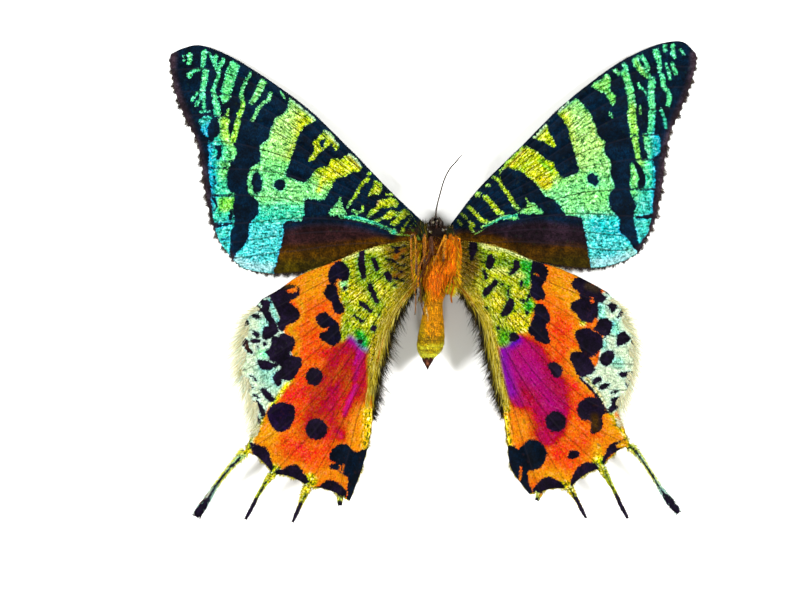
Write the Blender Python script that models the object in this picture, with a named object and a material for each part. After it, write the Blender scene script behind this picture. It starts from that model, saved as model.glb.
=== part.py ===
"""Madagascan sunset moth, a spread and dried specimen lying belly up, life size.

Metres, +Z up, +Y towards the head, +X towards the right of the view.
The floor is z = 0 and the origin lies under the middle of the thorax.
Outlines are drawn on a plan sheet whose unit is SHEET_UNIT and whose thorax
middle is SHEET_MIDDLE; sheet y runs down, from head to tail.
"""
import math

import bmesh
import bpy
from mathutils import Matrix, Vector

# Driving sizes
SHEET_UNIT = 0.00016
SHEET_MIDDLE = (437.0, 262.0)
MM = 0.001
GAP = 0.30 * MM
SEAM_MERGE = 0.001 * MM

WING_THICKNESS = 0.60 * MM
VEIN_HEIGHT = 0.20 * MM
UNDER_CREST = 0.6
VEIN_FOOT_ROOT = 0.08 * MM
VEIN_FOOT_EDGE = 0.42 * MM
VEIN_FADE_IN = 0.12
VEIN_SEARCH = 0.3
VEIN_FOOT_LIMIT = 0.9
TAIL_CREST = 0.6
EDGE_BOW_POWER = 6
FOREWING_ROOT_Z = 3.10 * MM
FOREWING_TOUCH_X = 39.0 * MM
FOREWING_ROOT_X = 3.0 * MM
FOREWING_RISE_POWER = 1.15
HINDWING_ROOT_Z = 4.45 * MM
HINDWING_FALL = 1.50 * MM
HINDWING_SPAN = 31.0 * MM
HINDWING_FALL_POWER = 1.1
TAIL_FALL = 0.90 * MM
TAIL_FALL_START_Y = -26.0 * MM
TAIL_FALL_LENGTH = 15.0 * MM
FOREWING_ROWS = 15
HINDWING_ROWS = 15
ROW_SPREAD = 0.9

THORAX_SQUARENESS = 2.3
THORAX_SIDES = 28
ROUND = 2.0
ABDOMEN_SIDES = 24
SEGMENTS = 7
SEGMENT_RINGS = 3
SEGMENT_GROOVE_MM = 0.12
LEG_RADIUS = 0.28 * MM
FEELER_RADIUS = 0.25 * MM
EYE_RADIUS = 0.82 * MM
EYE_GAP = 0.25 * MM
EYE_ROUNDNESS = (0.95, 0.95, 1.15)
EYE_SINK = 0.25
EYE_BACK = 0.25 * MM
EYE_DETAIL = (20, 14)
HEAD_DETAIL = (24, 16)
HEAD_MIDDLE = (0.00 * MM, 5.45 * MM, 3.85 * MM)
HEAD_HALF = (1.85 * MM, 1.55 * MM, 1.75 * MM)
HEAD_FLAT_X = 1.30 * MM
TUBE_DETAIL = 1
TUBE_STEPS = 3
LOCK_SIDES = 6
LOCK_THICKNESS = 0.50 * MM
LOCK_WIDTH = 1.30 * MM
LOCK_TAPER = 0.25
LOCK_SINK = 0.70 * MM
FOLD_LOCKS = 8
FOLD_LOCKS_FROM = 0.22
FOLD_LOCKS_TO = 0.60
FOLD_LOCK_SWELL = (0.55, 0.45)
FOLD_AIM_STEP = 0.02
FOLD_LOCK_LENGTH = 3.20 * MM
FOLD_LOCK_SPREAD = math.radians(30.0)
EDGE_LOCKS = 9
EDGE_LOCK_LENGTH = 1.90 * MM
EDGE_LOCKS_FROM = 0.7
EDGE_LOCKS_TO = 5.0
EDGE_AIM_FROM = 0.9
EDGE_LOCK_SPREAD = math.radians(52.0)

# Stations of the thorax: y, middle x, half width, lowest z, highest z (mm)
THORAX_STATIONS = [
    (3.75, 0.0, 1.50, 2.00, 5.60),
    (3.45, 0.0, 2.35, 1.10, 6.25),
    (2.90, 0.0, 2.95, 0.35, 6.75),
    (2.00, 0.0, 3.30, -0.10, 7.10),
    (0.80, 0.0, 3.50, -0.25, 7.30),
    (-0.60, -0.1, 3.50, -0.30, 7.30),
    (-2.00, -0.2, 3.30, -0.25, 7.15),
    (-3.40, -0.3, 2.90, -0.10, 6.80),
    (-4.60, -0.4, 2.45, 0.20, 6.35),
    (-5.60, -0.5, 2.00, 0.75, 5.90),
    (-6.25, -0.5, 1.60, 1.35, 5.40),
]

# Stations of the abdomen: y, middle x, half width, lowest z, highest z (mm)
ABDOMEN_STATIONS = [
    (-6.60, -0.60, 1.65, 1.70, 5.20),
    (-8.20, -0.68, 1.80, 1.40, 5.30),
    (-9.90, -0.76, 2.05, 1.10, 5.40),
    (-11.60, -0.88, 2.26, 0.90, 5.35),
    (-12.90, -1.00, 2.32, 0.90, 5.20),
    (-14.00, -1.14, 2.08, 1.10, 4.90),
    (-14.90, -1.30, 1.60, 1.55, 4.45),
    (-15.25, -1.40, 1.20, 1.95, 4.10),
]
ABDOMEN_TIP_STATIONS = [
    (-15.55, -1.45, 1.10, 2.00, 4.05),
    (-16.10, -1.48, 0.80, 2.30, 3.85),
    (-16.70, -1.50, 0.45, 2.65, 3.60),
    (-17.15, -1.52, 0.22, 2.90, 3.45),
]

# Left forewing: curves from the root to the edge, costa first (sheet units)
LEFT_FOREWING_VEINS = [
    [(418, 222), (390, 190.5), (350, 149), (310, 110), (270, 80), (230, 55), (200, 43.5),
     (182, 46), (169, 52)],
    [(418.6, 224), (385, 192), (345, 155), (300, 115), (255, 84), (210, 68), (169.5, 68)],
    [(419.2, 226), (380, 194), (338, 162), (295, 128), (250, 101), (210, 91), (173.5, 90)],
    [(419.6, 228), (378, 198), (335, 171), (298, 145), (255, 122), (215, 114), (182.5, 114)],
    [(419.6, 230), (378, 203), (335, 182), (295, 160), (255, 147), (225, 141), (197, 141)],
    [(419.2, 232), (378, 210), (335, 193), (290, 175), (250, 169), (222, 168), (201, 168)],
    [(418.6, 235), (378, 218), (335, 207), (290, 199), (250, 195), (225, 194), (204.5, 194)],
    [(417, 238), (378, 226), (335, 219), (290, 218), (250, 222), (228, 223), (210.5, 222)],
    [(415, 241), (378, 233), (335, 231), (290, 234), (260, 238), (240, 241), (219.5, 243)],
    [(413, 245), (375, 243), (335, 245), (300, 250), (270, 253), (250, 256), (231, 258)],
    [(411, 250), (372, 256), (335, 264), (300, 271.5), (275, 273.5), (256, 271.5),
     (242, 268)],
]
RIGHT_FOREWING_VEINS = [
    [(452.4, 224), (480, 187), (520, 147.5), (560, 107.5), (600, 75), (630, 55.5), (660, 42.5),
     (684, 39.5), (698, 51)],
    [(452.2, 226), (484, 190), (524, 151), (566, 112), (610, 82), (655, 66), (697.5, 65)],
    [(452, 228), (488, 193), (530, 157), (574, 123), (618, 98), (657, 87), (692, 85)],
    [(452, 230), (490, 197), (534, 167), (575, 140), (618, 117), (650, 108), (683, 107)],
    [(452, 232), (492, 203), (536, 178), (578, 154), (618, 140), (648, 134), (671, 133)],
    [(452.2, 234), (492, 210), (536, 190), (578, 169), (616, 161), (640, 158), (666.5, 159)],
    [(452.6, 236.5), (492, 218), (536, 205), (580, 193), (618, 189), (642, 188), (663.5, 188)],
    [(453.2, 239), (492, 226), (536, 217), (580, 213), (618, 215), (640, 216), (658, 216)],
    [(453.5, 242), (492, 233), (536, 229), (580, 231), (612, 234), (632, 236), (649, 236)],
    [(456, 246), (495, 242), (536, 242), (574, 246), (602, 249), (622, 250), (643, 246.5)],
    [(458, 251), (495, 254), (536, 261), (572, 267), (600, 267.5), (622, 262), (638, 254)],
]

# Left hindwing: costa first, then to the edge, the inner margin last
LEFT_HINDWING_VEINS = [
    [(411, 240), (390, 243.5), (360, 251.5), (330, 263.5), (300, 275.5), (278, 290),
     (262, 299)],
    [(410.5, 245), (388, 254), (355, 266), (322, 283), (290, 300), (265, 313), (246, 320)],
    [(410, 251), (388, 264), (355, 283), (320, 304), (288, 322), (263, 335), (242, 345)],
    [(409.5, 257), (388, 273), (355, 298), (322, 323), (288, 346), (264, 361), (241.5, 371)],
    [(409, 262), (388, 282), (358, 311), (325, 343), (293, 370), (268, 388), (251, 397)],
    [(408.5, 266), (388, 291), (362, 324), (330, 362), (298, 393), (274, 411), (257.5, 421)],
    [(408, 270), (390, 298), (365, 337), (334, 378), (302, 411), (272, 435), (246, 451)],
    [(407.5, 273), (391, 304), (369, 349), (342, 395), (314, 431), (292, 454), (272.5, 474)],
    [(407, 276), (392, 309), (373, 358), (350, 405), (333, 442), (319, 467), (308, 487)],
    [(407, 279), (393, 313), (377, 362), (359, 412), (350, 448), (343, 474), (340, 495)],
    [(407, 283), (394, 318), (381, 358), (373, 395), (372.5, 420), (368, 446), (361, 471),
     (350, 501)],
]
LEFT_HINDWING_TAILS = {
    6: [(239, 457, 4.0), (228, 470, 2.6), (219, 483, 2.2), (209, 499, 2.8), (202, 510, 3.2),
        (195, 517, 2.0)],
    7: [(267, 482, 3.6), (261, 490, 2.4), (256, 499, 2.2), (251, 509, 2.4), (245, 520, 1.8)],
    8: [(305, 493, 3.6), (302, 501, 2.4), (298.5, 511, 2.4), (292.5, 523, 1.6)],
    9: [(340, 500, 2.6), (339.8, 506, 1.8)],
}
RIGHT_HINDWING_VEINS = [
    [(463, 241), (482, 243), (505, 249), (533, 260.5), (560, 269), (586, 280.5), (607, 292)],
    [(463.5, 246), (485, 254), (515, 265), (546, 281), (576, 293), (602, 303), (622, 309)],
    [(464, 252), (486, 264), (517, 283), (550, 303), (582, 322), (609, 335), (633, 337)],
    [(464.5, 258), (487, 274), (518, 299), (550, 323), (582, 347), (608, 362), (634, 364)],
    [(465, 263), (487, 283), (517, 313), (548, 343), (578, 370), (606, 388), (627, 390)],
    [(465.5, 267), (487, 291), (514, 326), (544, 360), (574, 390), (598, 406), (617, 410)],
    [(466, 271), (486, 299), (509, 338), (538, 377), (569, 407), (600, 430), (629, 445)],
    [(466, 274), (485, 305), (505, 349), (531, 393), (558, 427), (581, 449), (602, 468)],
    [(466, 277), (484, 310), (501, 358), (522, 403), (540, 440), (555, 466), (570, 489)],
    [(466, 280), (482, 314), (497, 362), (514, 410), (524, 445), (533, 472), (540, 492)],
    [(466, 284), (480, 318), (492, 362), (501, 398), (504, 420), (507, 441), (511, 468),
     (529, 494)],
]
RIGHT_HINDWING_TAILS = {
    6: [(637, 453, 3.8), (646, 465, 2.6), (655, 479, 2.6), (664, 493, 3.4), (673, 505, 3.8),
        (680, 514, 2.4)],
    7: [(606, 475, 3.6), (612, 486, 2.4), (617, 496, 2.2), (622, 507, 2.4), (628.5, 519, 1.8)],
    8: [(574, 495, 3.4), (578, 502, 2.4), (582, 510, 2.4), (586.5, 518.5, 1.6)],
    9: [(538.5, 497, 2.6), (537, 501, 1.8)],
}
# Depth of the edge's bow between two veins' ends, outwards (sheet units)
FOREWING_BOWS = [1.5, 0.5, 0.5, 0.0, 0.5, 0.5, 0.0, 0.5, 0.5, 1.0]
HINDWING_BOWS = [1.0, 1.5, 1.0, 1.5, 1.0, 1.0, -3.0, -3.5, -2.0, 0.0]

# Legs on each side: points (x, y, z in mm) from the hip over the knee to the claw
LEFT_LEGS = {
    "foreleg_left": [(-0.75, 1.60, 7.75), (-0.85, 2.80, 7.60), (-0.95, 3.75, 7.30),
                     (-1.10, 3.60, 7.95), (-1.15, 2.50, 8.30), (-1.28, 1.00, 8.35),
                     (-1.65, 0.00, 8.05), (-2.10, -0.96, 7.55), (-2.52, -2.00, 6.95),
                     (-2.78, -2.95, 6.45), (-2.75, -4.20, 5.85), (-2.60, -6.10, 5.45),
                     (-2.15, -8.45, 5.45)],
    "midleg_left": [(-2.05, 0.20, 7.50), (-2.15, 2.20, 7.20), (-2.15, 3.85, 6.60),
                    (-2.00, 4.20, 7.20), (-1.88, 2.60, 7.95), (-2.15, 0.90, 8.25),
                    (-2.68, -0.50, 7.95), (-3.08, -2.00, 7.50), (-3.25, -2.90, 7.15),
                    (-3.30, -4.40, 6.50)],
    "hindleg_left": [(-3.35, -1.60, 6.30), (-3.32, -0.30, 6.40), (-3.35, 1.90, 6.35),
                     (-3.45, 3.75, 6.10), (-3.75, 4.30, 5.75), (-4.10, 3.90, 5.40),
                     (-4.12, 0.90, 5.55), (-4.00, -1.44, 5.60), (-3.72, -3.04, 5.50),
                     (-3.42, -5.90, 4.90), (-3.52, -8.45, 4.65)],
}
RIGHT_LEGS = {
    "foreleg_right": [(0.95, 0.60, 7.75), (1.05, 2.20, 7.60), (1.30, 3.70, 7.05),
                      (1.20, 4.10, 7.60), (0.98, 3.60, 8.10), (0.50, 2.56, 8.35),
                      (0.05, 1.45, 8.45), (-0.40, 0.40, 8.40), (-0.65, -0.50, 8.05)],
    "midleg_right": [(1.70, -1.60, 7.65), (1.85, 0.30, 7.72), (2.00, 2.40, 7.40),
                     (2.12, 3.60, 6.90), (2.52, 3.40, 6.68), (2.58, 1.20, 7.25),
                     (2.45, -1.10, 7.28), (2.05, -3.30, 7.05), (1.60, -5.10, 6.60)],
    "hindleg_right": [(3.10, -1.80, 6.45), (3.25, 0.20, 6.55), (3.28, 2.00, 6.30),
                      (3.30, 3.40, 5.95), (3.75, 3.40, 5.65), (3.92, 1.20, 5.75),
                      (3.78, -1.20, 5.80), (3.15, -3.40, 5.95), (2.60, -5.30, 5.75),
                      (2.65, -6.40, 5.55)],
}
LEG_WIDTHS = [1.0, 1.15, 1.0, 0.95, 1.0, 1.05, 0.95, 0.92, 0.9, 0.85, 0.8]

# Feelers and mouth, in mm
ANTENNA_RIGHT = [(-0.20, 7.20, 4.90), (-0.20, 7.90, 5.20), (0.02, 9.20, 5.55),
                 (0.50, 11.00, 5.60), (1.10, 13.00, 5.40), (1.95, 14.70, 5.10),
                 (3.05, 16.00, 4.80), (4.30, 17.50, 4.50)]
ANTENNA_LEFT = [(-1.15, 7.00, 2.80), (-1.75, 6.60, 2.00), (-2.60, 6.05, 1.45),
                (-4.00, 5.60, 1.30), (-8.50, 5.60, 1.05), (-12.50, 5.90, 0.85),
                (-16.00, 7.20, 0.70)]
PALP_LEFT = [(-0.75, 5.90, 5.85), (-0.90, 6.60, 5.65), (-0.95, 7.15, 5.00)]
PALP_RIGHT = [(0.55, 5.90, 5.85), (0.60, 6.65, 5.65), (0.55, 7.15, 5.00)]
PROBOSCIS_MIDDLE = (-0.12, 5.95, 6.55)
PROBOSCIS_RADII = (0.62, 0.17)
PROBOSCIS_THICKNESS = 0.20 * MM
PROBOSCIS_TURNS = 2.1
PROBOSCIS_STEPS = 14
PROBOSCIS_WIDTHS = [1.0, 0.65]
PALP_WIDTHS = [1.2, 1.3, 0.8]
FEELER_WIDTHS = [1.0, 1.0, 0.9, 0.7]

COLOURS = {
    "scales_fore": (0.10, 0.30, 0.14),
    "scales_hind": (0.60, 0.20, 0.05),
    "orange_coat": (0.70, 0.27, 0.03),
    "gold_coat": (0.55, 0.38, 0.05),
    "brown_coat": (0.07, 0.03, 0.012),
    "horn": (0.05, 0.025, 0.01),
    "eye": (0.02, 0.012, 0.01),
}
ROUGHNESS = 0.6


def clear_scene():
    """Remove every object of the open file."""
    for item in list(bpy.data.objects):
        bpy.data.objects.remove(item, do_unlink=True)


def make_material(name, colour):
    """Return a plain matt material of one colour."""
    material = bpy.data.materials.new(name)
    material.use_nodes = True
    shader = material.node_tree.nodes["Principled BSDF"]
    shader.inputs["Base Color"].default_value = (*colour, 1.0)
    shader.inputs["Roughness"].default_value = ROUGHNESS
    return material


def sheet_point(x, y):
    """Return the plan position in metres of a point of the drawing sheet."""
    return Vector(((x - SHEET_MIDDLE[0]) * SHEET_UNIT, (SHEET_MIDDLE[1] - y) * SHEET_UNIT))


def smooth_step(value):
    """Return a soft step from 0 to 1."""
    value = min(1.0, max(0.0, value))
    return value * value * (3.0 - 2.0 * value)


def spline(points, share):
    """Return the point at a share of the length of a smooth curve through points."""
    points = [Vector(point) for point in points]
    lengths = [(b - a).length for a, b in zip(points, points[1:])]
    goal = share * sum(lengths)
    index = 0
    while index < len(lengths) - 1 and goal > lengths[index]:
        goal -= lengths[index]
        index += 1
    t = min(1.0, goal / lengths[index])
    first = points[index - 1] if index > 0 else points[0] * 2.0 - points[1]
    last = points[index + 2] if index + 2 < len(points) else points[-1] * 2.0 - points[-2]
    a, b = points[index], points[index + 1]
    return 0.5 * ((2.0 * a) + (b - first) * t
                  + (2.0 * first - 5.0 * a + 4.0 * b - last) * t * t
                  + (3.0 * a - first - 3.0 * b + last) * t * t * t)


def forewing_height(spot):
    """Return the height of the forewing's middle sheet above the floor."""
    share = (FOREWING_TOUCH_X - abs(spot.x)) / (FOREWING_TOUCH_X - FOREWING_ROOT_X)
    share = max(0.0, share)
    low = WING_THICKNESS / 2.0
    return low + (FOREWING_ROOT_Z - low) * share ** FOREWING_RISE_POWER


def hindwing_height(spot):
    """Return the height of the hindwing's middle sheet above the floor."""
    side_fall = HINDWING_FALL * (abs(spot.x) / HINDWING_SPAN) ** HINDWING_FALL_POWER
    tail_fall = TAIL_FALL * smooth_step((TAIL_FALL_START_Y - spot.y) / TAIL_FALL_LENGTH)
    return HINDWING_ROOT_Z - side_fall - tail_fall


def link_mesh(name, mesh, material):
    """Link a mesh as a named object with its material."""
    mesh.materials.append(material)
    item = bpy.data.objects.new(name, mesh)
    bpy.context.scene.collection.objects.link(item)
    return item


def mesh_from(grid, name):
    """Return a mesh of a bmesh with outward normals and free the bmesh."""
    bmesh.ops.recalc_face_normals(grid, faces=grid.faces)
    mesh = bpy.data.meshes.new(name)
    grid.to_mesh(mesh)
    grid.free()
    return mesh


def thicken(grid, crest, height):
    """Turn a flat sheet into a closed plate about a height surface.

    The sheet is split into triangles first, so that both faces are split alike.
    """
    bmesh.ops.triangulate(grid, faces=grid.faces[:], quad_method="SHORT_EDGE")
    under = grid.verts[:]
    made = bmesh.ops.extrude_face_region(grid, geom=grid.faces[:], use_keep_orig=True)
    upper = [item for item in made["geom"] if isinstance(item, bmesh.types.BMVert)]
    for vertex in upper:
        vertex.co.z = height(vertex.co) + WING_THICKNESS / 2.0 + vertex[crest]
    for vertex in under:
        low = height(vertex.co) - WING_THICKNESS / 2.0 - UNDER_CREST * vertex[crest]
        vertex.co.z = max(0.0, low)


def wing_columns(vein_count):
    """Return the columns of the fan: pairs of vein position and foot side."""
    columns = [(0.0, 0.0)]
    for index in range(vein_count - 1):
        if index > 0:
            columns += [(float(index), -1.0), (float(index), 0.0), (float(index), 1.0)]
        columns.append((index + 0.5, 0.0))
    columns.append((float(vein_count - 1), 0.0))
    return columns


def curve_station(stations, goal):
    """Return the station at a y between the first and the last."""
    for near, far in zip(stations, stations[1:]):
        if far[0] <= goal <= near[0]:
            t = (goal - near[0]) / (far[0] - near[0])
            return [a + (b - a) * t for a, b in zip(near, far)]
    return list(stations[-1])


def body_reach(y):
    """Return how far the head or thorax reaches sideways at a place along it."""
    if y >= THORAX_STATIONS[0][0] * MM:
        return HEAD_FLAT_X + EYE_GAP + (EYE_ROUNDNESS[0] - EYE_SINK) * EYE_RADIUS
    station = curve_station(THORAX_STATIONS, y / MM)
    return station[2] * MM


def rooted(veins):
    """Return the curves with each root moved to a gap beside the body."""
    moved = []
    for vein in veins:
        root = sheet_point(*vein[0])
        middle = curve_station(THORAX_STATIONS, min(root.y / MM, THORAX_STATIONS[0][0]))[1] * MM
        reach = math.copysign(body_reach(root.y) + GAP, root.x) + middle
        moved.append([(SHEET_MIDDLE[0] + reach / SHEET_UNIT, vein[0][1])] + vein[1:])
    return moved


def fan_spot(veins, bows, column, share):
    """Return the plan point of a fan at a column position and share of its length."""
    lower = min(int(column), len(veins) - 2)
    t = column - lower
    a = sheet_point(*spline(veins[lower], share))
    b = sheet_point(*spline(veins[lower + 1], share))
    spot = a.lerp(b, t)
    root = (sheet_point(*veins[lower][0]) + sheet_point(*veins[lower + 1][0])) / 2.0
    end = (sheet_point(*veins[lower][-1]) + sheet_point(*veins[lower + 1][-1])) / 2.0
    outward = (end - root).normalized()
    bow = 4.0 * t * (1.0 - t) * bows[lower] * SHEET_UNIT * share ** EDGE_BOW_POWER
    return spot + outward * bow


def sheet_of_veins(veins, bows, rows):
    """Return a flat bmesh fan of the veins, its crest layer and its last row."""
    columns = wing_columns(len(veins))
    grid = bmesh.new()
    bmesh.ops.create_grid(grid, x_segments=len(columns) - 1, y_segments=rows, size=0.5)
    crest = grid.verts.layers.float.new("crest")
    grid.verts.ensure_lookup_table()
    for index, vertex in enumerate(grid.verts):
        position, side = columns[index % len(columns)]
        share = (index // len(columns) / rows) ** ROW_SPREAD
        spot = fan_spot(veins, bows, position, share)
        if side != 0.0:
            foot = VEIN_FOOT_ROOT + (VEIN_FOOT_EDGE - VEIN_FOOT_ROOT) * share
            beside = fan_spot(veins, bows, position + VEIN_SEARCH * side, share) - spot
            spot = spot + beside.normalized() * min(foot, VEIN_FOOT_LIMIT * beside.length)
        elif 0.0 < position < len(veins) - 1 and position == int(position):
            vertex[crest] = VEIN_HEIGHT * smooth_step(share / VEIN_FADE_IN)
        vertex.co = (spot.x, spot.y, 0.0)
    last_row = grid.verts[rows * len(columns):]
    return grid, crest, dict(zip(columns, last_row))


def draw_tail(grid, crest, root, points):
    """Extend three edge vertices of a sheet into a narrow tail."""
    before = root[1].co.to_2d()
    for x, y, half in points:
        edges = [edge for edge in root[1].link_edges
                 if edge.other_vert(root[1]) in (root[0], root[2])]
        made = bmesh.ops.extrude_edge_only(grid, edges=edges)
        fresh = [item for item in made["geom"] if isinstance(item, bmesh.types.BMVert)]
        centre = sheet_point(x, y)
        along = (centre - before).normalized()
        side = Vector((-along.y, along.x))
        if side.dot((root[2].co - root[0].co).to_2d()) < 0.0:
            side = -side
        matched = [min(fresh, key=lambda item, old=old: (item.co - old.co).length)
                   for old in root]
        for vertex, share in zip(matched, (-1.0, 0.0, 1.0)):
            place = centre + side * half * SHEET_UNIT * share
            vertex.co = (place.x, place.y, 0.0)
            vertex[crest] = VEIN_HEIGHT * TAIL_CREST * (1.0 - abs(share))
        root = matched
        before = centre


def wing_lock(name, root, aim, length, height):
    """Return a flat tapered lock that starts inside the wing's edge."""
    grid = bmesh.new()
    bmesh.ops.create_cone(grid, cap_ends=True, segments=LOCK_SIDES, radius1=1.0,
                          radius2=LOCK_TAPER, depth=1.0)
    across = Vector((-aim.y, aim.x))
    for vertex in grid.verts:
        reach = (vertex.co.z + 0.5) * (length + LOCK_SINK) - LOCK_SINK
        spot = root + aim * reach + across * vertex.co.x * LOCK_WIDTH / 2.0
        level = height(spot) + vertex.co.y * LOCK_THICKNESS / 2.0
        vertex.co = (spot.x, spot.y, level)
    return bpy.data.objects.new(name, mesh_from(grid, name))


def fringe(veins, bows, height):
    """Return the locks of the inner fold and of the outer edge of a hindwing."""
    locks = []
    last = float(len(veins) - 1)
    for index in range(FOLD_LOCKS):
        step = index / (FOLD_LOCKS - 1)
        share = FOLD_LOCKS_FROM + (FOLD_LOCKS_TO - FOLD_LOCKS_FROM) * step
        root = fan_spot(veins, bows, last, share)
        aim = (fan_spot(veins, bows, last, share + FOLD_AIM_STEP) - root).normalized()
        aim.rotate(Matrix.Rotation(math.copysign(FOLD_LOCK_SPREAD, -root.x), 2))
        swell = FOLD_LOCK_SWELL[0] + FOLD_LOCK_SWELL[1] * math.sin(math.pi * step)
        locks.append(wing_lock("lock", root, aim, FOLD_LOCK_LENGTH * swell, height))
    for index in range(EDGE_LOCKS):
        step = index / (EDGE_LOCKS - 1)
        column = EDGE_LOCKS_FROM + (EDGE_LOCKS_TO - EDGE_LOCKS_FROM) * step
        root = fan_spot(veins, bows, column, 1.0)
        out = (root - fan_spot(veins, bows, column, EDGE_AIM_FROM)).normalized()
        out.rotate(Matrix.Rotation(math.copysign(EDGE_LOCK_SPREAD / 2.0, -root.x), 2))
        locks.append(wing_lock("lock", root, out, EDGE_LOCK_LENGTH, height))
    return locks


def largest_surface(mesh):
    """Keep only the largest closed surface of a mesh."""
    grid = bmesh.new()
    grid.from_mesh(mesh)
    groups = []
    seen = set()
    for start in grid.verts:
        if start in seen:
            continue
        group = {start}
        front = [start]
        while front:
            vertex = front.pop()
            for edge in vertex.link_edges:
                other = edge.other_vert(vertex)
                if other not in group:
                    group.add(other)
                    front.append(other)
        seen |= group
        groups.append(group)
    groups.sort(key=len)
    scraps = [vertex for group in groups[:-1] for vertex in group]
    bmesh.ops.delete(grid, geom=scraps, context="VERTS")
    bmesh.ops.triangulate(grid, faces=grid.faces[:])
    grid.to_mesh(mesh)
    grid.free()


def fuse(item, pieces):
    """Fuse closed pieces into an object by one union."""
    extras = bpy.data.collections.new("extras")
    bpy.context.scene.collection.children.link(extras)
    for piece in pieces:
        extras.objects.link(piece)
    union = item.modifiers.new("union", "BOOLEAN")
    union.operation = "UNION"
    union.operand_type = "COLLECTION"
    union.collection = extras
    union.solver = "EXACT"
    bpy.context.view_layer.update()
    shaped = item.evaluated_get(bpy.context.evaluated_depsgraph_get())
    mesh = bpy.data.meshes.new_from_object(shaped)
    item.modifiers.clear()
    item.data = mesh
    for piece in pieces:
        bpy.data.objects.remove(piece, do_unlink=True)
    bpy.data.collections.remove(extras)
    largest_surface(mesh)


def build_forewing(name, veins, material):
    """Build a forewing as a veined plate."""
    grid, crest, _ = sheet_of_veins(rooted(veins), FOREWING_BOWS, FOREWING_ROWS)
    thicken(grid, crest, forewing_height)
    link_mesh(name, mesh_from(grid, name), material)


def build_hindwing(name, veins, tails, material):
    """Build a hindwing as a veined plate with its tails and fringes."""
    veins = rooted(veins)
    grid, crest, last_row = sheet_of_veins(veins, HINDWING_BOWS, HINDWING_ROWS)
    for vein, points in tails.items():
        root = [last_row[(float(vein), side)] for side in (-1.0, 0.0, 1.0)]
        draw_tail(grid, crest, root, points)
    thicken(grid, crest, hindwing_height)
    wing = link_mesh(name, mesh_from(grid, name), material)
    fuse(wing, fringe(veins, HINDWING_BOWS, hindwing_height))


def station_ring(station, sides, squareness):
    """Return one ring of a body, flattened where it would pass the floor."""
    y, middle, half, low, high = (value * MM for value in station)
    rise = (high - low) / 2.0
    ring = []
    for step in range(sides):
        angle = 2.0 * math.pi * (step + 0.5) / sides
        cosine, sine = math.cos(angle), math.sin(angle)
        x = middle + half * math.copysign(abs(cosine) ** (2.0 / squareness), cosine)
        z = (low + high) / 2.0 + rise * math.copysign(abs(sine) ** (2.0 / squareness), sine)
        ring.append(Vector((x, y, max(0.0, z))))
    return ring


def loft(name, rings):
    """Return a closed mesh through rings of equal point counts."""
    sides = len(rings[0])
    grid = bmesh.new()
    bmesh.ops.create_grid(grid, x_segments=sides, y_segments=len(rings) - 1, size=0.5)
    grid.verts.ensure_lookup_table()
    for index, vertex in enumerate(grid.verts):
        vertex.co = rings[index // (sides + 1)][index % (sides + 1) % sides]
    bmesh.ops.remove_doubles(grid, verts=grid.verts, dist=SEAM_MERGE)
    bmesh.ops.holes_fill(grid, edges=grid.edges, sides=sides)
    bmesh.ops.triangulate(grid, faces=grid.faces[:])
    return mesh_from(grid, name)


def rod(name, points, widths, radius, material):
    """Build a round rod along a smooth curve, points in mm."""
    curve = bpy.data.curves.new(name, "CURVE")
    curve.dimensions = "3D"
    curve.bevel_depth = radius
    curve.bevel_resolution = TUBE_DETAIL
    curve.resolution_u = TUBE_STEPS
    curve.use_fill_caps = True
    strand = curve.splines.new("BEZIER")
    strand.bezier_points.add(len(points) - 1)
    for index, (knot, place) in enumerate(zip(strand.bezier_points, points)):
        knot.co = Vector(place) * MM
        knot.handle_left_type = "AUTO"
        knot.handle_right_type = "AUTO"
        step = index / (len(points) - 1) * (len(widths) - 1)
        lower = min(int(step), len(widths) - 2)
        knot.radius = widths[lower] + (widths[lower + 1] - widths[lower]) * (step - lower)
    curve.materials.append(material)
    item = bpy.data.objects.new(name, curve)
    bpy.context.scene.collection.objects.link(item)


def build_thorax(material):
    """Build the thorax, flat along its back where it lies on the floor."""
    rings = [station_ring(station, THORAX_SIDES, THORAX_SQUARENESS)
             for station in THORAX_STATIONS]
    link_mesh("thorax", loft("thorax", rings), material)


def build_abdomen(material, tip_material):
    """Build the abdomen, grooved between its segments, and its brown tip."""
    stations = []
    steps = SEGMENTS * SEGMENT_RINGS
    first, last = ABDOMEN_STATIONS[0][0], ABDOMEN_STATIONS[-1][0]
    for index in range(steps + 1):
        station = curve_station(ABDOMEN_STATIONS, first + (last - first) * index / steps)
        if index % SEGMENT_RINGS == 0 and 0 < index < steps:
            y, middle, half, low, high = station
            groove = SEGMENT_GROOVE_MM
            station = [y, middle, half - groove, low + groove, high - groove]
        stations.append(station)
    rings = [station_ring(station, ABDOMEN_SIDES, ROUND) for station in stations]
    link_mesh("abdomen", loft("abdomen", rings), material)
    rings = [station_ring(station, ABDOMEN_SIDES // 2, ROUND)
             for station in ABDOMEN_TIP_STATIONS]
    link_mesh("abdomen_tip", loft("abdomen_tip", rings), tip_material)


def cut_flat(grid, x, side, keep_inner):
    """Cut a closed bmesh flat at an x, keep one part of it and close the cut."""
    cut = bmesh.ops.bisect_plane(grid, geom=grid.verts[:] + grid.edges[:] + grid.faces[:],
                                 plane_co=(x, 0.0, 0.0), plane_no=(side, 0.0, 0.0),
                                 clear_outer=keep_inner, clear_inner=not keep_inner)
    rim = [item for item in cut["geom_cut"] if isinstance(item, bmesh.types.BMEdge)]
    bmesh.ops.contextual_create(grid, geom=rim)


def ball(detail, middle, half):
    """Return a bmesh ball of a detail, about a middle, with half sizes on x, y and z."""
    grid = bmesh.new()
    bmesh.ops.create_uvsphere(grid, u_segments=detail[0], v_segments=detail[1], radius=1.0)
    for vertex in grid.verts:
        vertex.co = [vertex.co[axis] * half[axis] + middle[axis] for axis in range(3)]
    return grid


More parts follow.
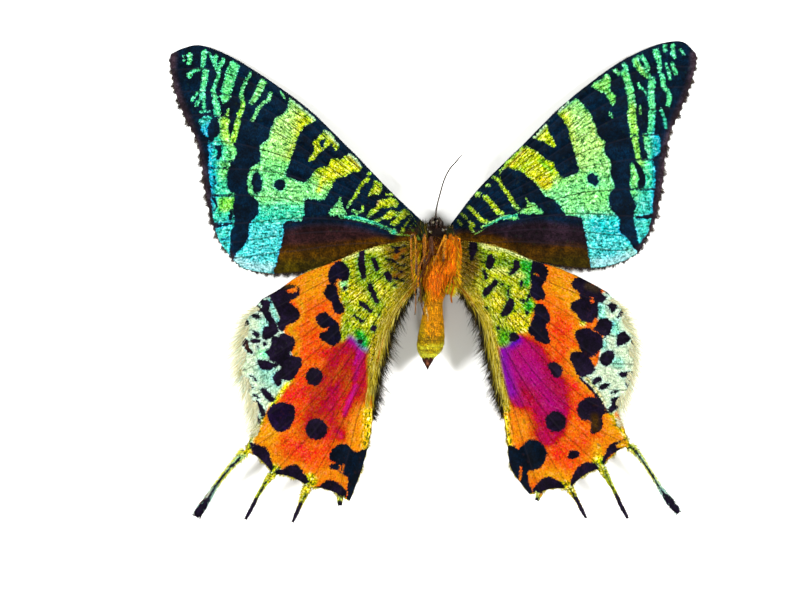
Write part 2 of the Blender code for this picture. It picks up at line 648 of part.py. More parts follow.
def build_head(material, eye_material):
    """Build the head with a flat on each side and an eye on each flat."""
    grid = ball(HEAD_DETAIL, HEAD_MIDDLE, HEAD_HALF)
    for side in (-1.0, 1.0):
        cut_flat(grid, HEAD_MIDDLE[0] + side * HEAD_FLAT_X, side, keep_inner=True)
    link_mesh("head", mesh_from(grid, "head"), material)
    half = [EYE_RADIUS * share for share in EYE_ROUNDNESS]
    for name, side in (("eye_left", -1.0), ("eye_right", 1.0)):
        flat = HEAD_MIDDLE[0] + side * (HEAD_FLAT_X + EYE_GAP)
        middle = (flat - side * EYE_SINK * EYE_RADIUS, HEAD_MIDDLE[1] - EYE_BACK,
                  HEAD_MIDDLE[2])
        grid = ball(EYE_DETAIL, middle, half)
        cut_flat(grid, flat, side, keep_inner=False)
        link_mesh(name, mesh_from(grid, name), eye_material)


def build_mouth(material):
    """Build the coiled proboscis and the two palps."""
    path = []
    for step in range(PROBOSCIS_STEPS + 1):
        share = step / PROBOSCIS_STEPS
        angle = math.pi * (0.5 - PROBOSCIS_TURNS * share)
        radius = PROBOSCIS_RADII[0] + (PROBOSCIS_RADII[1] - PROBOSCIS_RADII[0]) * share
        path.append((PROBOSCIS_MIDDLE[0],
                     PROBOSCIS_MIDDLE[1] + radius * math.cos(angle),
                     PROBOSCIS_MIDDLE[2] - radius * math.sin(angle)))
    rod("proboscis", path, PROBOSCIS_WIDTHS, PROBOSCIS_THICKNESS, material)
    rod("palp_left", PALP_LEFT, PALP_WIDTHS, FEELER_RADIUS, material)
    rod("palp_right", PALP_RIGHT, PALP_WIDTHS, FEELER_RADIUS, material)


def main():
    """Build every node."""
    clear_scene()
    paint = {name: make_material(name, colour) for name, colour in COLOURS.items()}
    build_forewing("forewing_left", LEFT_FOREWING_VEINS, paint["scales_fore"])
    build_forewing("forewing_right", RIGHT_FOREWING_VEINS, paint["scales_fore"])
    build_hindwing("hindwing_left", LEFT_HINDWING_VEINS, LEFT_HINDWING_TAILS,
                   paint["scales_hind"])
    build_hindwing("hindwing_right", RIGHT_HINDWING_VEINS, RIGHT_HINDWING_TAILS,
                   paint["scales_hind"])
    build_thorax(paint["orange_coat"])
    build_abdomen(paint["gold_coat"], paint["brown_coat"])
    build_head(paint["brown_coat"], paint["eye"])
    build_mouth(paint["horn"])
    rod("antenna_left", ANTENNA_LEFT, FEELER_WIDTHS, FEELER_RADIUS, paint["horn"])
    rod("antenna_right", ANTENNA_RIGHT, FEELER_WIDTHS, FEELER_RADIUS, paint["horn"])
    for legs in (LEFT_LEGS, RIGHT_LEGS):
        for name, points in legs.items():
            rod(name, points, LEG_WIDTHS, LEG_RADIUS, paint["orange_coat"])


main()
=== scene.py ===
"""Madagascan sunset moth, a spread and dried specimen lying belly up.

The wings are drawn on a plan sheet whose unit is SHEET_UNIT and whose thorax
middle is SHEET_MIDDLE; sheet y runs down, from head to tail.
"""
import logging
import math
from dataclasses import dataclass, field
from enum import Enum
from typing import Optional, Sequence

import bmesh
import bpy
import numpy as np
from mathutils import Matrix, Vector


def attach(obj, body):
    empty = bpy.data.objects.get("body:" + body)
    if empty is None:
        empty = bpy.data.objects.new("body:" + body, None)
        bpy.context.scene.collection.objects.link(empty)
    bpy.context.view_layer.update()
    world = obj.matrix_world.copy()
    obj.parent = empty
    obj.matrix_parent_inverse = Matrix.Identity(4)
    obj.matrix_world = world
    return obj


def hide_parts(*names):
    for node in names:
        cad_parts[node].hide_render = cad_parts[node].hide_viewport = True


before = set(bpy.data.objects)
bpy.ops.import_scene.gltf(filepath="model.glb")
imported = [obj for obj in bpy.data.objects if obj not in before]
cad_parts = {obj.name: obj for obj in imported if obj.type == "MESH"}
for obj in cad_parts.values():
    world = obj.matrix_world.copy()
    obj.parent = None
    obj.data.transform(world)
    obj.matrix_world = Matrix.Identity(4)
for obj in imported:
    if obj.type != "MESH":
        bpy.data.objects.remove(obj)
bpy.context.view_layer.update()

log = logging.getLogger("moth")

MM = 0.001
SHEET_UNIT = 0.00016
SHEET_MIDDLE = np.array((437.0, 262.0))
BODY = "root"
SEED = 11

# Heights of the wings, as in the solids
FOREWING_ROOT_Z = 3.10 * MM
FOREWING_TOUCH_X = 39.0 * MM
FOREWING_ROOT_X = 3.0 * MM
HINDWING_ROOT_Z = 4.45 * MM
HINDWING_FALL = 1.50 * MM
HINDWING_SPAN = 31.0 * MM
TAIL_FALL = 0.90 * MM
TAIL_FALL_START_Y = -26.0 * MM
TAIL_FALL_LENGTH = 15.0 * MM

# Share of the light that a white surface returns to the camera
EXPOSURE = 0.43


class Form(Enum):
    """How the points of a drawn shape are read."""

    AREA = "area"
    STROKE = "stroke"
    SPOT = "spot"


def shown(red: int, green: int, blue: int) -> tuple[float, float, float]:
    """Return the surface colour that shows as the given screen colour.

    Args:
        red: Screen red, 0 to 255.
        green: Screen green, 0 to 255.
        blue: Screen blue, 0 to 255.

    Returns:
        Linear red, green and blue, lowered by the light's strength.
    """
    linear = []
    for value in (red, green, blue):
        part = value / 255.0
        part = part / 12.92 if part <= 0.04045 else ((part + 0.055) / 1.055) ** 2.4
        linear.append(part * EXPOSURE)
    return tuple(linear)


def read_points(text: str) -> np.ndarray:
    """Return the sheet points of a text of x y pairs parted by commas."""
    return np.array([[float(part) for part in pair.split()] for pair in text.split(",")])


def to_plan(points: np.ndarray) -> np.ndarray:
    """Return plan positions in metres for sheet points."""
    return (np.asarray(points, dtype=float) - SHEET_MIDDLE) * (SHEET_UNIT, -SHEET_UNIT)


def to_sheet(places: np.ndarray) -> np.ndarray:
    """Return sheet points for plan positions in metres."""
    return places[:, :2] / (SHEET_UNIT, -SHEET_UNIT) + SHEET_MIDDLE


def smooth_step(value: np.ndarray) -> np.ndarray:
    """Return a soft step from 0 to 1."""
    value = np.clip(value, 0.0, 1.0)
    return value * value * (3.0 - 2.0 * value)


def unit(rows: np.ndarray) -> np.ndarray:
    """Return rows scaled to a length of one."""
    return rows / np.maximum(1.0e-12, np.linalg.norm(rows, axis=-1, keepdims=True))


def along_curve(points: Sequence[Sequence[float]], shares: np.ndarray) -> np.ndarray:
    """Return points of a smooth curve through points at shares of its length.

    Args:
        points: The points that the curve passes, of any number of values each.
        shares: Places along the curve, 0 at its start and 1 at its end.

    Returns:
        One row of values for each share.
    """
    points = np.asarray(points, dtype=float)
    steps = np.linalg.norm(np.diff(points, axis=0), axis=1)
    ends = np.concatenate(([0.0], np.cumsum(steps)))
    goals = np.clip(shares, 0.0, 1.0) * ends[-1]
    index = np.clip(np.searchsorted(ends, goals, side="right") - 1, 0, len(steps) - 1)
    t = ((goals - ends[index]) / steps[index])[:, None]
    padded = np.vstack((2.0 * points[0] - points[1], points, 2.0 * points[-1] - points[-2]))
    before, a, b, after = (padded[index + offset] for offset in range(4))
    return 0.5 * (2.0 * a + (b - before) * t + (2.0 * before - 5.0 * a + 4.0 * b - after) * t ** 2
                  + (3.0 * a - before - 3.0 * b + after) * t ** 3)


def rounded(points: np.ndarray, steps: int = 4) -> np.ndarray:
    """Return a closed outline with its corners rounded by a smooth curve."""
    before, after = np.roll(points, 1, axis=0), np.roll(points, -1, axis=0)
    later = np.roll(points, -2, axis=0)
    rows = []
    for step in range(steps):
        t = step / steps
        rows.append(0.5 * (2.0 * points + (after - before) * t
                           + (2.0 * before - 5.0 * points + 4.0 * after - later) * t ** 2
                           + (3.0 * points - before - 3.0 * after + later) * t ** 3))
    return np.stack(rows, axis=1).reshape(-1, 2)


def distance_to_lines(places: np.ndarray, starts: np.ndarray, ends: np.ndarray,
                      widths: Optional[np.ndarray] = None) -> np.ndarray:
    """Return each place's distance to the nearest of some straight lines.

    Args:
        places: Points on the sheet.
        starts: The lines' first points.
        ends: The lines' last points.
        widths: Half widths at both ends of each line, taken off the distance.

    Returns:
        One distance for each place.
    """
    best = np.full(len(places), 1.0e9)
    for index, (start, end) in enumerate(zip(starts, ends)):
        line = end - start
        share = np.clip(((places - start) @ line) / max(1.0e-9, line @ line), 0.0, 1.0)
        gap = np.linalg.norm(places - start - share[:, None] * line, axis=1)
        if widths is not None:
            gap = gap - (widths[index, 0] + (widths[index, 1] - widths[index, 0]) * share)
        best = np.minimum(best, gap)
    return best


def inside_outline(places: np.ndarray, outline: np.ndarray) -> np.ndarray:
    """Return for each place whether it lies inside a closed outline."""
    inside = np.zeros(len(places), dtype=bool)
    for start, end in zip(outline, np.roll(outline, -1, axis=0)):
        crosses = (start[1] > places[:, 1]) != (end[1] > places[:, 1])
        rise = end[1] - start[1]
        at = start[0] + (places[:, 1] - start[1]) / (rise if rise else 1.0) * (end[0] - start[0])
        inside ^= crosses & (places[:, 0] < at)
    return inside


@dataclass(frozen=True)
class Shape:
    """A shape drawn on the plan sheet.

    Attributes:
        form: How the points are read.
        text: The points, as x y pairs parted by commas.
        sizes: Widths at both ends of a stroke, or a spot's two radii and its turn.
    """

    form: Form
    text: str
    sizes: tuple[float, ...] = ()

    def reach(self, places: np.ndarray, margin: float) -> np.ndarray:
        """Return each place's signed distance to the shape.

        Args:
            places: Points on the sheet.
            margin: The distance past which the value only says far away.

        Returns:
            Distances in sheet units, negative inside and never above the margin.
        """
        points = read_points(self.text)
        spare = margin + (max(self.sizes[:2]) if self.sizes else 6.0)
        near = np.all((places > points.min(axis=0) - spare) & (places < points.max(axis=0) + spare),
                      axis=1)
        gaps = np.full(len(places), float(margin))
        if near.any():
            gaps[near] = np.minimum(margin, self.exact(places[near], points))
        return gaps

    def exact(self, places: np.ndarray, points: np.ndarray) -> np.ndarray:
        """Return the signed distances of places that lie near the shape."""
        if self.form is Form.AREA:
            outline = rounded(points)
            gap = distance_to_lines(places, outline, np.roll(outline, -1, axis=0))
            return np.where(inside_outline(places, outline), -gap, gap)
        if self.form is Form.STROKE:
            shares = np.linspace(0.0, 1.0, 3 * len(points))
            path = along_curve(points, shares)
            half = (self.sizes[0] + (self.sizes[1] - self.sizes[0]) * shares) / 2.0
            widths = np.stack((half[:-1], half[1:]), axis=1)
            return distance_to_lines(places, path[:-1], path[1:], widths)
        turn = math.radians(self.sizes[2])
        offset = places - points[0]
        x = offset[:, 0] * math.cos(turn) + offset[:, 1] * math.sin(turn)
        y = offset[:, 1] * math.cos(turn) - offset[:, 0] * math.sin(turn)
        size = np.hypot(x / self.sizes[0], y / self.sizes[1])
        return (size - 1.0) * min(self.sizes[0], self.sizes[1])


def read_shapes(text: str) -> list[Shape]:
    """Return the shapes of a text, parted by semicolons.

    Args:
        text: For a closed area its outline. For a stroke its width, or its widths at both
            ends, a colon and its points. For a spot the letter o, its radius or radii and
            its turn, a colon and its middle.

    Returns:
        The shapes in their order.
    """
    shapes = []
    for item in text.split(";"):
        head, colon, points = item.rpartition(":")
        sizes = tuple(float(part) for part in head.replace("o", " ").split())
        if not colon:
            shapes.append(Shape(Form.AREA, points))
        elif "o" in head:
            shapes.append(Shape(Form.SPOT, points, sizes + (sizes[0], 0.0)[len(sizes) - 1:]))
        else:
            shapes.append(Shape(Form.STROKE, points, (sizes * 2)[:2]))
    return shapes


@dataclass(frozen=True)
class Wash:
    """A soft patch of colour.

    Attributes:
        colour: Its linear colour.
        blend: How far its edge fades on both sides, in sheet units.
        drawn: Its shape, as read_shapes reads it.
        strength: How much of it covers what lies below.
    """

    colour: tuple[float, float, float]
    blend: float
    drawn: str
    strength: float = 1.0

    def over(self, places: np.ndarray, colours: np.ndarray) -> np.ndarray:
        """Return colours with this patch laid over them."""
        gaps = read_shapes(self.drawn)[0].reach(places, self.blend)
        cover = self.strength * smooth_step(0.5 - gaps / (2.0 * self.blend))
        return colours + (np.array(self.colour) - colours) * cover[:, None]


@dataclass(frozen=True)
class Layer:
    """Shapes, as read_shapes reads them, that are all dark or that all cut the dark."""

    dark: bool
    drawn: str


def darks(drawn: str) -> Layer:
    """Return shapes as dark marks."""
    return Layer(True, drawn)


def lights(drawn: str) -> Layer:
    """Return shapes as light marks that cut the dark."""
    return Layer(False, drawn)


@dataclass(frozen=True)
class Pattern:
    """The markings of one wing.

    Attributes:
        ground: The colour below all washes.
        washes: Soft patches of the light scales.
        ink: The colour of the dark scales.
        ink_washes: Soft patches within the dark scales.
        layers: Dark marks and light cuts, in the order they are laid.
        margin: The distance past which a mark no longer counts, in sheet units.
    """

    ground: tuple[float, float, float]
    washes: tuple[Wash, ...]
    ink: tuple[float, float, float]
    ink_washes: tuple[Wash, ...] = ()
    layers: tuple[Layer, ...] = ()
    margin: float = 9.0

    def paint(self, places: np.ndarray) -> dict[str, np.ndarray]:
        """Return the light colour, dark colour and distance into the dark.

        Args:
            places: Points on the sheet.

        Returns:
            Arrays named light, dark and mark; mark is in mm, negative in the dark.
        """
        light = np.tile(np.array(self.ground), (len(places), 1))
        for wash in self.washes:
            light = wash.over(places, light)
        dark = np.tile(np.array(self.ink), (len(places), 1))
        for wash in self.ink_washes:
            dark = wash.over(places, dark)
        mark = np.full(len(places), self.margin)
        for layer in self.layers:
            for shape in read_shapes(layer.drawn):
                gap = shape.reach(places, self.margin)
                mark = np.minimum(mark, gap) if layer.dark else np.maximum(mark, -gap)
        return {"light": light, "dark": dark, "mark": mark * SHEET_UNIT / MM}


NAVY = shown(8, 31, 52)
PLUM_BLACK = shown(26, 18, 38)
BORDER_BROWN = shown(66, 52, 60)
LEAF = shown(134, 222, 126)
BRIGHT_GREEN = shown(146, 236, 150)
LIME = shown(212, 220, 66)
PALE_LIME = shown(172, 240, 150)
SEA = shown(92, 216, 168)
SKY = shown(100, 214, 216)
APEX_GREEN = shown(122, 230, 150)
CREAM_GREEN = shown(226, 242, 190)
MINT_LINE = shown(60, 205, 150)

LEFT_BROWN_ZONE = ("416 238, 395 235, 385 229, 370 224, 355 220, 340 217, 320 217, 300 220,"
                   "284 222, 283 232, 281 240, 280 248, 277 256, 276 264, 273 273, 290 290,"
                   "350 290, 418 256")
LEFT_FOREWING = Pattern(
    ground=LEAF,
    washes=(
        Wash(LIME, 14, "300 108, 350 148, 420 220, 405 238, 370 216, 330 187, 300 166, 270 150, "
             "262 120"),
        Wash(PALE_LIME, 10, "252 96, 292 98, 290 150, 262 172, 243 172, 246 120", 0.8),
        Wash(BRIGHT_GREEN, 12, "250 176, 300 176, 340 205, 335 218, 290 220, 252 215"),
        Wash(SKY, 12, "232 212, 262 216, 290 222, 285 280, 240 275, 222 250"),
        Wash(SEA, 9, "196 100, 216 100, 226 150, 228 190, 235 215, 238 250, 214 250, 200 200"),
        Wash(SKY, 6, "214 218, 230 218, 231 250, 222 262, 212 240", 0.6),
        Wash(shown(52, 160, 190), 4, "196 112, 206 112, 210 140, 214 165, 213 205, 208 205", 0.8),
        Wash(shown(180, 230, 90), 4, "218 115, 246 100, 240 140, 222 140", 0.8),
        Wash(shown(150, 232, 84), 3, "218 197, 234 197, 233 209, 219 210", 0.8),
        Wash(shown(150, 226, 100), 4, "219 160, 231 160, 228 176, 219 176", 0.6),
        Wash(shown(64, 205, 176), 5, "240 206, 300 204, 300 220, 246 222", 0.7),
        Wash(shown(130, 232, 140), 5, "246 160, 290 160, 292 178, 250 178", 0.6),
        Wash(shown(222, 190, 30), 3, "3: 350 156, 360 168", 0.9),
        Wash(shown(228, 222, 60), 3, "4: 340 170, 325 178, 318 190", 0.8),
        Wash(APEX_GREEN, 12, "165 40, 235 44, 245 70, 215 110, 180 112"),
        Wash(shown(205, 246, 248), 6, "7: 230 258, 250 266, 272 268", 0.8),
        Wash(CREAM_GREEN, 2, "3: 293 99, 302 107, 314 118", 0.8),
        Wash(CREAM_GREEN, 2, "3: 325 130, 338 143", 0.8),
        Wash(CREAM_GREEN, 2, "3: 349 153, 361 165", 0.8),
        Wash(MINT_LINE, 2, "2.5: 345 217, 360 218, 368 221, 375 223, 385 228, 390 229"),
        Wash(MINT_LINE, 2, "o 3: 394 232"),
        Wash(shown(225, 160, 120), 2, "3: 378 200, 375 205"),
        Wash(shown(180, 190, 80), 4, "3: 404 208, 412 222, 404 230", 0.6),
    ),
    ink=NAVY,
    ink_washes=(
        Wash(shown(54, 32, 34), 3, LEFT_BROWN_ZONE),
        Wash(shown(92, 60, 6), 7, "416 240, 370 240, 330 245, 300 247, 279 250, 272 278, 300 290, "
             "418 262"),
        Wash(shown(80, 66, 2), 7, "305 260, 276 262, 272 280, 345 290, 350 262"),
        Wash(shown(124, 80, 4), 8, "418 234, 392 237, 372 245, 372 266, 418 264"),
        Wash(NAVY, 5, "8: 284 226, 310 221, 340 221, 370 227, 392 236"),
        Wash(BORDER_BROWN, 4, "8: 171 52, 170 70, 175 92, 187 122, 197 150, 202 180, 206 206, "
             "212 232, 224 252, 240 268, 262 274"),
    ),
    layers=(
        darks("""292 86, 289 98, 287 107, 284 112, 276 117, 272 124, 270 130, 268 138, 264 141,
        259 147, 260 155, 258 162, 252 165, 249 170, 247 177, 247 187, 248 193, 253 197, 257 201,
        258 207, 258 212, 254 217, 250 222, 248 226, 248 236, 245 242, 241 248, 236 253, 232 260,
        228 272, 206 268, 180 205, 156 120, 154 50, 180 34, 230 42, 270 64"""),
        lights("""211 142, 213 139, 228 139, 234 150, 231 158, 228 165, 226 175, 226 184, 228 190,
        234 193, 233 198, 232 208, 233 221, 231 228, 229 234, 229 241, 228 250, 229 257, 226 256,
        222 250, 217 240, 215 232, 213 222, 211 212, 210 200, 210 190, 208 175, 207 160, 209 150;
        2: 182 54, 182 58; 4.5: 188 53, 188 61; 6 3: 203 51, 201 66; 2: 208 52, 211 59; 3.5: 215 54,
        213 62, 217 69; 3.5: 222 58, 218 66; 3.5: 218 70, 216 78, 211 89; 6: 204 70, 201 88;
        o 3: 188 73; 3: 192 69, 198 68; 3: 190 98, 196 91; 3: 194 104, 200 93; 3: 202 92, 202 106;
        11: 233 64, 225 89; 5 7: 213 92, 214 100, 216 112; 219 93, 230 94, 222 102; 217 117,
        228 117, 227 128, 228 139, 213 139, 219 130; 6: 225 142, 222 157; 3 6: 249 72, 244 82,
        241 90, 241 97, 242 104, 238 114, 236 124, 234 132, 232 139; 8 5: 263 80, 258 90, 254 97,
        251 101; 3.5: 270 92, 268 98, 262 102, 258 107, 255 113, 252 119; 3: 281 91, 284 97;
        o 1.6: 227 109; o 1.6: 226 113; 2.5: 233 147, 234 153, 231 158; 200.5 116, 210 115.5,
        207 122, 205.5 130, 207 136, 203 134.5, 198.6 125, 197.7 119; 2.5: 199 110, 208 110;
        3: 208 141, 210 158"""),
        darks("""213 144.5, 220 144, 220.5 150, 219 158, 214 158.5, 215.5 151; 1.8: 222 159,
        226 161, 230 160; 1.4: 208 166.4, 231 166.6; 2.4: 212.5 176, 214 183; 1.6: 206 194.8,
        234 195.2; 3 1.2: 212 198, 215 205, 213 210; 3: 229.6 210, 229.4 219; 6 1.8: 207 224.5,
        220 225, 231 222.5; 1.6: 222 239, 229 238; o 5.5 11: 256 182; o 6: 279 184; 313 121,
        306 124, 303 127, 300 131, 297 137, 295 143, 293 150, 291 155, 290 160, 288 165, 287 168,
        285 176, 292 178, 302 182, 308 179, 312 174, 318 168, 327 166, 330 161, 333 158, 340 159,
        345 155, 352 152, 346 143, 338 135, 330 127, 321 117"""),
        lights("""324 131, 320 134, 317 137, 313 142, 314 147, 313 152, 310 156, 308 160, 313 159,
        317 155, 320 151, 324 149, 328 146, 331 143, 334 147, 335 150, 338 147, 339 143, 335 140,
        333 136, 330 132, 326 130"""),
        darks("""326 138, 320 140, 319 145, 322 147, 325 142; 361 160, 360 170, 352 172, 345 176,
        338 178, 333 182, 331 188, 327 194, 325 198, 320 200, 313 199, 305 199, 304 205, 304 212,
        302 221, 316 223, 332 220, 345 218, 358 218, 372 223, 386 229, 396 233, 404 234, 413 236,
        422 230, 420 216, 400 194, 380 174, 366 158; 4.4 6.4: 418 222, 390 190.5, 350 149, 310 110,
        270 80, 230 55, 200 43.5"""),
        darks(LEFT_BROWN_ZONE),
        lights("""1.8: 292 100, 303 109, 313 118; 1.8: 324 131, 337 144; 2: 348 154.5, 361 166;
        329 214.4, 332 206.7, 336.7 202, 340 196.5, 341 202, 344.5 210, 347 214.4, 339 215;
        o 1.8 1.6: 369.4 173.2; 3.6 2.6: 368 178.5, 363.5 182.2, 359 189, 354.5 197, 350 202,
        347.5 207; 374.5 180.5, 381 183.5, 381.5 189, 380 193, 375.6 193.6, 371 195, 367.5 196.6,
        370.5 190, 373.5 187.5; 2.4: 353.3 211, 358 212.8, 362.4 211; 1.8: 362.5 211, 362.3 206.6;
        2.2: 386.7 194.2, 392.2 194.6; 377.5 201, 383 199, 388 198.5, 392.5 197.5, 398 202.5,
        397 207, 391.5 206, 386 208, 382 207.5, 377.5 211, 373 215, 369 217.5, 366.5 215.8,
        372 209.5, 376 206; 397.8 211.8, 393 210, 387.8 211, 384 215.5, 379 218, 373.5 220.4,
        377 222.6, 383 219.5, 389 219, 394 216.5; 404.4 208.5, 409.5 213, 405 218, 400.5 220,
        398 224.6, 392.5 225, 390.5 221.5, 396 218, 400 213; 1.6: 412 216.5, 408 222, 404 226.5;
        1.4: 415.5 220, 411 226, 408 230; 1.4: 417 225, 413 230.5; 2.4: 340 217, 353.3 216.6,
        364.4 219.2, 375.6 223.6, 386.7 228, 394 231.4; o 2.4: 394 231.5; o 2 3.2: 403 230"""),
    ),
)

RIGHT_BROWN_ZONE = ("455 238, 475 234, 490 225, 505 219, 520 216, 545 214, 565 215, 582 217,"
                    "585 228, 587 238, 589 248, 590 258, 591 276, 560 288, 520 280, 455 256")
RIGHT_FOREWING = Pattern(
    ground=LEAF,
    washes=(
        Wash(LIME, 14, "560 108, 520 146, 452 222, 470 236, 505 214, 540 192, 572 172, 600 150, "
             "594 120"),
        Wash(PALE_LIME, 10, "570 100, 590 110, 604 150, 612 175, 580 172, 572 130", 0.8),
        Wash(BRIGHT_GREEN, 12, "540 190, 575 178, 612 180, 612 205, 580 212, 545 212"),
        Wash(SKY, 12, "586 212, 620 212, 640 240, 645 262, 592 275"),
        Wash(SEA, 9, "655 100, 672 108, 664 165, 660 210, 648 246, 632 250, 640 200, 648 150"),
        Wash(SKY, 8, "640 196, 656 196, 652 226, 644 244, 634 240", 0.6),
        Wash(APEX_GREEN, 12, "620 44, 700 36, 700 70, 680 110, 640 104"),
        Wash(shown(205, 246, 248), 6, "7: 594 263, 616 261, 636 252", 0.8),
        Wash(CREAM_GREEN, 2, "3: 570 100, 560 110", 0.8),
        Wash(CREAM_GREEN, 2, "3: 548 122, 532 140", 0.8),
        Wash(MINT_LINE, 2, "2.5: 485 227, 493 223, 500 219, 510 216, 517 215"),
        Wash(shown(150, 232, 110), 4, "592 84, 600 80, 609 73, 612 80, 611 88, 617 95, 615 105, "
             "610 100, 606 92", 0.6),
        Wash(shown(176, 234, 110), 3, "628 108, 642 108, 646 160, 634 160", 0.8),
        Wash(shown(160, 232, 100), 3, "636 55, 646 70, 650 80, 640 76", 0.7),
        Wash(shown(60, 176, 196), 4, "654 134, 664 132, 664 190, 660 215, 652 215, 654 180", 0.8),
        Wash(shown(150, 232, 130), 6, "586 190, 616 190, 620 214, 588 214", 0.7),
        Wash(shown(64, 200, 200), 5, "592 216, 622 216, 624 236, 596 232", 0.7),
        Wash(shown(214, 190, 36), 3, "5: 524 150, 515 160, 508 168", 0.9),
        Wash(shown(170, 206, 40), 4, "5: 532 160, 522 170", 0.8),
        Wash(shown(226, 214, 50), 3, "o 7: 546 182", 0.9),
        Wash(shown(96, 220, 90), 3, "4: 540 160, 552 170", 0.7),
    ),
    ink=NAVY,
    ink_washes=(
        Wash(shown(44, 30, 40), 3, RIGHT_BROWN_ZONE),
        Wash(shown(92, 60, 8), 7, "455 240, 490 238, 540 246, 588 248, 592 278, 560 288, 520 280, "
             "455 262"),
        Wash(shown(80, 64, 4), 7, "548 258, 590 256, 592 276, 560 288, 530 280"),
        Wash(shown(124, 80, 4), 8, "455 236, 480 236, 500 242, 500 262, 455 262"),
        Wash(NAVY, 5, "8: 500 222, 520 219, 545 217, 582 222"),
        Wash(BORDER_BROWN, 4, "8: 697 52, 696 70, 688 96, 676 124, 668 150, 664 180, 660 205, "
             "655 228, 642 250, 622 264, 600 270"),
    ),
    layers=(
        darks("""574 92, 581 100, 586 107, 591 112, 594 120, 597 126, 599 135, 606 141, 605 149,
        608 155, 612 162, 612 172, 614 181, 616 187, 611 193, 610 203, 613 209, 618 215, 621 219,
        621 230, 626 236, 631 242, 635 248, 639 252, 642 266, 672 246, 686 180, 712 100, 716 44,
        690 24, 640 36, 600 62"""),
        lights("""641 160, 652 158, 656 165, 657 180, 656 190, 655 200, 654 210, 653 220, 650 230,
        645 238, 641 243, 640 240, 638 231, 636 222, 636 212, 638 205, 635 197, 632 190, 632 180,
        632 170, 632 163; 6: 657 47, 659 52, 661 59; 4: 661 62, 662 70; 3.6: 667 44, 667 48;
        4: 675 44, 676 55; 2.4: 683 48, 686 52; 2.4: 668 62, 669 66; 3.6: 674 62, 678 71;
        2.4: 671 68, 672 77; 4.6: 664 74, 665 80, 666 86, 670 90, 672 98, 670 103; 3: 663 108,
        666 115, 668 126; 4: 643 53, 647 60, 650 68; 6.5: 637 55, 638 62, 645 70, 650 74;
        6.5: 654 78, 653 95, 654 106; 3: 644 87, 649 93; 2.4: 640 82, 642 86; 6.5: 654 108, 653 130;
        6: 648 135, 652 156; 646 135, 660 134, 662.5 142.5, 661 152.5, 655 156, 649.5 156,
        648.5 144; 4: 625 62, 628 68; 4: 616 68, 620 72; 7.5: 626 72, 629 80, 631 88, 633 97,
        634 110; 8.5: 633 112, 636 130; 7 5: 636 134, 638 145, 640 157; 2.4: 642 105, 642 112;
        592 84, 600 80, 609 73, 612 80, 611 88, 617 95, 615 105, 610 100, 606 92, 600 90;
        2.6: 611 112, 613 116"""),
        darks("""591 172, 598 174, 600 181, 597 186, 591 183, 588 178; 5 8: 637 162, 644 175,
        643 184; 1.6: 631 188.5, 645 189, 661 188; 5.5 2.2: 660 214.5, 648 216.5, 636 217.5;
        1.4: 634 159.6, 660 158.6; 1.4: 632 134.5, 660 133.5; 4.4 6.4: 452 224, 480 187, 520 147.5,
        560 107.5, 600 75, 630 55.5, 660 42.5; 500 174, 496 172, 470 196, 448 220, 450 236, 470 236,
        484 229, 500 221, 519 217, 519 206, 510 194, 505 186; 556 112, 565 121, 569 128, 570 135,
        573 142, 575 150, 577 158, 579 165, 580 172, 572 175, 566 178, 561 175, 558 170, 555 165,
        553 161, 547 160, 541 154, 537 151, 530 147, 524 143, 530 137, 540 140, 546 142, 551 145,
        556 146, 555 140, 551 135, 549 129, 548 122; 507 167, 515 169, 522 171, 527 176, 533 180,
        537 184, 542 190, 545 195, 549 197, 555 200, 560 205, 563 210, 567 218, 545 219, 518 219,
        514 208, 510 195, 505 187, 502 180, 500 173; 489 189, 498 192, 505 197, 510 205, 513 212,
        507 212, 500 210, 495 202, 488 196; 6: 478 203, 487 210, 495 217; 5: 470 212, 478 220;
        3.5: 462 220, 470 228"""),
        darks(RIGHT_BROWN_ZONE),
        lights("""1.8: 569 102, 560 110.5; 1.8: 547 124, 538 133; 2.2: 523 147, 512 158, 505 165;
        518 212.5, 526 207, 527 202, 526 197, 529.5 202, 532 203, 535 203.5, 540 208.5, 544 213.5,
        532 213.5; 3.2 4.2: 494 177, 500 181, 502.5 187, 507.5 193, 513 201.5, 518.5 209;
        o 2.6 1.6: 488 185; o 3.4 3: 478 194.5; 4.6 5.4: 485 197, 490.6 202.5, 496 209, 502 214;
        3.6 4.4: 468.5 206.5, 475 213, 481 219.5, 486 221.5; 2.6: 461.5 214, 466 218.5;
        3.2: 469 221.5, 474 226; 2.2: 458 220.5, 462 225; 2.6: 473 231, 470 226; 2.6: 481.7 227,
        491.7 222.5, 503.9 217, 517 215.4; o 5 2.2: 513 217.5"""),
    ),
)

ORANGE = shown(250, 112, 10)
GOLD_ORANGE = shown(240, 160, 24)
FIRE = shown(244, 82, 8)
BRICK = shown(216, 66, 12)
RASPBERRY = shown(176, 44, 78)
ROSE = shown(182, 54, 48)
MAGENTA = shown(178, 20, 120)
VIOLET = shown(138, 0, 168)
OLIVE_LIME = shown(176, 184, 34)
MOSS = shown(92, 146, 30)
YELLOW = shown(226, 208, 40)
VIVID_GREEN = shown(34, 168, 52)
BASE_BROWN = shown(132, 88, 16)
GOLD_FOLD = shown(186, 164, 18)
MINT = shown(220, 240, 206)
AQUA = shown(150, 226, 200)
PALE_CREAM = shown(242, 244, 204)
TAIL_YELLOW = shown(214, 206, 40)

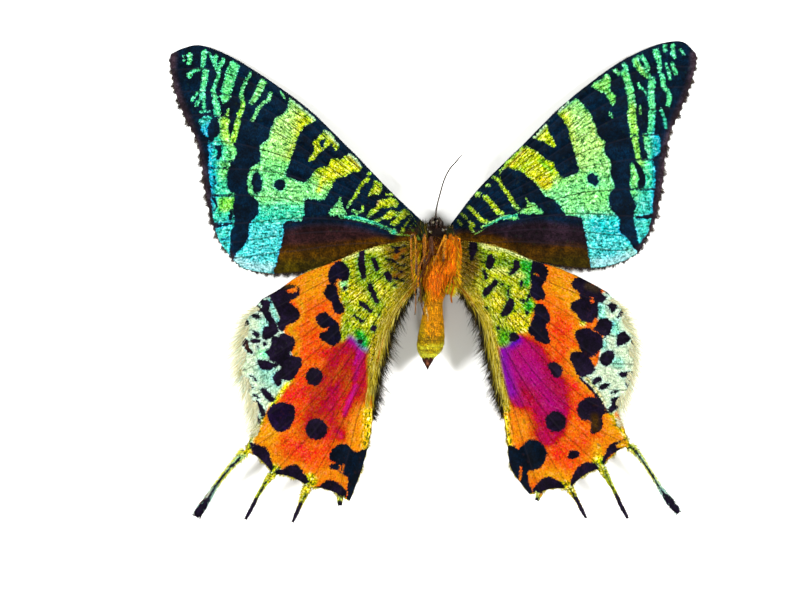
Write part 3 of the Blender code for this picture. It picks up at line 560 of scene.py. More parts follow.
LEFT_HINDWING = Pattern(
    ground=ORANGE,
    washes=(
        Wash(GOLD_ORANGE, 10, "296 278, 326 266, 334 300, 302 296", 0.8),
        Wash(FIRE, 12, "304 300, 322 300, 316 330, 318 356, 300 372, 296 340", 0.55),
        Wash(FIRE, 10, "286 386, 306 372, 312 400, 300 424, 286 400"),
        Wash(FIRE, 14, "292 430, 330 440, 326 462, 300 470, 282 452", 0.75),
        Wash(BRICK, 8, "318 352, 334 342, 352 336, 366 345, 369 360, 368 388, 360 410, 352 430, "
             "340 440, 318 440, 300 442, 300 420, 310 400, 306 388, 324 366"),
        Wash(ROSE, 7, "336 344, 352 338, 362 350, 356 372, 338 396, 318 420, 306 426, 312 396, "
             "322 372"),
        Wash(RASPBERRY, 6, "10: 364 352, 364 372, 358 392", 0.8),
        Wash(shown(176, 48, 84), 5, "7: 348 342, 340 366, 332 392, 322 412", 0.6),
        Wash(shown(186, 52, 84), 5, "8: 334 400, 332 420, 342 436", 0.8),
        Wash(MAGENTA, 5, "5: 349 340, 356 348, 362 354"),
        Wash(shown(176, 16, 140), 4, "5: 362 348, 358 362, 354 378", 0.9),
        Wash(shown(206, 84, 22), 3, "4: 345 356, 339 370, 333 384", 0.75),
        Wash(shown(198, 70, 24), 3, "4: 357 362, 350 382, 345 400", 0.75),
        Wash(shown(214, 78, 16), 3, "4: 330 376, 322 392, 316 404", 0.6),
        Wash(shown(192, 10, 170), 4, "2.6: 355.5 386, 350 400, 345 414", 0.75),
        Wash(shown(186, 24, 160), 2, "2: 359 350, 355 364", 0.8),
        Wash(shown(250, 148, 14), 6, "352 412, 368 408, 372 430, 373 452, 352 452, 348 430"),
        Wash(shown(252, 214, 40), 6, "12: 369 412, 370 430, 369 447"),
        Wash(shown(250, 160, 20), 8, "250 416, 268 416, 280 434, 270 448, 252 446"),
        Wash(shown(246, 150, 24), 8, "264 448, 300 462, 318 478, 300 484, 272 474", 0.7),
        Wash(shown(244, 146, 28), 6, "316 470, 344 472, 348 486, 330 482, 312 488", 0.7),
        Wash(GOLD_ORANGE, 4, "5: 297 297, 302 305, 301 320, 290 328, 299 342, 296 354"),
        Wash(GOLD_ORANGE, 4, "4: 338 340, 326 345, 322 328, 312 320", 0.5),
        Wash(OLIVE_LIME, 3, "342 256, 362 250, 412 240, 410 285, 392 312, 380 340, 366 352, "
             "352 337, 341 341, 341 318, 345 310, 339 292, 346 278"),
        Wash(MOSS, 6, "344 262, 360 258, 360 284, 348 282", 0.8),
        Wash(MOSS, 6, "364 258, 376 256, 384 278, 370 282", 0.7),
        Wash(MOSS, 5, "5: 362 280, 368 296, 380 306", 0.6),
        Wash(MOSS, 5, "6: 344 300, 352 316, 345 332", 0.6),
        Wash(YELLOW, 5, "6: 350 258, 352 280, 344 294", 0.6),
        Wash(YELLOW, 5, "7: 378 284, 386 296", 0.6),
        Wash(YELLOW, 5, "350 284, 364 290, 366 304, 352 304", 0.6),
        Wash(YELLOW, 5, "7: 352 318, 362 326, 372 318, 366 312", 0.5),
        Wash(shown(238, 240, 150), 3, "4: 366 250, 376 249, 382 250"),
        Wash(shown(238, 240, 150), 3, "3.5: 344 259, 352 256, 358 255"),
        Wash(shown(150, 225, 140), 3, "o 4.5 3.5: 343 284"),
        Wash(BASE_BROWN, 8, "384 246, 412 240, 410 284, 398 286, 388 270, 386 256", 0.85),
        Wash(shown(222, 110, 30), 3, "3: 406 250, 400 252, 396 257", 0.8),
        Wash(shown(176, 100, 30), 3, "4: 392 276, 398 276, 403 272", 0.8),
        Wash(VIVID_GREEN, 4, "354 331, 362 330, 369 340, 367 348, 360 346"),
        Wash(shown(90, 70, 190), 4, "3.5: 350 337, 354 340, 362 348, 368 350", 0.8),
        Wash(GOLD_FOLD, 3, "11: 404 283, 393 303, 383 322, 377 340, 373 358, 373 374, 374 390"),
        Wash(shown(120, 98, 14), 3, "8: 409 284, 401 296, 392 318, 386 336", 0.7),
        Wash(MINT, 1.6, "264 290, 270 298, 278 312, 284 332, 292 356, 290 380, 283 388, 277 397, "
             "270 405, 262 420, 256 434, 244 446, 222 400, 222 340, 240 306"),
        Wash(AQUA, 3, "5: 270 300, 274 312, 278 322"),
        Wash(AQUA, 4, "258 322, 268 318, 272 330, 262 336", 0.7),
        Wash(shown(150, 232, 176), 4, "258 350, 268 350, 268 358, 258 358"),
        Wash(AQUA, 7, "256 366, 276 368, 280 392, 262 384", 0.7),
        Wash(PALE_CREAM, 6, "8: 238 322, 236 350, 238 372, 244 396"),
        Wash(shown(246, 232, 70), 2.5, "4: 291 379, 284 388, 278 397, 271 405"),
        Wash(shown(206, 190, 40), 3, "4: 262 420, 257 430, 250 440", 0.8),
        Wash(TAIL_YELLOW, 5, "9: 248 444, 246 454, 236 460"),
        Wash(shown(206, 226, 150), 4, "7: 240 456, 228 470, 214 490"),
        Wash(shown(170, 214, 190), 4, "7: 214 490, 206 503"),
        Wash(TAIL_YELLOW, 3, "12: 275 470, 268 480, 260 490, 252 506"),
        Wash(shown(226, 208, 26), 3, "14: 310 480, 304 490, 300 500, 296 512"),
        Wash(shown(200, 214, 90), 4, "6: 340 490, 340 506"),
    ),
    ink=PLUM_BLACK,
    ink_washes=(
        Wash(shown(4, 18, 34), 6, "330 445, 352 440, 370 446, 366 480, 352 506, 344 500, 346 478, "
             "330 466"),
        Wash(shown(28, 16, 46), 5, "276 400, 290 402, 297 414, 288 432, 272 428, 268 412"),
        Wash(shown(80, 62, 24), 3, "6: 286 285, 297 283", 0.9),
        Wash(shown(70, 44, 36), 3, "o 4 5: 249 346"),
        Wash(shown(18, 16, 36), 4, "328 262, 352 262, 350 300, 345 344, 320 344, 326 300"),
        Wash(shown(34, 22, 10), 4, "8: 412 282, 404 300, 398 328, 390 345, 386 370, 380 400"),
    ),
    layers=(
        darks("""262 299, 280 287, 291 284, 298 287, 300 294, 295 298, 290 301, 293 305, 297 308,
        300 313, 299 318, 295 322, 288 325, 285 329, 281 331, 278 328, 277 323, 280 318, 278 313,
        275 307, 272 302, 269 297; 260 300, 270 301, 269 309, 272 315, 275 320, 277 325, 279 331,
        275 335, 271 338, 264 340, 262 332, 265 326, 269 325, 266 320, 262 313, 258 312, 255 308,
        256 304, 262 308; o 5 2.5 20: 256 316; o 3: 246 323; o 2: 243 327; o 4 3 40: 256 334;
        o 5 2.4: 255 341; o 2.6: 265 344; o 1.6: 258 347; 7 4: 244 341, 248 349, 251 352;
        o 1.6: 241 361; 283 333, 288 335, 293 337, 296 343, 293 349, 290 353, 294 356, 300 357,
        302 362, 300 369, 296 375, 291 381, 286 381, 282 380, 281 385, 277 386, 274 382, 272 378,
        276 372, 281 368, 279 365, 273 361, 270 361, 267 355, 264 352, 268 349, 271 345, 271 341,
        275 336, 279 336; 256 359, 262 360, 268 361, 272 363, 276 363, 280 364, 276 367, 270 370,
        262 369, 258 365; 261 388, 267 389, 270 393, 274 398, 276 399, 273 402, 270 402, 265 397,
        262 393; 242 377, 247 379, 250 384, 254 388, 247 388, 244 383; 3: 251 376, 256 380;
        o 1.5: 248 390; 3: 254 395, 259 398; 252 401, 258 400, 261 404, 264 409, 266 414, 262 416,
        258 409, 254 404; 4: 253 408, 256 415, 259 422; o 1.2: 246 409; 273 404, 281 402, 291 404,
        295 409, 295 417, 292 424, 287 430, 280 432, 274 429, 269 422, 267 415, 269 409;
        o 8.6 9.2: 314.5 376.5; o 11.2 10.8: 316.5 429; 331 266, 338 261, 344 263, 349 268, 350 275,
        349 280, 343 281, 338 279, 336 283, 333 284, 329 282, 328 276, 329 270; o 2.4: 345 288.5;
        327 285, 333 284, 337 287, 338 293, 340 300, 344 307, 344 312, 340 314, 335 312, 332 305,
        330 301, 326 298, 324 293; 316 317, 320 313, 326 312, 330 316, 333 319, 336 322, 330 327,
        325 328, 320 326, 317 322; 331 323, 336 321, 340 326, 340 333, 341 338, 338 343, 333 346,
        328 344, 323 341, 319 337, 321 333, 326 331, 329 327; 361 247, 365 248, 365 260, 366 270,
        366 278, 362 279, 359 270, 358 262; 372 258, 376 259, 379 266, 380 270, 376 271, 373 264;
        385 273, 389 272, 392 278, 391 283, 387 280, 384 276; 367 284, 371 283, 374 288, 377 295,
        379 302, 376 304, 372 298, 369 291; 358 303, 361 301, 366 304, 370 308, 374 311, 371 313,
        366 310, 361 307; 3.4: 355 316, 362 321; o 3: 374 328.5; o 2.8: 360 341.5; o 1.3: 379 314.5;
        o 2.8 2.2: 396.5 251.5; o 1.8: 403 256.5; 1.8: 386 259, 393 261, 399 265, 404 266;
        1.6: 404 246, 399 248, 392 247; o 2 1.4: 400 272; o 2.6 2: 396 278.5; o 1.6: 402 281;
        o 1.5: 392 268.5; o 1.8: 395 286; 329.5 455, 332 449.5, 338 445, 343 443.5, 349 445,
        352 449, 357 451.5, 368 448, 367.5 456, 366 463, 363 470, 360 481, 356 494, 351 503,
        346 500.5, 347.5 493, 347 488, 348 479, 341.5 473.5, 338 470.5, 331 468.5, 329 465,
        335.5 463, 330 460; 246 440, 254 443, 262 446, 267 449, 270 456, 272 463, 273 469, 270 474,
        267 470, 263 464, 258 460, 252 458, 252 451, 249 445; 276 471, 282 469, 288 466, 296 465,
        301 469, 305 475, 309 481, 304 485, 298 482, 291 480, 284 477, 277 476; 313 489, 320 485,
        326 481, 332 480, 338 483, 343 487, 347 492, 345 500, 340 497, 333 496, 326 493, 318 492;
        2.6 2: 240 458, 228 470, 214 488, 207 502; 11: 206 504, 194 518; 1.6: 266 482, 258 496;
        9: 254 502, 245 521; 9: 299 507, 292 523; 1.2: 306 494, 300 506; o 2.4 1.8: 239 448.5;
        o 2 1.6: 234 454.5; o 2.6: 340 503.5; 1.8: 246 457, 240 458"""),
        lights("""286 291, 291 289, 296 287, 297 291, 290 293; 1.3: 343.6 464.5, 342.8 471.5;
        1.3: 340.6 466, 340.2 471"""),
    ),
)

RIGHT_HINDWING = Pattern(
    ground=ORANGE,
    washes=(
        Wash(GOLD_ORANGE, 10, "546 266, 576 274, 576 300, 546 296", 0.8),
        Wash(FIRE, 12, "552 312, 572 330, 570 356, 560 360, 548 344", 0.6),
        Wash(FIRE, 9, "566 378, 580 384, 590 402, 578 424, 570 400"),
        Wash(FIRE, 10, "556 438, 584 432, 588 450, 566 452, 560 470, 548 462", 0.8),
        Wash(RASPBERRY, 6, "520 337, 540 343, 553 362, 566 380, 570 402, 566 430, 552 446, "
             "534 438, 526 414, 512 404, 505 380, 500 362, 501 350, 508 342"),
        Wash(MAGENTA, 8, "508 344, 524 339, 536 352, 544 376, 556 400, 556 412, 540 400, 528 384, "
             "516 378, 504 366", 0.9),
        Wash(MAGENTA, 5, "9: 512 376, 514 394, 518 402", 0.8),
        Wash(VIOLET, 6, "11: 504 350, 503 362, 507 380, 511 392"),
        Wash(shown(84, 40, 200), 5, "6: 512 344, 518 340"),
        Wash(shown(190, 50, 84), 5, "8: 530 404, 540 426, 546 440"),
        Wash(shown(214, 84, 22), 6, "524 410, 534 414, 534 436, 526 436"),
        Wash(shown(250, 140, 14), 5, "503 410, 514 408, 526 416, 528 436, 520 446, 510 444, "
             "504 434"),
        Wash(shown(252, 226, 50), 4, "6: 505 418, 507 434, 509 444"),
        Wash(shown(248, 158, 22), 7, "604 414, 614 414, 628 438, 614 444, 604 440"),
        Wash(shown(248, 170, 30), 6, "596 440, 606 452, 602 466, 592 460"),
        Wash(shown(250, 156, 24), 7, "532 470, 560 470, 574 480, 560 482, 536 480"),
        Wash(GOLD_ORANGE, 4, "5: 572 292, 578 300, 570 306, 580 320, 576 332, 582 348, 572 352"),
        Wash(GOLD_ORANGE, 4, "5: 578 352, 568 356, 576 374, 590 392", 0.7),
        Wash(OLIVE_LIME, 3, "462 240, 486 243, 534 260, 530 282, 532 298, 536 306, 530 318, "
             "528 330, 516 334, 508 343, 498 345, 486 322, 474 300, 462 284"),
        Wash(MOSS, 5, "494 258, 514 260, 512 268, 496 268", 0.8),
        Wash(MOSS, 5, "474 246, 488 250, 484 266, 474 264", 0.7),
        Wash(shown(64, 170, 60), 4, "520 258, 533 260, 530 286, 522 284"),
        Wash(MOSS, 5, "500 282, 510 284, 510 298, 502 296", 0.6),
        Wash(VIVID_GREEN, 4, "520 300, 530 299, 534 305, 530 312, 522 308"),
        Wash(YELLOW, 5, "490 292, 504 298, 502 312, 492 308", 0.8),
        Wash(YELLOW, 5, "510 314, 528 316, 528 330, 520 332, 508 322", 0.8),
        Wash(YELLOW, 5, "512 288, 528 292, 522 306, 514 300", 0.5),
        Wash(shown(236, 238, 140), 4, "5: 494 270, 508 272, 522 276", 0.7),
        Wash(shown(238, 242, 160), 2.5, "3.6: 481 244, 489 248, 500 249, 510 252, 520 256, "
             "533 260"),
        Wash(BASE_BROWN, 7, "462 240, 476 243, 480 268, 472 284, 460 282", 0.85),
        Wash(VIVID_GREEN, 5, "500 330, 510 332, 508 344, 498 344", 0.8),
        Wash(GOLD_FOLD, 3, "11: 466 280, 478 301, 485 318, 489 335, 493 352, 496 368, 500 388, "
             "505 408"),
        Wash(MINT, 1.6, "598 296, 612 294, 636 330, 640 370, 624 402, 611 414, 602 402, 588 384, "
             "580 377, 596 366, 600 350, 604 332, 600 318, 597 304"),
        Wash(AQUA, 3, "597 304, 604 304, 606 318, 598 320"),
        Wash(AQUA, 4, "610 322, 618 320, 620 334, 612 336"),
        Wash(AQUA, 4, "612 358, 622 358, 624 368, 612 366", 0.9),
        Wash(AQUA, 4, "602 340, 608 342, 606 350, 602 350", 0.9),
        Wash(PALE_CREAM, 6, "8: 632 322, 638 345, 638 368, 630 390"),
        Wash(shown(216, 214, 90), 2, "o 3: 583 323"),
        Wash(shown(230, 190, 60), 2, "3: 586 378, 596 390, 604 403", 0.7),
        Wash(shown(214, 198, 50), 3, "4: 612 414, 620 428, 628 440"),
        Wash(TAIL_YELLOW, 4, "9: 630 446, 638 452"),
        Wash(shown(206, 232, 170), 4, "8: 640 456, 652 474, 662 490"),
        Wash(shown(176, 222, 200), 4, "8: 662 490, 670 500"),
        Wash(TAIL_YELLOW, 3, "12: 599 462, 607 476, 614 490, 622 506"),
        Wash(shown(240, 206, 40), 3, "12: 564 486, 573 492, 582 508"),
        Wash(shown(226, 226, 110), 3, "6: 538 490, 537 500"),
        Wash(shown(246, 170, 30), 2, "616 442, 626 441, 627 447, 618 448"),
    ),
    ink=PLUM_BLACK,
    ink_washes=(
        Wash(shown(4, 18, 34), 5, "508 442, 532 438, 548 450, 542 470, 528 474, 532 498, 516 488, "
             "508 460"),
        Wash(shown(66, 44, 16), 3, "591 415, 598 415, 599 430, 592 430"),
        Wash(shown(96, 70, 14), 3, "540 336, 551 336, 551 345, 542 345"),
        Wash(shown(18, 16, 36), 4, "528 258, 548 262, 548 300, 552 344, 526 340, 528 300"),
        Wash(shown(84, 70, 52), 3, "6: 588 286, 596 289", 0.8),
        Wash(shown(34, 22, 10), 4, "8: 458 282, 470 304, 482 340, 490 370, 496 400"),
    ),
    layers=(
        darks("""533 257, 541 261, 546 267, 547.5 273, 546 279, 543 284, 541.5 287, 544 291,
        545.5 295, 543 299.5, 537 300, 531 297, 529 291, 531 286, 530 281, 530 274, 531 266;
        534 310, 535 305, 540 303, 545 306, 548 311, 550 317, 549 322, 546 325, 548 331, 549 337,
        550 342, 544 344, 536 340, 532 336, 528 331, 529 326, 532 320, 534 315; o 2.4: 527 312.5;
        3: 529 294, 526 301, 521 300; 487 256, 491 254, 494 258, 494 264, 491 268, 488 270, 485 266,
        486 260; 4: 484 271, 486 278; 514 260, 519 261, 520 267, 517 271, 513 275, 508 276, 510 271,
        513 266; 494 279, 498 281, 496 285, 492 290, 488 294, 484 297, 482 293, 485 288, 490 284;
        509 298, 513 299, 514 305, 512 311, 508 315, 502 317, 500 313, 504 308, 506 302;
        2.4: 508 287, 508 296; o 2.4 3.2: 521 284; o 1.6: 502 284; o 1.8 1.4: 486 308; 470 241,
        477 243, 477 250, 474 257, 470 262, 469 252; 510 333, 516 333, 519 337, 516 341, 511 342,
        509 338; o 2: 498 328; o 10.6 10.4: 555.5 421.5; 578 404, 582 400, 588 397, 595 397,
        600 400, 603 405, 604 411, 608 412, 603 415, 602 419, 603 424, 601 430, 597 433, 592 434,
        590 430, 591 424, 588 420, 582 420, 578 415, 577 409; 547 366, 551 362, 556 362, 560 366,
        563 371, 560 376, 557 378, 552 375, 550 371; 566 457, 568 455, 570 451, 575 450, 580 452,
        579 456, 574 459, 569 459; 572 281, 580 276, 588 279, 591 284, 588 288, 584 291, 580 293,
        576 290, 572 287; 3.4: 574 273, 587 280, 600 287, 613 295; 588 284, 597 285, 603 290,
        608 296, 606 300, 602 303, 598 303, 595 300, 590 297, 580 298, 582 290; 574 301, 584 297,
        591 297, 598 301, 598 308, 598 316, 595 319, 591 323, 585 322, 580 320, 576 314, 570 309,
        571 304; 598 321, 604 318, 610 320, 613 324, 612 330, 609 334, 605 337, 601 335, 597 332,
        593 329, 596 325; 574 335, 580 329, 588 328, 594 331, 599 334, 602 338, 603 344, 601 349,
        597 353, 592 357, 586 356, 580 350, 578 344; 571 353, 578 351, 584 353, 590 358, 593 363,
        595 370, 591 374, 585 376, 580 377, 576 373, 573 366, 570 359; 602 353, 608 350, 613 351,
        614 357, 611 363, 606 366, 601 364, 599 359; 606 306, 611 302, 615 302, 617 307, 614 312,
        610 312, 610 309, 607 307; 622 309, 625 311, 622 316, 619 320, 617 317; 618 333, 624 331,
        627 334, 630 339, 627 343, 622 345, 617 347, 616 342, 617 337; 618 373, 624 372, 630 371,
        635 373, 632 378, 630 384, 627 388, 625 383, 627 378, 621 377; 594 378, 599 376, 603 379,
        600 382, 595 384, 592 384; 598 388, 603 384, 608 383, 610 384, 607 388, 602 390; 611 399,
        617 397, 622 397, 624 401, 620 406, 615 410, 611 413, 608 410, 611 405; o 2 2.6: 633 341.5;
        o 1.8: 626 317; 2.4: 611 393, 617 391; o 1.2: 635 353; 2.6: 580 378, 590 388, 598 398,
        605 409; 627 438, 620 441, 613 443, 608 447, 606 452, 603 457, 601 461, 604 465, 607 460,
        610 456, 615 453, 620 452, 625 451, 631 448, 625 447, 619 448, 616 446, 619 443, 625 441;
        597 465, 591 462, 584 463, 578 467, 574 473, 571 480, 570 485, 573 488, 577 484, 581 479,
        587 476, 593 474, 599 471; 562 483, 557 480, 550 477, 543 478, 538 482, 535 487, 531 491,
        537 492, 543 493, 550 492, 557 490, 563 491, 569 492, 565 487; 507 446, 514 446, 518 449,
        521 446, 526 441, 531 439, 538 441, 544 446, 547 453, 545 461, 541 467, 534 470, 528 471,
        528 478, 530 486, 533 492, 534 500, 527 496, 520 491, 514 482, 508 466, 506 456;
        2.2: 632 446, 646 466, 660 488, 668 500; 11: 668 500, 681 515; 9: 616 498, 629 520;
        1.4: 604 468, 614 492; 9: 577 501, 587 520; 1.2: 571 490, 576 500; o 2 1.6: 635 446;
        o 1.6 2.4: 640 451; o 2.6: 536.5 500.5"""),
        lights("""2.4: 602 291, 606 295; o 1.9: 592 301; 1.1: 534 274, 538 275; 1.8: 521 467,
        520 480; o 1.6: 540 494.5"""),
    ),
)


class Nodes:
    """A material's node tree, built socket by socket."""

    def __init__(self, name: str) -> None:
        """Start a material with its plain shader."""
        self.material = bpy.data.materials.new(name)
        self.material.use_nodes = True
        self.tree = self.material.node_tree
        self.shader = self.tree.nodes["Principled BSDF"]
        self.place = self.tree.nodes.new("ShaderNodeTexCoord").outputs["Object"]

    def join(self, value: object, target: bpy.types.NodeSocket) -> None:
        """Link a socket to an input, or set the input to a plain value."""
        if isinstance(value, bpy.types.NodeSocket):
            self.tree.links.new(value, target)
        elif isinstance(value, tuple) and target.type == "RGBA":
            target.default_value = (*value[:3], 1.0)
        else:
            target.default_value = value

    def surface(self, **values: object) -> None:
        """Set the shader's inputs by their names, with _ for a space."""
        for name, value in values.items():
            self.join(value, self.shader.inputs[name.replace("_", " ")])

    def attribute(self, name: str, output: str = "Fac") -> bpy.types.NodeSocket:
        """Return a mesh attribute's value."""
        node = self.tree.nodes.new("ShaderNodeAttribute")
        node.attribute_name = name
        return node.outputs[output]

    def math(self, operation: str, first: object, second: object = 0.0) -> bpy.types.NodeSocket:
        """Return the result of a sum, product or other operation."""
        node = self.tree.nodes.new("ShaderNodeMath")
        node.operation = operation
        self.join(first, node.inputs[0])
        self.join(second, node.inputs[1])
        return node.outputs[0]

    def plus(self, first: object, second: object) -> bpy.types.NodeSocket:
        """Return a sum."""
        return self.math("ADD", first, second)

    def times(self, first: object, second: object) -> bpy.types.NodeSocket:
        """Return a product."""
        return self.math("MULTIPLY", first, second)

    def swing(self, value: object, amount: float) -> bpy.types.NodeSocket:
        """Return a chance value from 0 to 1 less its middle, times an amount."""
        return self.times(self.math("SUBTRACT", value, 0.5), amount)

    def mix(self, share: object, first: object, second: object,
            blend: str = "MIX") -> bpy.types.NodeSocket:
        """Return a mixture of two colours."""
        node = self.tree.nodes.new("ShaderNodeMix")
        node.data_type = "RGBA"
        node.blend_type = blend
        self.join(share, node.inputs[0])
        self.join(first, node.inputs[6])
        self.join(second, node.inputs[7])
        return node.outputs[2]

    def dyed(self, share: object, colour: object,
             dye: tuple[float, float, float]) -> bpy.types.NodeSocket:
        """Return a colour of which a share is multiplied by a dye."""
        return self.mix(share, colour, self.mix(1.0, colour, dye, "MULTIPLY"))

    def span(self, value: object, low: float, high: float, start: float = 0.0,
             end: float = 1.0) -> bpy.types.NodeSocket:
        """Return a value moved softly from the range low to high to start to end."""
        node = self.tree.nodes.new("ShaderNodeMapRange")
        node.interpolation_type = "SMOOTHSTEP"
        for index, item in enumerate((value, low, high, start, end)):
            self.join(item, node.inputs[index])
        return node.outputs[0]

    def noise(self, size: float, detail: float = 2.0,
              place: Optional[bpy.types.NodeSocket] = None) -> bpy.types.NodeSocket:
        """Return a soft noise whose blots are about size across, from 0 to 1."""
        node = self.tree.nodes.new("ShaderNodeTexNoise")
        node.inputs["Scale"].default_value = 1.0 / size
        node.inputs["Detail"].default_value = detail
        self.join(place or self.place, node.inputs["Vector"])
        return node.outputs["Fac"]

    def cells(self, size: float, place: Optional[bpy.types.NodeSocket] = None
              ) -> tuple[bpy.types.NodeSocket, list[bpy.types.NodeSocket]]:
        """Return the distance to cell middles and three chance values of each cell."""
        node = self.tree.nodes.new("ShaderNodeTexVoronoi")
        node.inputs["Scale"].default_value = 1.0 / size
        self.join(place or self.place, node.inputs["Vector"])
        parts = self.tree.nodes.new("ShaderNodeSeparateColor")
        self.join(node.outputs["Color"], parts.inputs[0])
        return node.outputs["Distance"], list(parts.outputs)

    def stretched(self, layer: str, scale: tuple[float, float, float]) -> bpy.types.NodeSocket:
        """Return the coordinates of a UV layer, scaled along each axis."""
        source = self.tree.nodes.new("ShaderNodeUVMap")
        source.uv_map = layer
        node = self.tree.nodes.new("ShaderNodeMapping")
        node.inputs["Scale"].default_value = scale
        self.join(source.outputs[0], node.inputs["Vector"])
        return node.outputs[0]

    def shift_hue(self, colour: object, hue: object, strength: object,
                  value: object) -> bpy.types.NodeSocket:
        """Return a colour with its hue, saturation and value changed."""
        node = self.tree.nodes.new("ShaderNodeHueSaturation")
        for name, item in (("Hue", hue), ("Saturation", strength), ("Value", value),
                           ("Color", colour)):
            self.join(item, node.inputs[name])
        return node.outputs[0]

    def bump(self, height: object, distance: float, strength: float) -> None:
        """Raise the surface by a height from 0 to 1 times a distance."""
        node = self.tree.nodes.new("ShaderNodeBump")
        node.inputs["Distance"].default_value = distance
        node.inputs["Strength"].default_value = strength
        self.join(height, node.inputs["Height"])
        self.join(node.outputs[0], self.shader.inputs["Normal"])


# Dyes of the light scales: in flecks, beside the dark, in red specks and on veins; the last one
# darkens the creases between the veins as painted shade
FLECK_DYE = (0.07, 0.22, 0.17)
RIM_DYE = (0.35, 0.85, 1.60)
SPECK_DYE = (0.42, 0.10, 0.30)
VEIN_DYE = (0.14, 0.11, 0.08)
CREASE_SHADE = (0.12, 0.20, 0.16)
# The veins within the dark scales
DARK_VEIN = (0.012, 0.010, 0.016)


@dataclass(frozen=True)
class ScaleFinish:
    """The scales of a wing: light and dark ones, parted where the mark layer changes sign.

    Attributes:
        name: Name of the material.
        scale_size: Width of one scale.
        ragged: How far, in mm, chance moves the edge of a mark at each scale.
        mottle: How strongly the light scales differ in brightness.
        hue_play: How far the light scales differ in hue.
    """

    name: str
    scale_size: float = 0.17 * MM
    ragged: float = 0.26
    mottle: float = 1.0
    hue_play: float = 0.035

    def make(self) -> bpy.types.Material:
        """Return the material."""
        nodes = Nodes(self.name)
        domes, (first, second, third) = nodes.cells(self.scale_size)
        _, (_, coarse, clump) = nodes.cells(1.9 * self.scale_size)
        cloud = nodes.noise(0.9 * MM, 3.0)
        drift = nodes.noise(3.2 * MM, 3.0)
        dash = nodes.noise(1.0, 2.0, nodes.stretched("Flow", (270.0, 850.0, 1.0)))
        streak = nodes.noise(1.0, 2.0, nodes.stretched("Flow", (420.0, 160.0, 1.0)))
        edge = nodes.plus(nodes.attribute("mark"), nodes.plus(
            nodes.swing(first, self.ragged), nodes.swing(cloud, 1.6 * self.ragged)))
        dark_share = nodes.span(edge, -0.05, 0.05, 1.0, 0.0)
        vein = nodes.plus(nodes.attribute("vein"), nodes.swing(second, 0.10))
        vein_share = nodes.span(vein, 0.06, 0.20, 1.0, 0.0)

        grain = nodes.attribute("grain")
        calm = nodes.times(nodes.span(streak, 0.3, 0.7, 0.88, 1.10),
                           nodes.span(second, 0.0, 1.0, 0.90, 1.10))
        value = nodes.plus(1.0 - 0.35 * self.mottle, nodes.times(second, self.mottle))
        value = nodes.times(value, nodes.span(clump, 0.1, 0.9, 0.80, 1.22))
        value = nodes.times(value, nodes.span(streak, 0.3, 0.7, 0.88, 1.12))
        value = nodes.times(value, nodes.span(cloud, 0.3, 0.7, 0.84, 1.14))
        value = nodes.plus(calm, nodes.times(grain, nodes.math("SUBTRACT", value, calm)))
        hue = nodes.plus(0.5 - 0.5 * self.hue_play, nodes.times(third, self.hue_play))
        hue = nodes.plus(hue, nodes.span(drift, 0.3, 0.7, -0.3 * self.hue_play,
                                         0.3 * self.hue_play))
        light = nodes.shift_hue(nodes.attribute("light", "Color"), hue, 1.12, value)
        rough_dash = nodes.plus(dash, nodes.swing(second, 0.20))
        # Paler, lighter scales in the dashes: painted sparkle that stands in for the glints of the
        # iridescent scales.
        sparkle_highlight = nodes.times(nodes.span(rough_dash, 0.56, 0.70, 0.0, 0.65), grain)
        light = nodes.mix(sparkle_highlight, light, nodes.shift_hue(light, 0.5, 0.62, 1.55))
        fleck = nodes.times(nodes.span(rough_dash, 0.36, 0.49, 0.95, 0.0), grain)
        light = nodes.dyed(fleck, light, FLECK_DYE)
        rim = nodes.times(nodes.span(edge, 0.0, 0.40, 0.6, 0.0), grain)
        light = nodes.dyed(rim, light, RIM_DYE)
        rare = nodes.times(third, nodes.span(cloud, 0.35, 0.65, 0.84, 1.10))
        speck = nodes.times(nodes.span(rare, 0.84, 0.92),
                            nodes.math("SUBTRACT", 0.85, nodes.times(grain, 0.85)))
        light = nodes.dyed(speck, light, SPECK_DYE)
        line = nodes.times(vein_share, nodes.plus(0.42, nodes.times(grain, 0.33)))
        light = nodes.dyed(line, light, VEIN_DYE)
        # Painted shade in the creases midway between two veins, where the sheet dips between its
        # pleats.
        crease = nodes.plus(nodes.attribute("crease"), nodes.swing(cloud, 0.9))
        light = nodes.dyed(nodes.span(crease, 0.02, 0.10, 0.55, 0.0), light, CREASE_SHADE)

        depth = nodes.times(nodes.span(drift, 0.38, 0.62, 0.6, 1.3),
                            nodes.span(cloud, 0.35, 0.65, 0.65, 1.3))
        depth = nodes.times(depth, nodes.plus(0.35, second))
        dark = nodes.shift_hue(nodes.attribute("dark", "Color"), 0.5, 1.15, depth)
        dark = nodes.mix(nodes.times(vein_share, 0.25), dark, DARK_VEIN)
        glint = nodes.span(coarse, 0.96, 0.98, 0.0, 0.012)
        dark = nodes.mix(glint, dark, nodes.attribute("light", "Color"))
        nodes.surface(Base_Color=nodes.mix(dark_share, light, dark), Roughness=0.6,
                      Specular_IOR_Level=0.03)
        nodes.bump(nodes.math("SUBTRACT", nodes.times(streak, 0.6), domes), 0.03 * MM, 0.6)
        return nodes.material


@dataclass(frozen=True)
class HairFinish:
    """Hair, fur or long scales, coloured by the tint layer of each lock."""

    name: str
    gain: float = 1.8
    roughness: float = 0.55

    def make(self) -> bpy.types.Material:
        """Return the material."""
        nodes = Nodes(self.name)
        speck = nodes.noise(0.12 * MM, 2.0)
        tint = nodes.shift_hue(nodes.attribute("tint", "Color"), 0.5, 1.05,
                               nodes.span(speck, 0.25, 0.75, 0.72 * self.gain, 1.25 * self.gain))
        nodes.surface(Base_Color=tint, Roughness=self.roughness, Specular_IOR_Level=0.08)
        nodes.bump(speck, 0.01 * MM, 0.4)
        return nodes.material


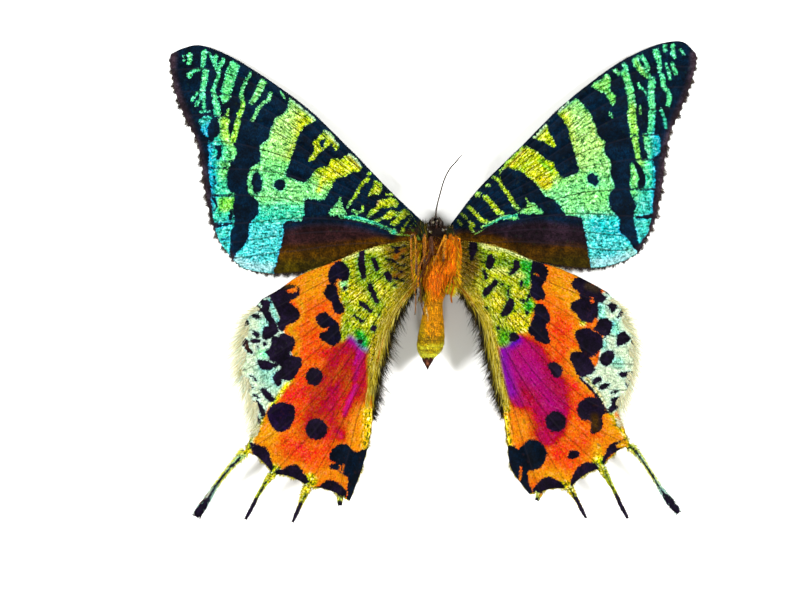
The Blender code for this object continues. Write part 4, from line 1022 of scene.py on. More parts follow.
@dataclass(frozen=True)
class SkinFinish:
    """The skin of the body below its coat, with short flat fur as bump."""

    name: str

    def make(self) -> bpy.types.Material:
        """Return the material."""
        nodes = Nodes(self.name)
        grain = nodes.noise(0.10 * MM, 3.0)
        patch = nodes.noise(0.8 * MM, 3.0)
        tint = nodes.shift_hue(nodes.attribute("tint", "Color"), 0.5, 1.0,
                               nodes.times(nodes.span(grain, 0.25, 0.75, 0.6, 1.25),
                                           nodes.span(patch, 0.3, 0.7, 0.8, 1.15)))
        nodes.surface(Base_Color=tint, Roughness=0.7, Specular_IOR_Level=0.05)
        nodes.bump(grain, 0.05 * MM, 0.8)
        return nodes.material


@dataclass(frozen=True)
class HornFinish:
    """Bare chitin of feelers, legs and mouth, ringed by fine joints along the flow map."""

    name: str
    light: tuple[float, float, float]
    dark: tuple[float, float, float]
    ring: float
    roughness: float = 0.35

    def make(self) -> bpy.types.Material:
        """Return the material."""
        nodes = Nodes(self.name)
        parts = nodes.tree.nodes.new("ShaderNodeSeparateXYZ")
        nodes.join(nodes.stretched("Flow", (1.0, 1.0 / self.ring, 1.0)), parts.inputs[0])
        wave = nodes.math("PINGPONG", parts.outputs[1], 0.5)
        joint = nodes.span(wave, 0.0, 0.12, 1.0, 0.0)
        patch = nodes.noise(0.4 * MM, 3.0)
        fine = nodes.noise(0.05 * MM, 2.0)
        colour = nodes.mix(nodes.span(patch, 0.3, 0.7), self.dark, self.light)
        colour = nodes.mix(nodes.times(joint, 0.7), colour,
                           tuple(0.35 * part for part in self.dark))
        nodes.surface(Base_Color=colour, Roughness=self.roughness, Specular_IOR_Level=0.3)
        nodes.bump(nodes.math("SUBTRACT", nodes.times(fine, 0.5), joint), 0.02 * MM, 0.7)
        return nodes.material


@dataclass(frozen=True)
class EyeFinish:
    """A compound eye: dark glossy domes in a fine net."""

    name: str
    facet: float = 0.055 * MM

    def make(self) -> bpy.types.Material:
        """Return the material."""
        nodes = Nodes(self.name)
        domes, (first, _, _) = nodes.cells(self.facet)
        patch = nodes.noise(0.5 * MM, 2.0)
        colour = nodes.mix(nodes.span(patch, 0.35, 0.7), (0.008, 0.004, 0.002),
                           (0.030, 0.013, 0.005))
        colour = nodes.mix(nodes.span(domes, 0.35, 0.75, 0.0, 0.8), colour, (0.002, 0.001, 0.001))
        colour = nodes.mix(nodes.times(first, 0.25), colour, (0.040, 0.020, 0.008))
        nodes.surface(Base_Color=colour, Roughness=0.20, Specular_IOR_Level=0.20,
                      Coat_Weight=0.12, Coat_Roughness=0.08)
        nodes.bump(nodes.math("SUBTRACT", 1.0, domes), 0.004 * MM, 0.5)
        return nodes.material


@dataclass(frozen=True)
class FloorFinish:
    """Plain pale board."""

    name: str

    def make(self) -> bpy.types.Material:
        """Return the material."""
        nodes = Nodes(self.name)
        nodes.surface(Base_Color=(0.95, 0.95, 0.94), Roughness=0.9, Specular_IOR_Level=0.1)
        return nodes.material


def evaluated(item: bpy.types.Object) -> bpy.types.Mesh:
    """Return the mesh of an object with its modifiers applied, and remove the object."""
    bpy.context.scene.collection.objects.link(item)
    bpy.context.view_layer.update()
    shaped = item.evaluated_get(bpy.context.evaluated_depsgraph_get())
    mesh = bpy.data.meshes.new_from_object(shaped)
    bpy.data.objects.remove(item, do_unlink=True)
    return mesh


def finished(grid: bmesh.types.BMesh, name: str) -> bpy.types.Mesh:
    """Return the mesh of an edited grid, and free the grid."""
    mesh = bpy.data.meshes.new(name)
    grid.to_mesh(mesh)
    grid.free()
    return mesh


def read_places(mesh: bpy.types.Mesh) -> np.ndarray:
    """Return a mesh's vertex places."""
    flat = np.empty(3 * len(mesh.vertices))
    mesh.vertices.foreach_get("co", flat)
    return flat.reshape(-1, 3)


def write_places(mesh: bpy.types.Mesh, places: np.ndarray) -> None:
    """Move a mesh's vertices."""
    mesh.vertices.foreach_set("co", places.astype(np.float32).ravel())
    mesh.update()


def write_layer(mesh: bpy.types.Mesh, name: str, values: np.ndarray) -> None:
    """Store a number or a colour for each vertex of a mesh."""
    if values.ndim == 1:
        layer = mesh.attributes.new(name, "FLOAT", "POINT")
        layer.data.foreach_set("value", values.astype(np.float32))
        return
    layer = mesh.attributes.new(name, "FLOAT_COLOR", "POINT")
    full = np.ones((len(values), 4), dtype=np.float32)
    full[:, :3] = values
    layer.data.foreach_set("color", full.ravel())


def write_map(mesh: bpy.types.Mesh, name: str, spots: np.ndarray) -> None:
    """Store a UV map from one spot for each vertex of a mesh."""
    layer = mesh.uv_layers.get(name) or mesh.uv_layers.new(name=name)
    corners = np.empty(len(mesh.loops), dtype=np.int32)
    mesh.loops.foreach_get("vertex_index", corners)
    layer.data.foreach_set("uv", spots[corners].astype(np.float32).ravel())


def place_piece(name: str, mesh: bpy.types.Mesh, material: bpy.types.Material,
                nodes: Sequence[str] = ()) -> bpy.types.Object:
    """Link a finished mesh as a piece of the moth.

    Args:
        name: Name of the piece.
        mesh: Its mesh, with its place in it.
        material: Its finish.
        nodes: The solids that it stands for.

    Returns:
        The linked object.
    """
    mesh.name = name
    mesh.materials.clear()
    mesh.materials.append(material)
    mesh.polygons.foreach_set("material_index", np.zeros(len(mesh.polygons), dtype=np.int32))
    mesh.polygons.foreach_set("use_smooth", np.ones(len(mesh.polygons), dtype=bool))
    piece = bpy.data.objects.new(name, mesh)
    bpy.context.scene.collection.objects.link(piece)
    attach(piece, BODY)
    if nodes:
        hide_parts(*nodes)
    log.info("%s: %d faces", name, len(mesh.polygons))
    return piece


def closed_loft(rings: np.ndarray, flow: Optional[np.ndarray] = None) -> bpy.types.Mesh:
    """Return a closed mesh through rings of points.

    Args:
        rings: Points by ring and by place around the ring.
        flow: For each ring its place along the piece, kept in the Flow map.

    Returns:
        The mesh; its vertices run ring by ring.
    """
    count, sides, _ = rings.shape
    grid = bmesh.new()
    bmesh.ops.create_grid(grid, x_segments=sides, y_segments=count - 1, size=0.5)
    flow_layer = grid.loops.layers.uv.new("Flow")
    grid.verts.ensure_lookup_table()
    grid.verts.index_update()
    for face in grid.faces:
        for corner in face.loops:
            row, column = divmod(corner.vert.index, sides + 1)
            along = flow[row] if flow is not None else row / (count - 1)
            corner[flow_layer].uv = (column / sides, along)
    for vertex in grid.verts:
        row, column = divmod(vertex.index, sides + 1)
        vertex.co = rings[row, column % sides]
    span = float(np.ptp(rings.reshape(-1, 3), axis=0).max())
    bmesh.ops.remove_doubles(grid, verts=grid.verts, dist=1.0e-6 * span)
    rims = [edge for edge in grid.edges if edge.is_boundary]
    bmesh.ops.holes_fill(grid, edges=rims, sides=sides)
    bmesh.ops.recalc_face_normals(grid, faces=grid.faces)
    return finished(grid, "loft")


def tube_rings(path: np.ndarray, radii: np.ndarray, sides: int, flat: float = 1.0) -> np.ndarray:
    """Return rings of points around a path, carried along without twist.

    Args:
        path: Points along the middle of the tube.
        radii: The radius at each point.
        sides: Points in a ring.
        flat: Share of the radius that the tube has in its second direction.

    Returns:
        Points by ring and by place around the ring.
    """
    ways = unit(np.gradient(path, axis=0))
    side = np.cross(ways[0], (0.0, 0.0, 1.0))
    if np.linalg.norm(side) < 1.0e-3:
        side = np.cross(ways[0], (0.0, 1.0, 0.0))
    angles = np.arange(sides) * 2.0 * math.pi / sides
    rings = []
    for place, way, radius in zip(path, ways, radii):
        side = unit(side - way * (side @ way))
        up = np.cross(side, way)
        rings.append(place + radius * (np.cos(angles)[:, None] * side
                                       + flat * np.sin(angles)[:, None] * up))
    return np.array(rings)


@dataclass(frozen=True)
class Strand:
    """A small tapered lock of hair that is copied over a surface.

    Attributes:
        cuts: Shares of its length at which it can bend.
        sides: Sides around it.
        flat: Its thickness as a share of its width.
        patch: Width of its patch on the bake map.
    """

    cuts: tuple[float, ...] = (0.35, 0.72)
    sides: int = 3
    flat: float = 0.45
    patch: float = 0.003

    def template(self) -> bpy.types.Mesh:
        """Return one strand along +Z, of length 1 and radius 1, closed at both ends."""
        grid = bmesh.new()
        bmesh.ops.create_cone(grid, cap_ends=True, segments=self.sides, radius1=1.0, radius2=0.0,
                              depth=1.0)
        bmesh.ops.translate(grid, verts=grid.verts, vec=(0.0, 0.0, 0.5))
        for cut in self.cuts:
            bmesh.ops.bisect_plane(grid, geom=grid.verts[:] + grid.edges[:] + grid.faces[:],
                                   plane_co=(0.0, 0.0, cut), plane_no=(0.0, 0.0, 1.0))
        for vertex in grid.verts:
            swell = 1.0 + 0.7 * vertex.co.z
            vertex.co.x *= swell
            vertex.co.y *= swell
        return finished(grid, "strand")

    def grow(self, coat: "Coat") -> bpy.types.Mesh:
        """Return the closed strands of a coat as one mesh.

        Args:
            coat: Where each strand stands and how it looks.

        Returns:
            A mesh with the layer tint and the bake map.
        """
        single = self.template()
        base = read_places(single)
        count = len(coat.roots)
        item = bpy.data.objects.new("strands", single)
        array = item.modifiers.new("array", "ARRAY")
        array.use_relative_offset = False
        array.count = count
        mesh = evaluated(item)
        across = unit(np.cross(coat.aims, coat.ups))
        above = unit(np.cross(across, coat.aims))
        along = base[None, :, 2, None]
        lift = coat.curls[:, None, None] * along ** 2 * coat.lengths[:, None, None]
        places = (coat.roots[:, None, :]
                  + coat.aims[:, None, :] * along * coat.lengths[:, None, None]
                  + above[:, None, :] * lift
                  + across[:, None, :] * base[None, :, 0, None] * coat.widths[:, None, None]
                  + above[:, None, :] * base[None, :, 1, None] * self.flat
                  * coat.widths[:, None, None])
        places[:, :, 2] = np.maximum(places[:, :, 2], coat.floor)
        write_places(mesh, places.reshape(-1, 3))
        fade = coat.root_shade + (1.0 - coat.root_shade) * np.clip(2.2 * base[:, 2], 0.0, 1.0)
        tints = coat.tints[:, None, :] * fade[None, :, None]
        write_layer(mesh, "tint", tints.reshape(-1, 3))
        spots = coat.patches[:, None, :] + self.patch * (base[None, :, (0, 2)] * (0.5, 1.0))
        write_map(mesh, "OFBake", np.clip(spots.reshape(-1, 2), 0.0, 1.0))
        return mesh


@dataclass
class Coat:
    """Where the strands of a coat stand, one row for each strand.

    Attributes:
        roots: Their roots.
        aims: The ways they point.
        ups: The way each one bends when its curl is above 0.
        lengths: Their lengths.
        widths: Their radii at the root.
        curls: How far their tips leave the straight line, as a share of the length.
        tints: Their colours.
        patches: Their places on the bake map.
        root_shade: Brightness of the roots as a share of the tips'.
        floor: Height that no part goes below.
    """

    roots: np.ndarray
    aims: np.ndarray
    ups: np.ndarray
    lengths: np.ndarray
    widths: np.ndarray
    curls: np.ndarray
    tints: np.ndarray
    patches: np.ndarray
    root_shade: float = 0.55
    floor: float = 0.01 * MM


def joined(groups: Sequence[Coat], root_shade: float = 0.55) -> Coat:
    """Return several coats as one."""
    return Coat(*(np.concatenate([getattr(group, name) for group in groups])
                  for name in ("roots", "aims", "ups", "lengths", "widths", "curls", "tints",
                               "patches")), root_shade=root_shade)


def pick_tints(chance: np.random.Generator, count: int,
               choices: Sequence[tuple[float, tuple[float, float, float]]]) -> np.ndarray:
    """Return one colour for each strand, drawn from weighted choices and varied a little.

    Args:
        chance: The source of chance.
        count: How many colours.
        choices: Pairs of a weight and a colour.

    Returns:
        One colour for each strand.
    """
    weights = np.array([weight for weight, _ in choices])
    picks = chance.choice(len(choices), count, p=weights / weights.sum())
    colours = np.array([colour for _, colour in choices])[picks]
    return colours * chance.uniform(0.7, 1.25, (count, 1))


# Forewing veins from the root to the edge, costa first, on the plan sheet
LEFT_FOREWING_VEINS = (
    "418 222, 390 190.5, 350 149, 310 110, 270 80, 230 55, 200 43.5, 182 46, 169 52",
    "418.6 224, 385 192, 345 155, 300 115, 255 84, 210 68, 169.5 68",
    "419.2 226, 380 194, 338 162, 295 128, 250 101, 210 91, 173.5 90",
    "419.6 228, 378 198, 335 171, 298 145, 255 122, 215 114, 182.5 114",
    "419.6 230, 378 203, 335 182, 295 160, 255 147, 225 141, 197 141",
    "419.2 232, 378 210, 335 193, 290 175, 250 169, 222 168, 201 168",
    "418.6 235, 378 218, 335 207, 290 199, 250 195, 225 194, 204.5 194",
    "417 238, 378 226, 335 219, 290 218, 250 222, 228 223, 210.5 222",
    "415 241, 378 233, 335 231, 290 234, 260 238, 240 241, 219.5 243",
    "413 245, 375 243, 335 245, 300 250, 270 253, 250 256, 231 258",
    "411 250, 372 256, 335 264, 300 271.5, 275 273.5, 256 271.5, 242 268",
)
RIGHT_FOREWING_VEINS = (
    "452.4 224, 480 187, 520 147.5, 560 107.5, 600 75, 630 55.5, 660 42.5, 684 39.5, 698 51",
    "452.2 226, 484 190, 524 151, 566 112, 610 82, 655 66, 697.5 65",
    "452 228, 488 193, 530 157, 574 123, 618 98, 657 87, 692 85",
    "452 230, 490 197, 534 167, 575 140, 618 117, 650 108, 683 107",
    "452 232, 492 203, 536 178, 578 154, 618 140, 648 134, 671 133",
    "452.2 234, 492 210, 536 190, 578 169, 616 161, 640 158, 666.5 159",
    "452.6 236.5, 492 218, 536 205, 580 193, 618 189, 642 188, 663.5 188",
    "453.2 239, 492 226, 536 217, 580 213, 618 215, 640 216, 658 216",
    "453.5 242, 492 233, 536 229, 580 231, 612 234, 632 236, 649 236",
    "456 246, 495 242, 536 242, 574 246, 602 249, 622 250, 643 246.5",
    "458 251, 495 254, 536 261, 572 267, 600 267.5, 622 262, 638 254",
)

# Hindwing veins from the root to the edge, costa first, inner margin last
LEFT_HINDWING_VEINS = (
    "411 240, 390 243.5, 360 251.5, 330 263.5, 300 275.5, 278 290, 262 299",
    "410.5 245, 388 254, 355 266, 322 283, 290 300, 265 313, 246 320",
    "410 251, 388 264, 355 283, 320 304, 288 322, 263 335, 242 345",
    "409.5 257, 388 273, 355 298, 322 323, 288 346, 264 361, 241.5 371",
    "409 262, 388 282, 358 311, 325 343, 293 370, 268 388, 251 397",
    "408.5 266, 388 291, 362 324, 330 362, 298 393, 274 411, 257.5 421",
    "408 270, 390 298, 365 337, 334 378, 302 411, 272 435, 246 451",
    "407.5 273, 391 304, 369 349, 342 395, 314 431, 292 454, 272.5 474",
    "407 276, 392 309, 373 358, 350 405, 333 442, 319 467, 308 487",
    "407 279, 393 313, 377 362, 359 412, 350 448, 343 474, 340 495",
    "407 283, 394 318, 381 358, 373 395, 372.5 420, 368 446, 361 471, 350 501",
)
RIGHT_HINDWING_VEINS = (
    "463 241, 482 243, 505 249, 533 260.5, 560 269, 586 280.5, 607 292",
    "463.5 246, 485 254, 515 265, 546 281, 576 293, 602 303, 622 309",
    "464 252, 486 264, 517 283, 550 303, 582 322, 609 335, 633 337",
    "464.5 258, 487 274, 518 299, 550 323, 582 347, 608 362, 634 364",
    "465 263, 487 283, 517 313, 548 343, 578 370, 606 388, 627 390",
    "465.5 267, 487 291, 514 326, 544 360, 574 390, 598 406, 617 410",
    "466 271, 486 299, 509 338, 538 377, 569 407, 600 430, 629 445",
    "466 274, 485 305, 505 349, 531 393, 558 427, 581 449, 602 468",
    "466 277, 484 310, 501 358, 522 403, 540 440, 555 466, 570 489",
    "466 280, 482 314, 497 362, 514 410, 524 445, 533 472, 540 492",
    "466 284, 480 318, 492 362, 501 398, 504 420, 507 441, 511 468, 529 494",
)
FOREWING_BOWS = (1.5, 0.5, 0.5, 0.0, 0.5, 0.5, 0.0, 0.5, 0.5, 1.0)
HINDWING_BOWS = (1.0, 1.5, 1.0, 1.5, 1.0, 1.0, -3.0, -3.5, -2.0, 0.0)


# Where the wings' roots stand: y along the body and distance from its middle, in mm
ROOT_STATIONS = ((6.5, 2.25), (4.3, 2.1), (3.6, 2.0), (3.0, 2.2), (2.0, 2.7), (0.8, 2.9),
                 (-0.6, 2.9), (-2.0, 2.75), (-3.4, 2.5), (-4.6, 2.2))

# Places of a wing's two faces on the bake map, and steps of its flow map in metres
FACE_SIZE = (0.485, 0.98)
UPPER_FACE = (0.005, 0.01)
LOWER_FACE = (0.510, 0.01)
FLOW_STEPS = (0.03, 0.045)

# Middle of a wing as vein position and share, and the way that all fringes lean
WING_MIDDLE = (5.0, 0.55)
TAIL_WAY = (0.0, -1.0)

# Ragged scales for each point of a tail, and their radius
TAIL_SCALES = 190
TAIL_SCALE_WIDTH = 0.045 * MM

FOLD_TINT = shown(62, 48, 14)
BACK_GREEN = shown(40, 190, 110)
BACK_INK = shown(10, 14, 16)
BACK_PLUM = shown(14, 12, 18)
TAIL_INK = shown(36, 26, 26)


def wing_root_reach(y: float) -> float:
    """Return how far from the middle a wing's root stands at a place along the body."""
    stations = np.array(ROOT_STATIONS) * MM
    return float(np.interp(-y, -stations[:, 0], stations[:, 1]))


def upright(count: int) -> np.ndarray:
    """Return the way up, once for each strand."""
    return np.tile((0.0, 0.0, 1.0), (count, 1))


class WingKind(Enum):
    """The two pairs of wings."""

    FORE = "forewing"
    HIND = "hindwing"


@dataclass(frozen=True)
class Tail:
    """A narrow tail that goes on from the end of one vein.

    Attributes:
        vein: Number of the vein.
        path: Its middle line on the plan sheet.
        halves: Half widths along the path, in sheet units.
        root_tint: Colour of the ragged scales along its first part.
        end_tint: Their colour towards its end.
        brush: Length of the longest of them, in sheet units.
    """

    vein: int
    path: str
    halves: tuple[float, ...]
    root_tint: tuple[float, float, float]
    end_tint: tuple[float, float, float]
    brush: float = 3.0


LEFT_TAILS = (
    Tail(6, "246 451, 239 458, 228 470, 217 484, 207 499, 200 510, 195 517.5",
         (4.0, 2.4, 1.5, 1.5, 2.6, 4.0, 4.2), shown(222, 222, 80), shown(150, 200, 180), 5.2),
    Tail(7, "272.5 474, 267 481, 261 490, 256 499, 251 509, 245 520",
         (4.0, 2.4, 1.5, 1.4, 1.7, 1.0), shown(205, 200, 60), shown(70, 50, 40), 2.6),
    Tail(8, "308 487, 305 492, 302 500, 298 510, 292.5 522.5",
         (4.5, 3.4, 1.8, 1.5, 0.8), shown(222, 205, 30), shown(60, 50, 25), 2.8),
    Tail(9, "340 495, 340 500, 339.8 505.5", (3.0, 2.4, 1.4), shown(205, 214, 90),
         shown(60, 60, 20), 2.2),
)
RIGHT_TAILS = (
    Tail(6, "629 445, 637 453, 646 465, 655 479, 664 493, 673 505, 680 514",
         (4.0, 2.0, 1.2, 1.3, 2.4, 4.0, 3.0), shown(226, 230, 110), shown(176, 220, 200), 4.5),
    Tail(7, "602 468, 606.5 476, 612 486, 617 496, 622 507, 628.5 519",
         (4.0, 2.6, 1.4, 1.5, 1.8, 1.0), shown(214, 208, 60), shown(100, 66, 48), 2.6),
    Tail(8, "570 489, 574 495, 578 502, 582 510, 586.5 518.5",
         (4.0, 2.2, 1.6, 1.6, 0.9), shown(222, 200, 40), shown(70, 40, 24), 2.4),
    Tail(9, "540 492, 538.5 496.5, 537 500.5", (3.0, 2.2, 1.4), shown(220, 220, 100),
         shown(90, 90, 60), 2.2),
)


@dataclass(frozen=True)
class Fringe:
    """Hair along a stretch of a wing's edge.

    Attributes:
        start: Vein position and share of its length where the stretch begins.
        end: Vein position and share where it ends.
        count: How many hairs.
        length: Shortest and longest hair.
        width: Radius of a hair at its root.
        lean: Angle by which the hairs turn from straight out towards the tail.
        spread: Chance part of that angle.
        inset: How far inside the edge the roots may stand.
        tints: Colours and their weights.
        droop: How far the hairs point down.
        thinning: Power that makes long hairs rarer than short ones.
    """

    start: tuple[float, float]
    end: tuple[float, float]
    count: int
    length: tuple[float, float]
    width: float
    lean: float
    spread: float
    inset: float
    tints: tuple[tuple[float, tuple[float, float, float]], ...]
    droop: float = 0.0
    thinning: float = 1.0


@dataclass
class Fan:
    """The plan of a wing: a fan of veins spread from its root.

    Attributes:
        veins: Curves on the plan sheet, from the root to the edge.
        bows: Bow of the edge between two veins, in sheet units.
        steps: Even steps that each vein is traced by.
        paths: Plan places along every vein.
    """

    veins: tuple[str, ...]
    bows: tuple[float, ...]
    steps: int = 400
    paths: np.ndarray = field(init=False)

    def __post_init__(self) -> None:
        """Trace every vein at even shares of its length, from the body's skin outwards."""
        shares = np.linspace(0.0, 1.0, self.steps + 1)
        traced = []
        for vein in self.veins:
            plan = to_plan(read_points(vein))
            plan[0, 0] = math.copysign(wing_root_reach(plan[0, 1]), plan[0, 0])
            traced.append(along_curve(plan, shares))
        self.paths = np.array(traced)

    def spots(self, columns: np.ndarray, shares: np.ndarray) -> np.ndarray:
        """Return plan places at vein positions and shares of the veins' length."""
        lower = np.clip(columns.astype(int), 0, len(self.veins) - 2)
        t = (columns - lower)[:, None]
        place = np.clip(shares, 0.0, 1.0) * self.steps
        step = np.clip(place.astype(int), 0, self.steps - 1)
        s = (place - step)[:, None]
        near = self.paths[lower, step] * (1.0 - s) + self.paths[lower, step + 1] * s
        far = self.paths[lower + 1, step] * (1.0 - s) + self.paths[lower + 1, step + 1] * s
        roots = (self.paths[:-1, 0] + self.paths[1:, 0]) / 2.0
        ends = (self.paths[:-1, -1] + self.paths[1:, -1]) / 2.0
        outward = unit(ends - roots)[lower]
        bow = 4.0 * t * (1.0 - t) * np.array(self.bows)[lower][:, None]
        return near * (1.0 - t) + far * t + outward * bow * SHEET_UNIT * shares[:, None] ** 6

    def gaps(self, columns: np.ndarray, shares: np.ndarray) -> np.ndarray:
        """Return the distance between the two veins beside each position."""
        lower = np.clip(columns.astype(int), 0, len(self.veins) - 2)
        step = np.clip((shares * self.steps).astype(int), 0, self.steps)
        return np.linalg.norm(self.paths[lower + 1, step] - self.paths[lower, step], axis=1)


@dataclass
class Wing:
    """One wing: a thin veined sheet with two painted faces, its tails and its fringes.

    Attributes:
        name: Name of the solid that it stands for.
        kind: Forewing or hindwing.
        fan: The veins that span it.
        pattern: The markings of the face that shows from above.
        fringes: Hair along its edges.
        slot: Name of a material slot for its scales; not used.
        root_tint: Colour of the light scales beside the body.
        tails: Tails of a hindwing.
        rows: Steps of the sheet from the root to the edge.
        between: Places of the sheet's columns from one vein to the next.
        row_power: Power that draws the rows together towards the edge.
        membrane: Thickness of the sheet.
        vein_rise: How far a vein stands out at the root.
        vein_width: Half width of a vein.
        pleat: Depth of the pleats between the veins.
        wave: Height of the sheet's slow waves.
        tail_steps: Steps of a tail.
        tail_root: How far, in vein positions, a tail's root spreads to each side.
        back_grow: How far, in mm, the dark marks are larger on the hidden face.
    """

    name: str
    kind: WingKind
    fan: Fan
    pattern: Pattern
    fringes: tuple[Fringe, ...]
    slot: str
    root_tint: tuple[float, float, float]
    tails: tuple[Tail, ...] = ()
    rows: int = 172
    between: tuple[float, ...] = (0.0, 0.03, 0.07, 0.12, 0.17, 0.22, 0.27, 0.32, 0.37, 0.42, 0.47,
                                  0.52, 0.57, 0.62, 0.67, 0.72, 0.78, 0.84, 0.90, 0.95)
    row_power: float = 0.82
    membrane: float = 0.16 * MM
    vein_rise: float = 0.10 * MM
    vein_width: float = 0.17 * MM
    pleat: float = 0.10 * MM
    wave: float = 0.16 * MM
    tail_steps: int = 24
    tail_root: float = 0.13
    back_grow: float = 0.36

    def level(self, plan: np.ndarray) -> np.ndarray:
        """Return the height of the sheet's middle above the floor."""
        reach = np.abs(plan[:, 0])
        if self.kind is WingKind.FORE:
            share = np.clip((FOREWING_TOUCH_X - reach) / (FOREWING_TOUCH_X - FOREWING_ROOT_X),
                            0.0, None)
            low = 0.7 * self.membrane
            return low + (FOREWING_ROOT_Z - low) * share ** 1.15
        fall = HINDWING_FALL * (reach / HINDWING_SPAN) ** 1.1
        tail = TAIL_FALL * smooth_step((TAIL_FALL_START_Y - plan[:, 1]) / TAIL_FALL_LENGTH)
        return HINDWING_ROOT_Z - fall - tail

    def waves(self, plan: np.ndarray) -> np.ndarray:
        """Return slow waves of the sheet, stronger towards its edge."""
        x, y = plan[:, 0] / MM, plan[:, 1] / MM
        wave = (np.sin(0.42 * x + 0.31 * y + 0.6) + np.sin(0.23 * x - 0.52 * y + 2.1)
                + 0.6 * np.sin(0.95 * x + 0.74 * y)) / 2.6
        return self.wave * wave * np.clip(np.abs(x) / 30.0, 0.15, 1.0)

    def build(self) -> None:
        """Build the sheet and its fringes and dress them."""
        mesh = self.sheet()
        finish = ScaleFinish(f"{self.name}_scales")
        place_piece(f"{self.name}_sheet", mesh, finish.make(), (self.name,))
        self.dress_edges()

    def sheet(self) -> bpy.types.Mesh:
        """Return the closed, painted sheet."""
        marks = [index + step for index in range(len(self.fan.veins) - 1)
                 for step in self.between] + [len(self.fan.veins) - 1.0]
        columns = np.array(marks)
        shares = (np.arange(self.rows + 1) / self.rows) ** self.row_power
        column, share = np.tile(columns, self.rows + 1), np.repeat(shares, len(columns))
        plan = self.fan.spots(column, share)
        grid = bmesh.new()
        bmesh.ops.create_grid(grid, x_segments=len(columns) - 1, y_segments=self.rows, size=0.5)
        home = grid.verts.layers.int.new("home")
        face_side = grid.verts.layers.float.new("face_side")
        for index, vertex in enumerate(grid.verts):
            vertex.co = (*plan[index], 0.0)
            vertex[home] = index
        grid.verts.ensure_lookup_table()
        last = grid.verts[self.rows * len(columns):]
        rows = [plan]
        vein_gap = np.minimum(column % 1.0, 1.0 - column % 1.0) * self.fan.gaps(column, share)
        crest = [vein_gap]
        flow = [np.stack((column, share), axis=1)]
        for tail in self.tails:
            root = [vertex for vertex, mark in zip(last, columns)
                    if abs(mark - tail.vein) <= self.tail_root + 1.0e-6]
            self.draw_tail(grid, home, root, tail, rows, crest, flow)
        for vertex in grid.verts:
            vertex[face_side] = -1.0
            vertex.co.z = -0.5 * self.membrane
        made = bmesh.ops.extrude_face_region(grid, geom=grid.faces[:], use_keep_orig=True)
        for item in made["geom"]:
            if isinstance(item, bmesh.types.BMVert):
                item[face_side] = 1.0
                item.co.z = 0.5 * self.membrane
        bmesh.ops.recalc_face_normals(grid, faces=grid.faces)
        mesh = finished(grid, self.name)
        self.paint(mesh, np.vstack(rows), np.concatenate(crest), np.vstack(flow))
        return mesh

    def draw_tail(self, grid: bmesh.types.BMesh, home: bmesh.types.BMLayerItem,
                  root: list[bmesh.types.BMVert], tail: Tail, rows: list[np.ndarray],
                  crest: list[np.ndarray], flow: list[np.ndarray]) -> None:
        """Extend some vertices of the edge into a tail.

        Args:
            grid: The flat sheet.
            home: The layer that numbers its vertices.
            root: Neighbouring vertices of the edge, in order.
            tail: The tail to draw.
            rows: Plan places by vertex number, added to here.
            crest: Distances to the middle line, added to here.
            flow: Positions along the wing, added to here.
        """
        shares = np.linspace(0.0, 1.0, self.tail_steps + 1)
        path = to_plan(along_curve(read_points(tail.path), shares))
        half = np.interp(shares, np.linspace(0.0, 1.0, len(tail.halves)), tail.halves) * SHEET_UNIT
        first = np.array([vertex.co.to_2d() for vertex in root])
        ways = unit(np.gradient(path, axis=0))
        sides = np.stack((-ways[:, 1], ways[:, 0]), axis=1)
        if (first[-1] - first[0]) @ sides[0] < 0.0:
            sides = -sides
        spread = np.linspace(-1.0, 1.0, len(root))
        number = sum(len(part) for part in rows)
        ragged = 0.14 * np.sin(np.arange(self.tail_steps + 1)[:, None] * (2.3, 3.1) + (0.4, 1.7))
        for step in range(1, self.tail_steps + 1):
            edges = [edge for edge in root[0].link_edges[:] if edge.other_vert(root[0]) is root[1]]
            for before, after in zip(root[1:], root[2:]):
                edges += [edge for edge in before.link_edges if edge.other_vert(before) is after]
            made = bmesh.ops.extrude_edge_only(grid, edges=edges)
            fresh = {item for item in made["geom"] if isinstance(item, bmesh.types.BMVert)}
            following = [next(edge.other_vert(old) for edge in old.link_edges
                              if edge.other_vert(old) in fresh) for old in root]
            width = half[step] * (1.0 + np.where(spread < 0.0, ragged[step, 0], ragged[step, 1]))
            tip = 0.5 if step == self.tail_steps else 1.0
            ideal = path[step] + sides[step] * (width * tip * spread)[:, None]
            blend = smooth_step(np.array(step / 5.0))
            spots = ideal * blend + (first + (path[step] - path[0])) * (1.0 - blend)
            for vertex, spot_place in zip(following, spots):
                vertex.co = (*spot_place, 0.0)
                vertex[home] = number
                number += 1
            rows.append(spots)
            crest.append(np.abs(width * spread))
            flow.append(np.stack((tail.vein + 0.1 * spread,
                                  np.full(len(root), 1.0 + shares[step])), axis=1))
            root = following

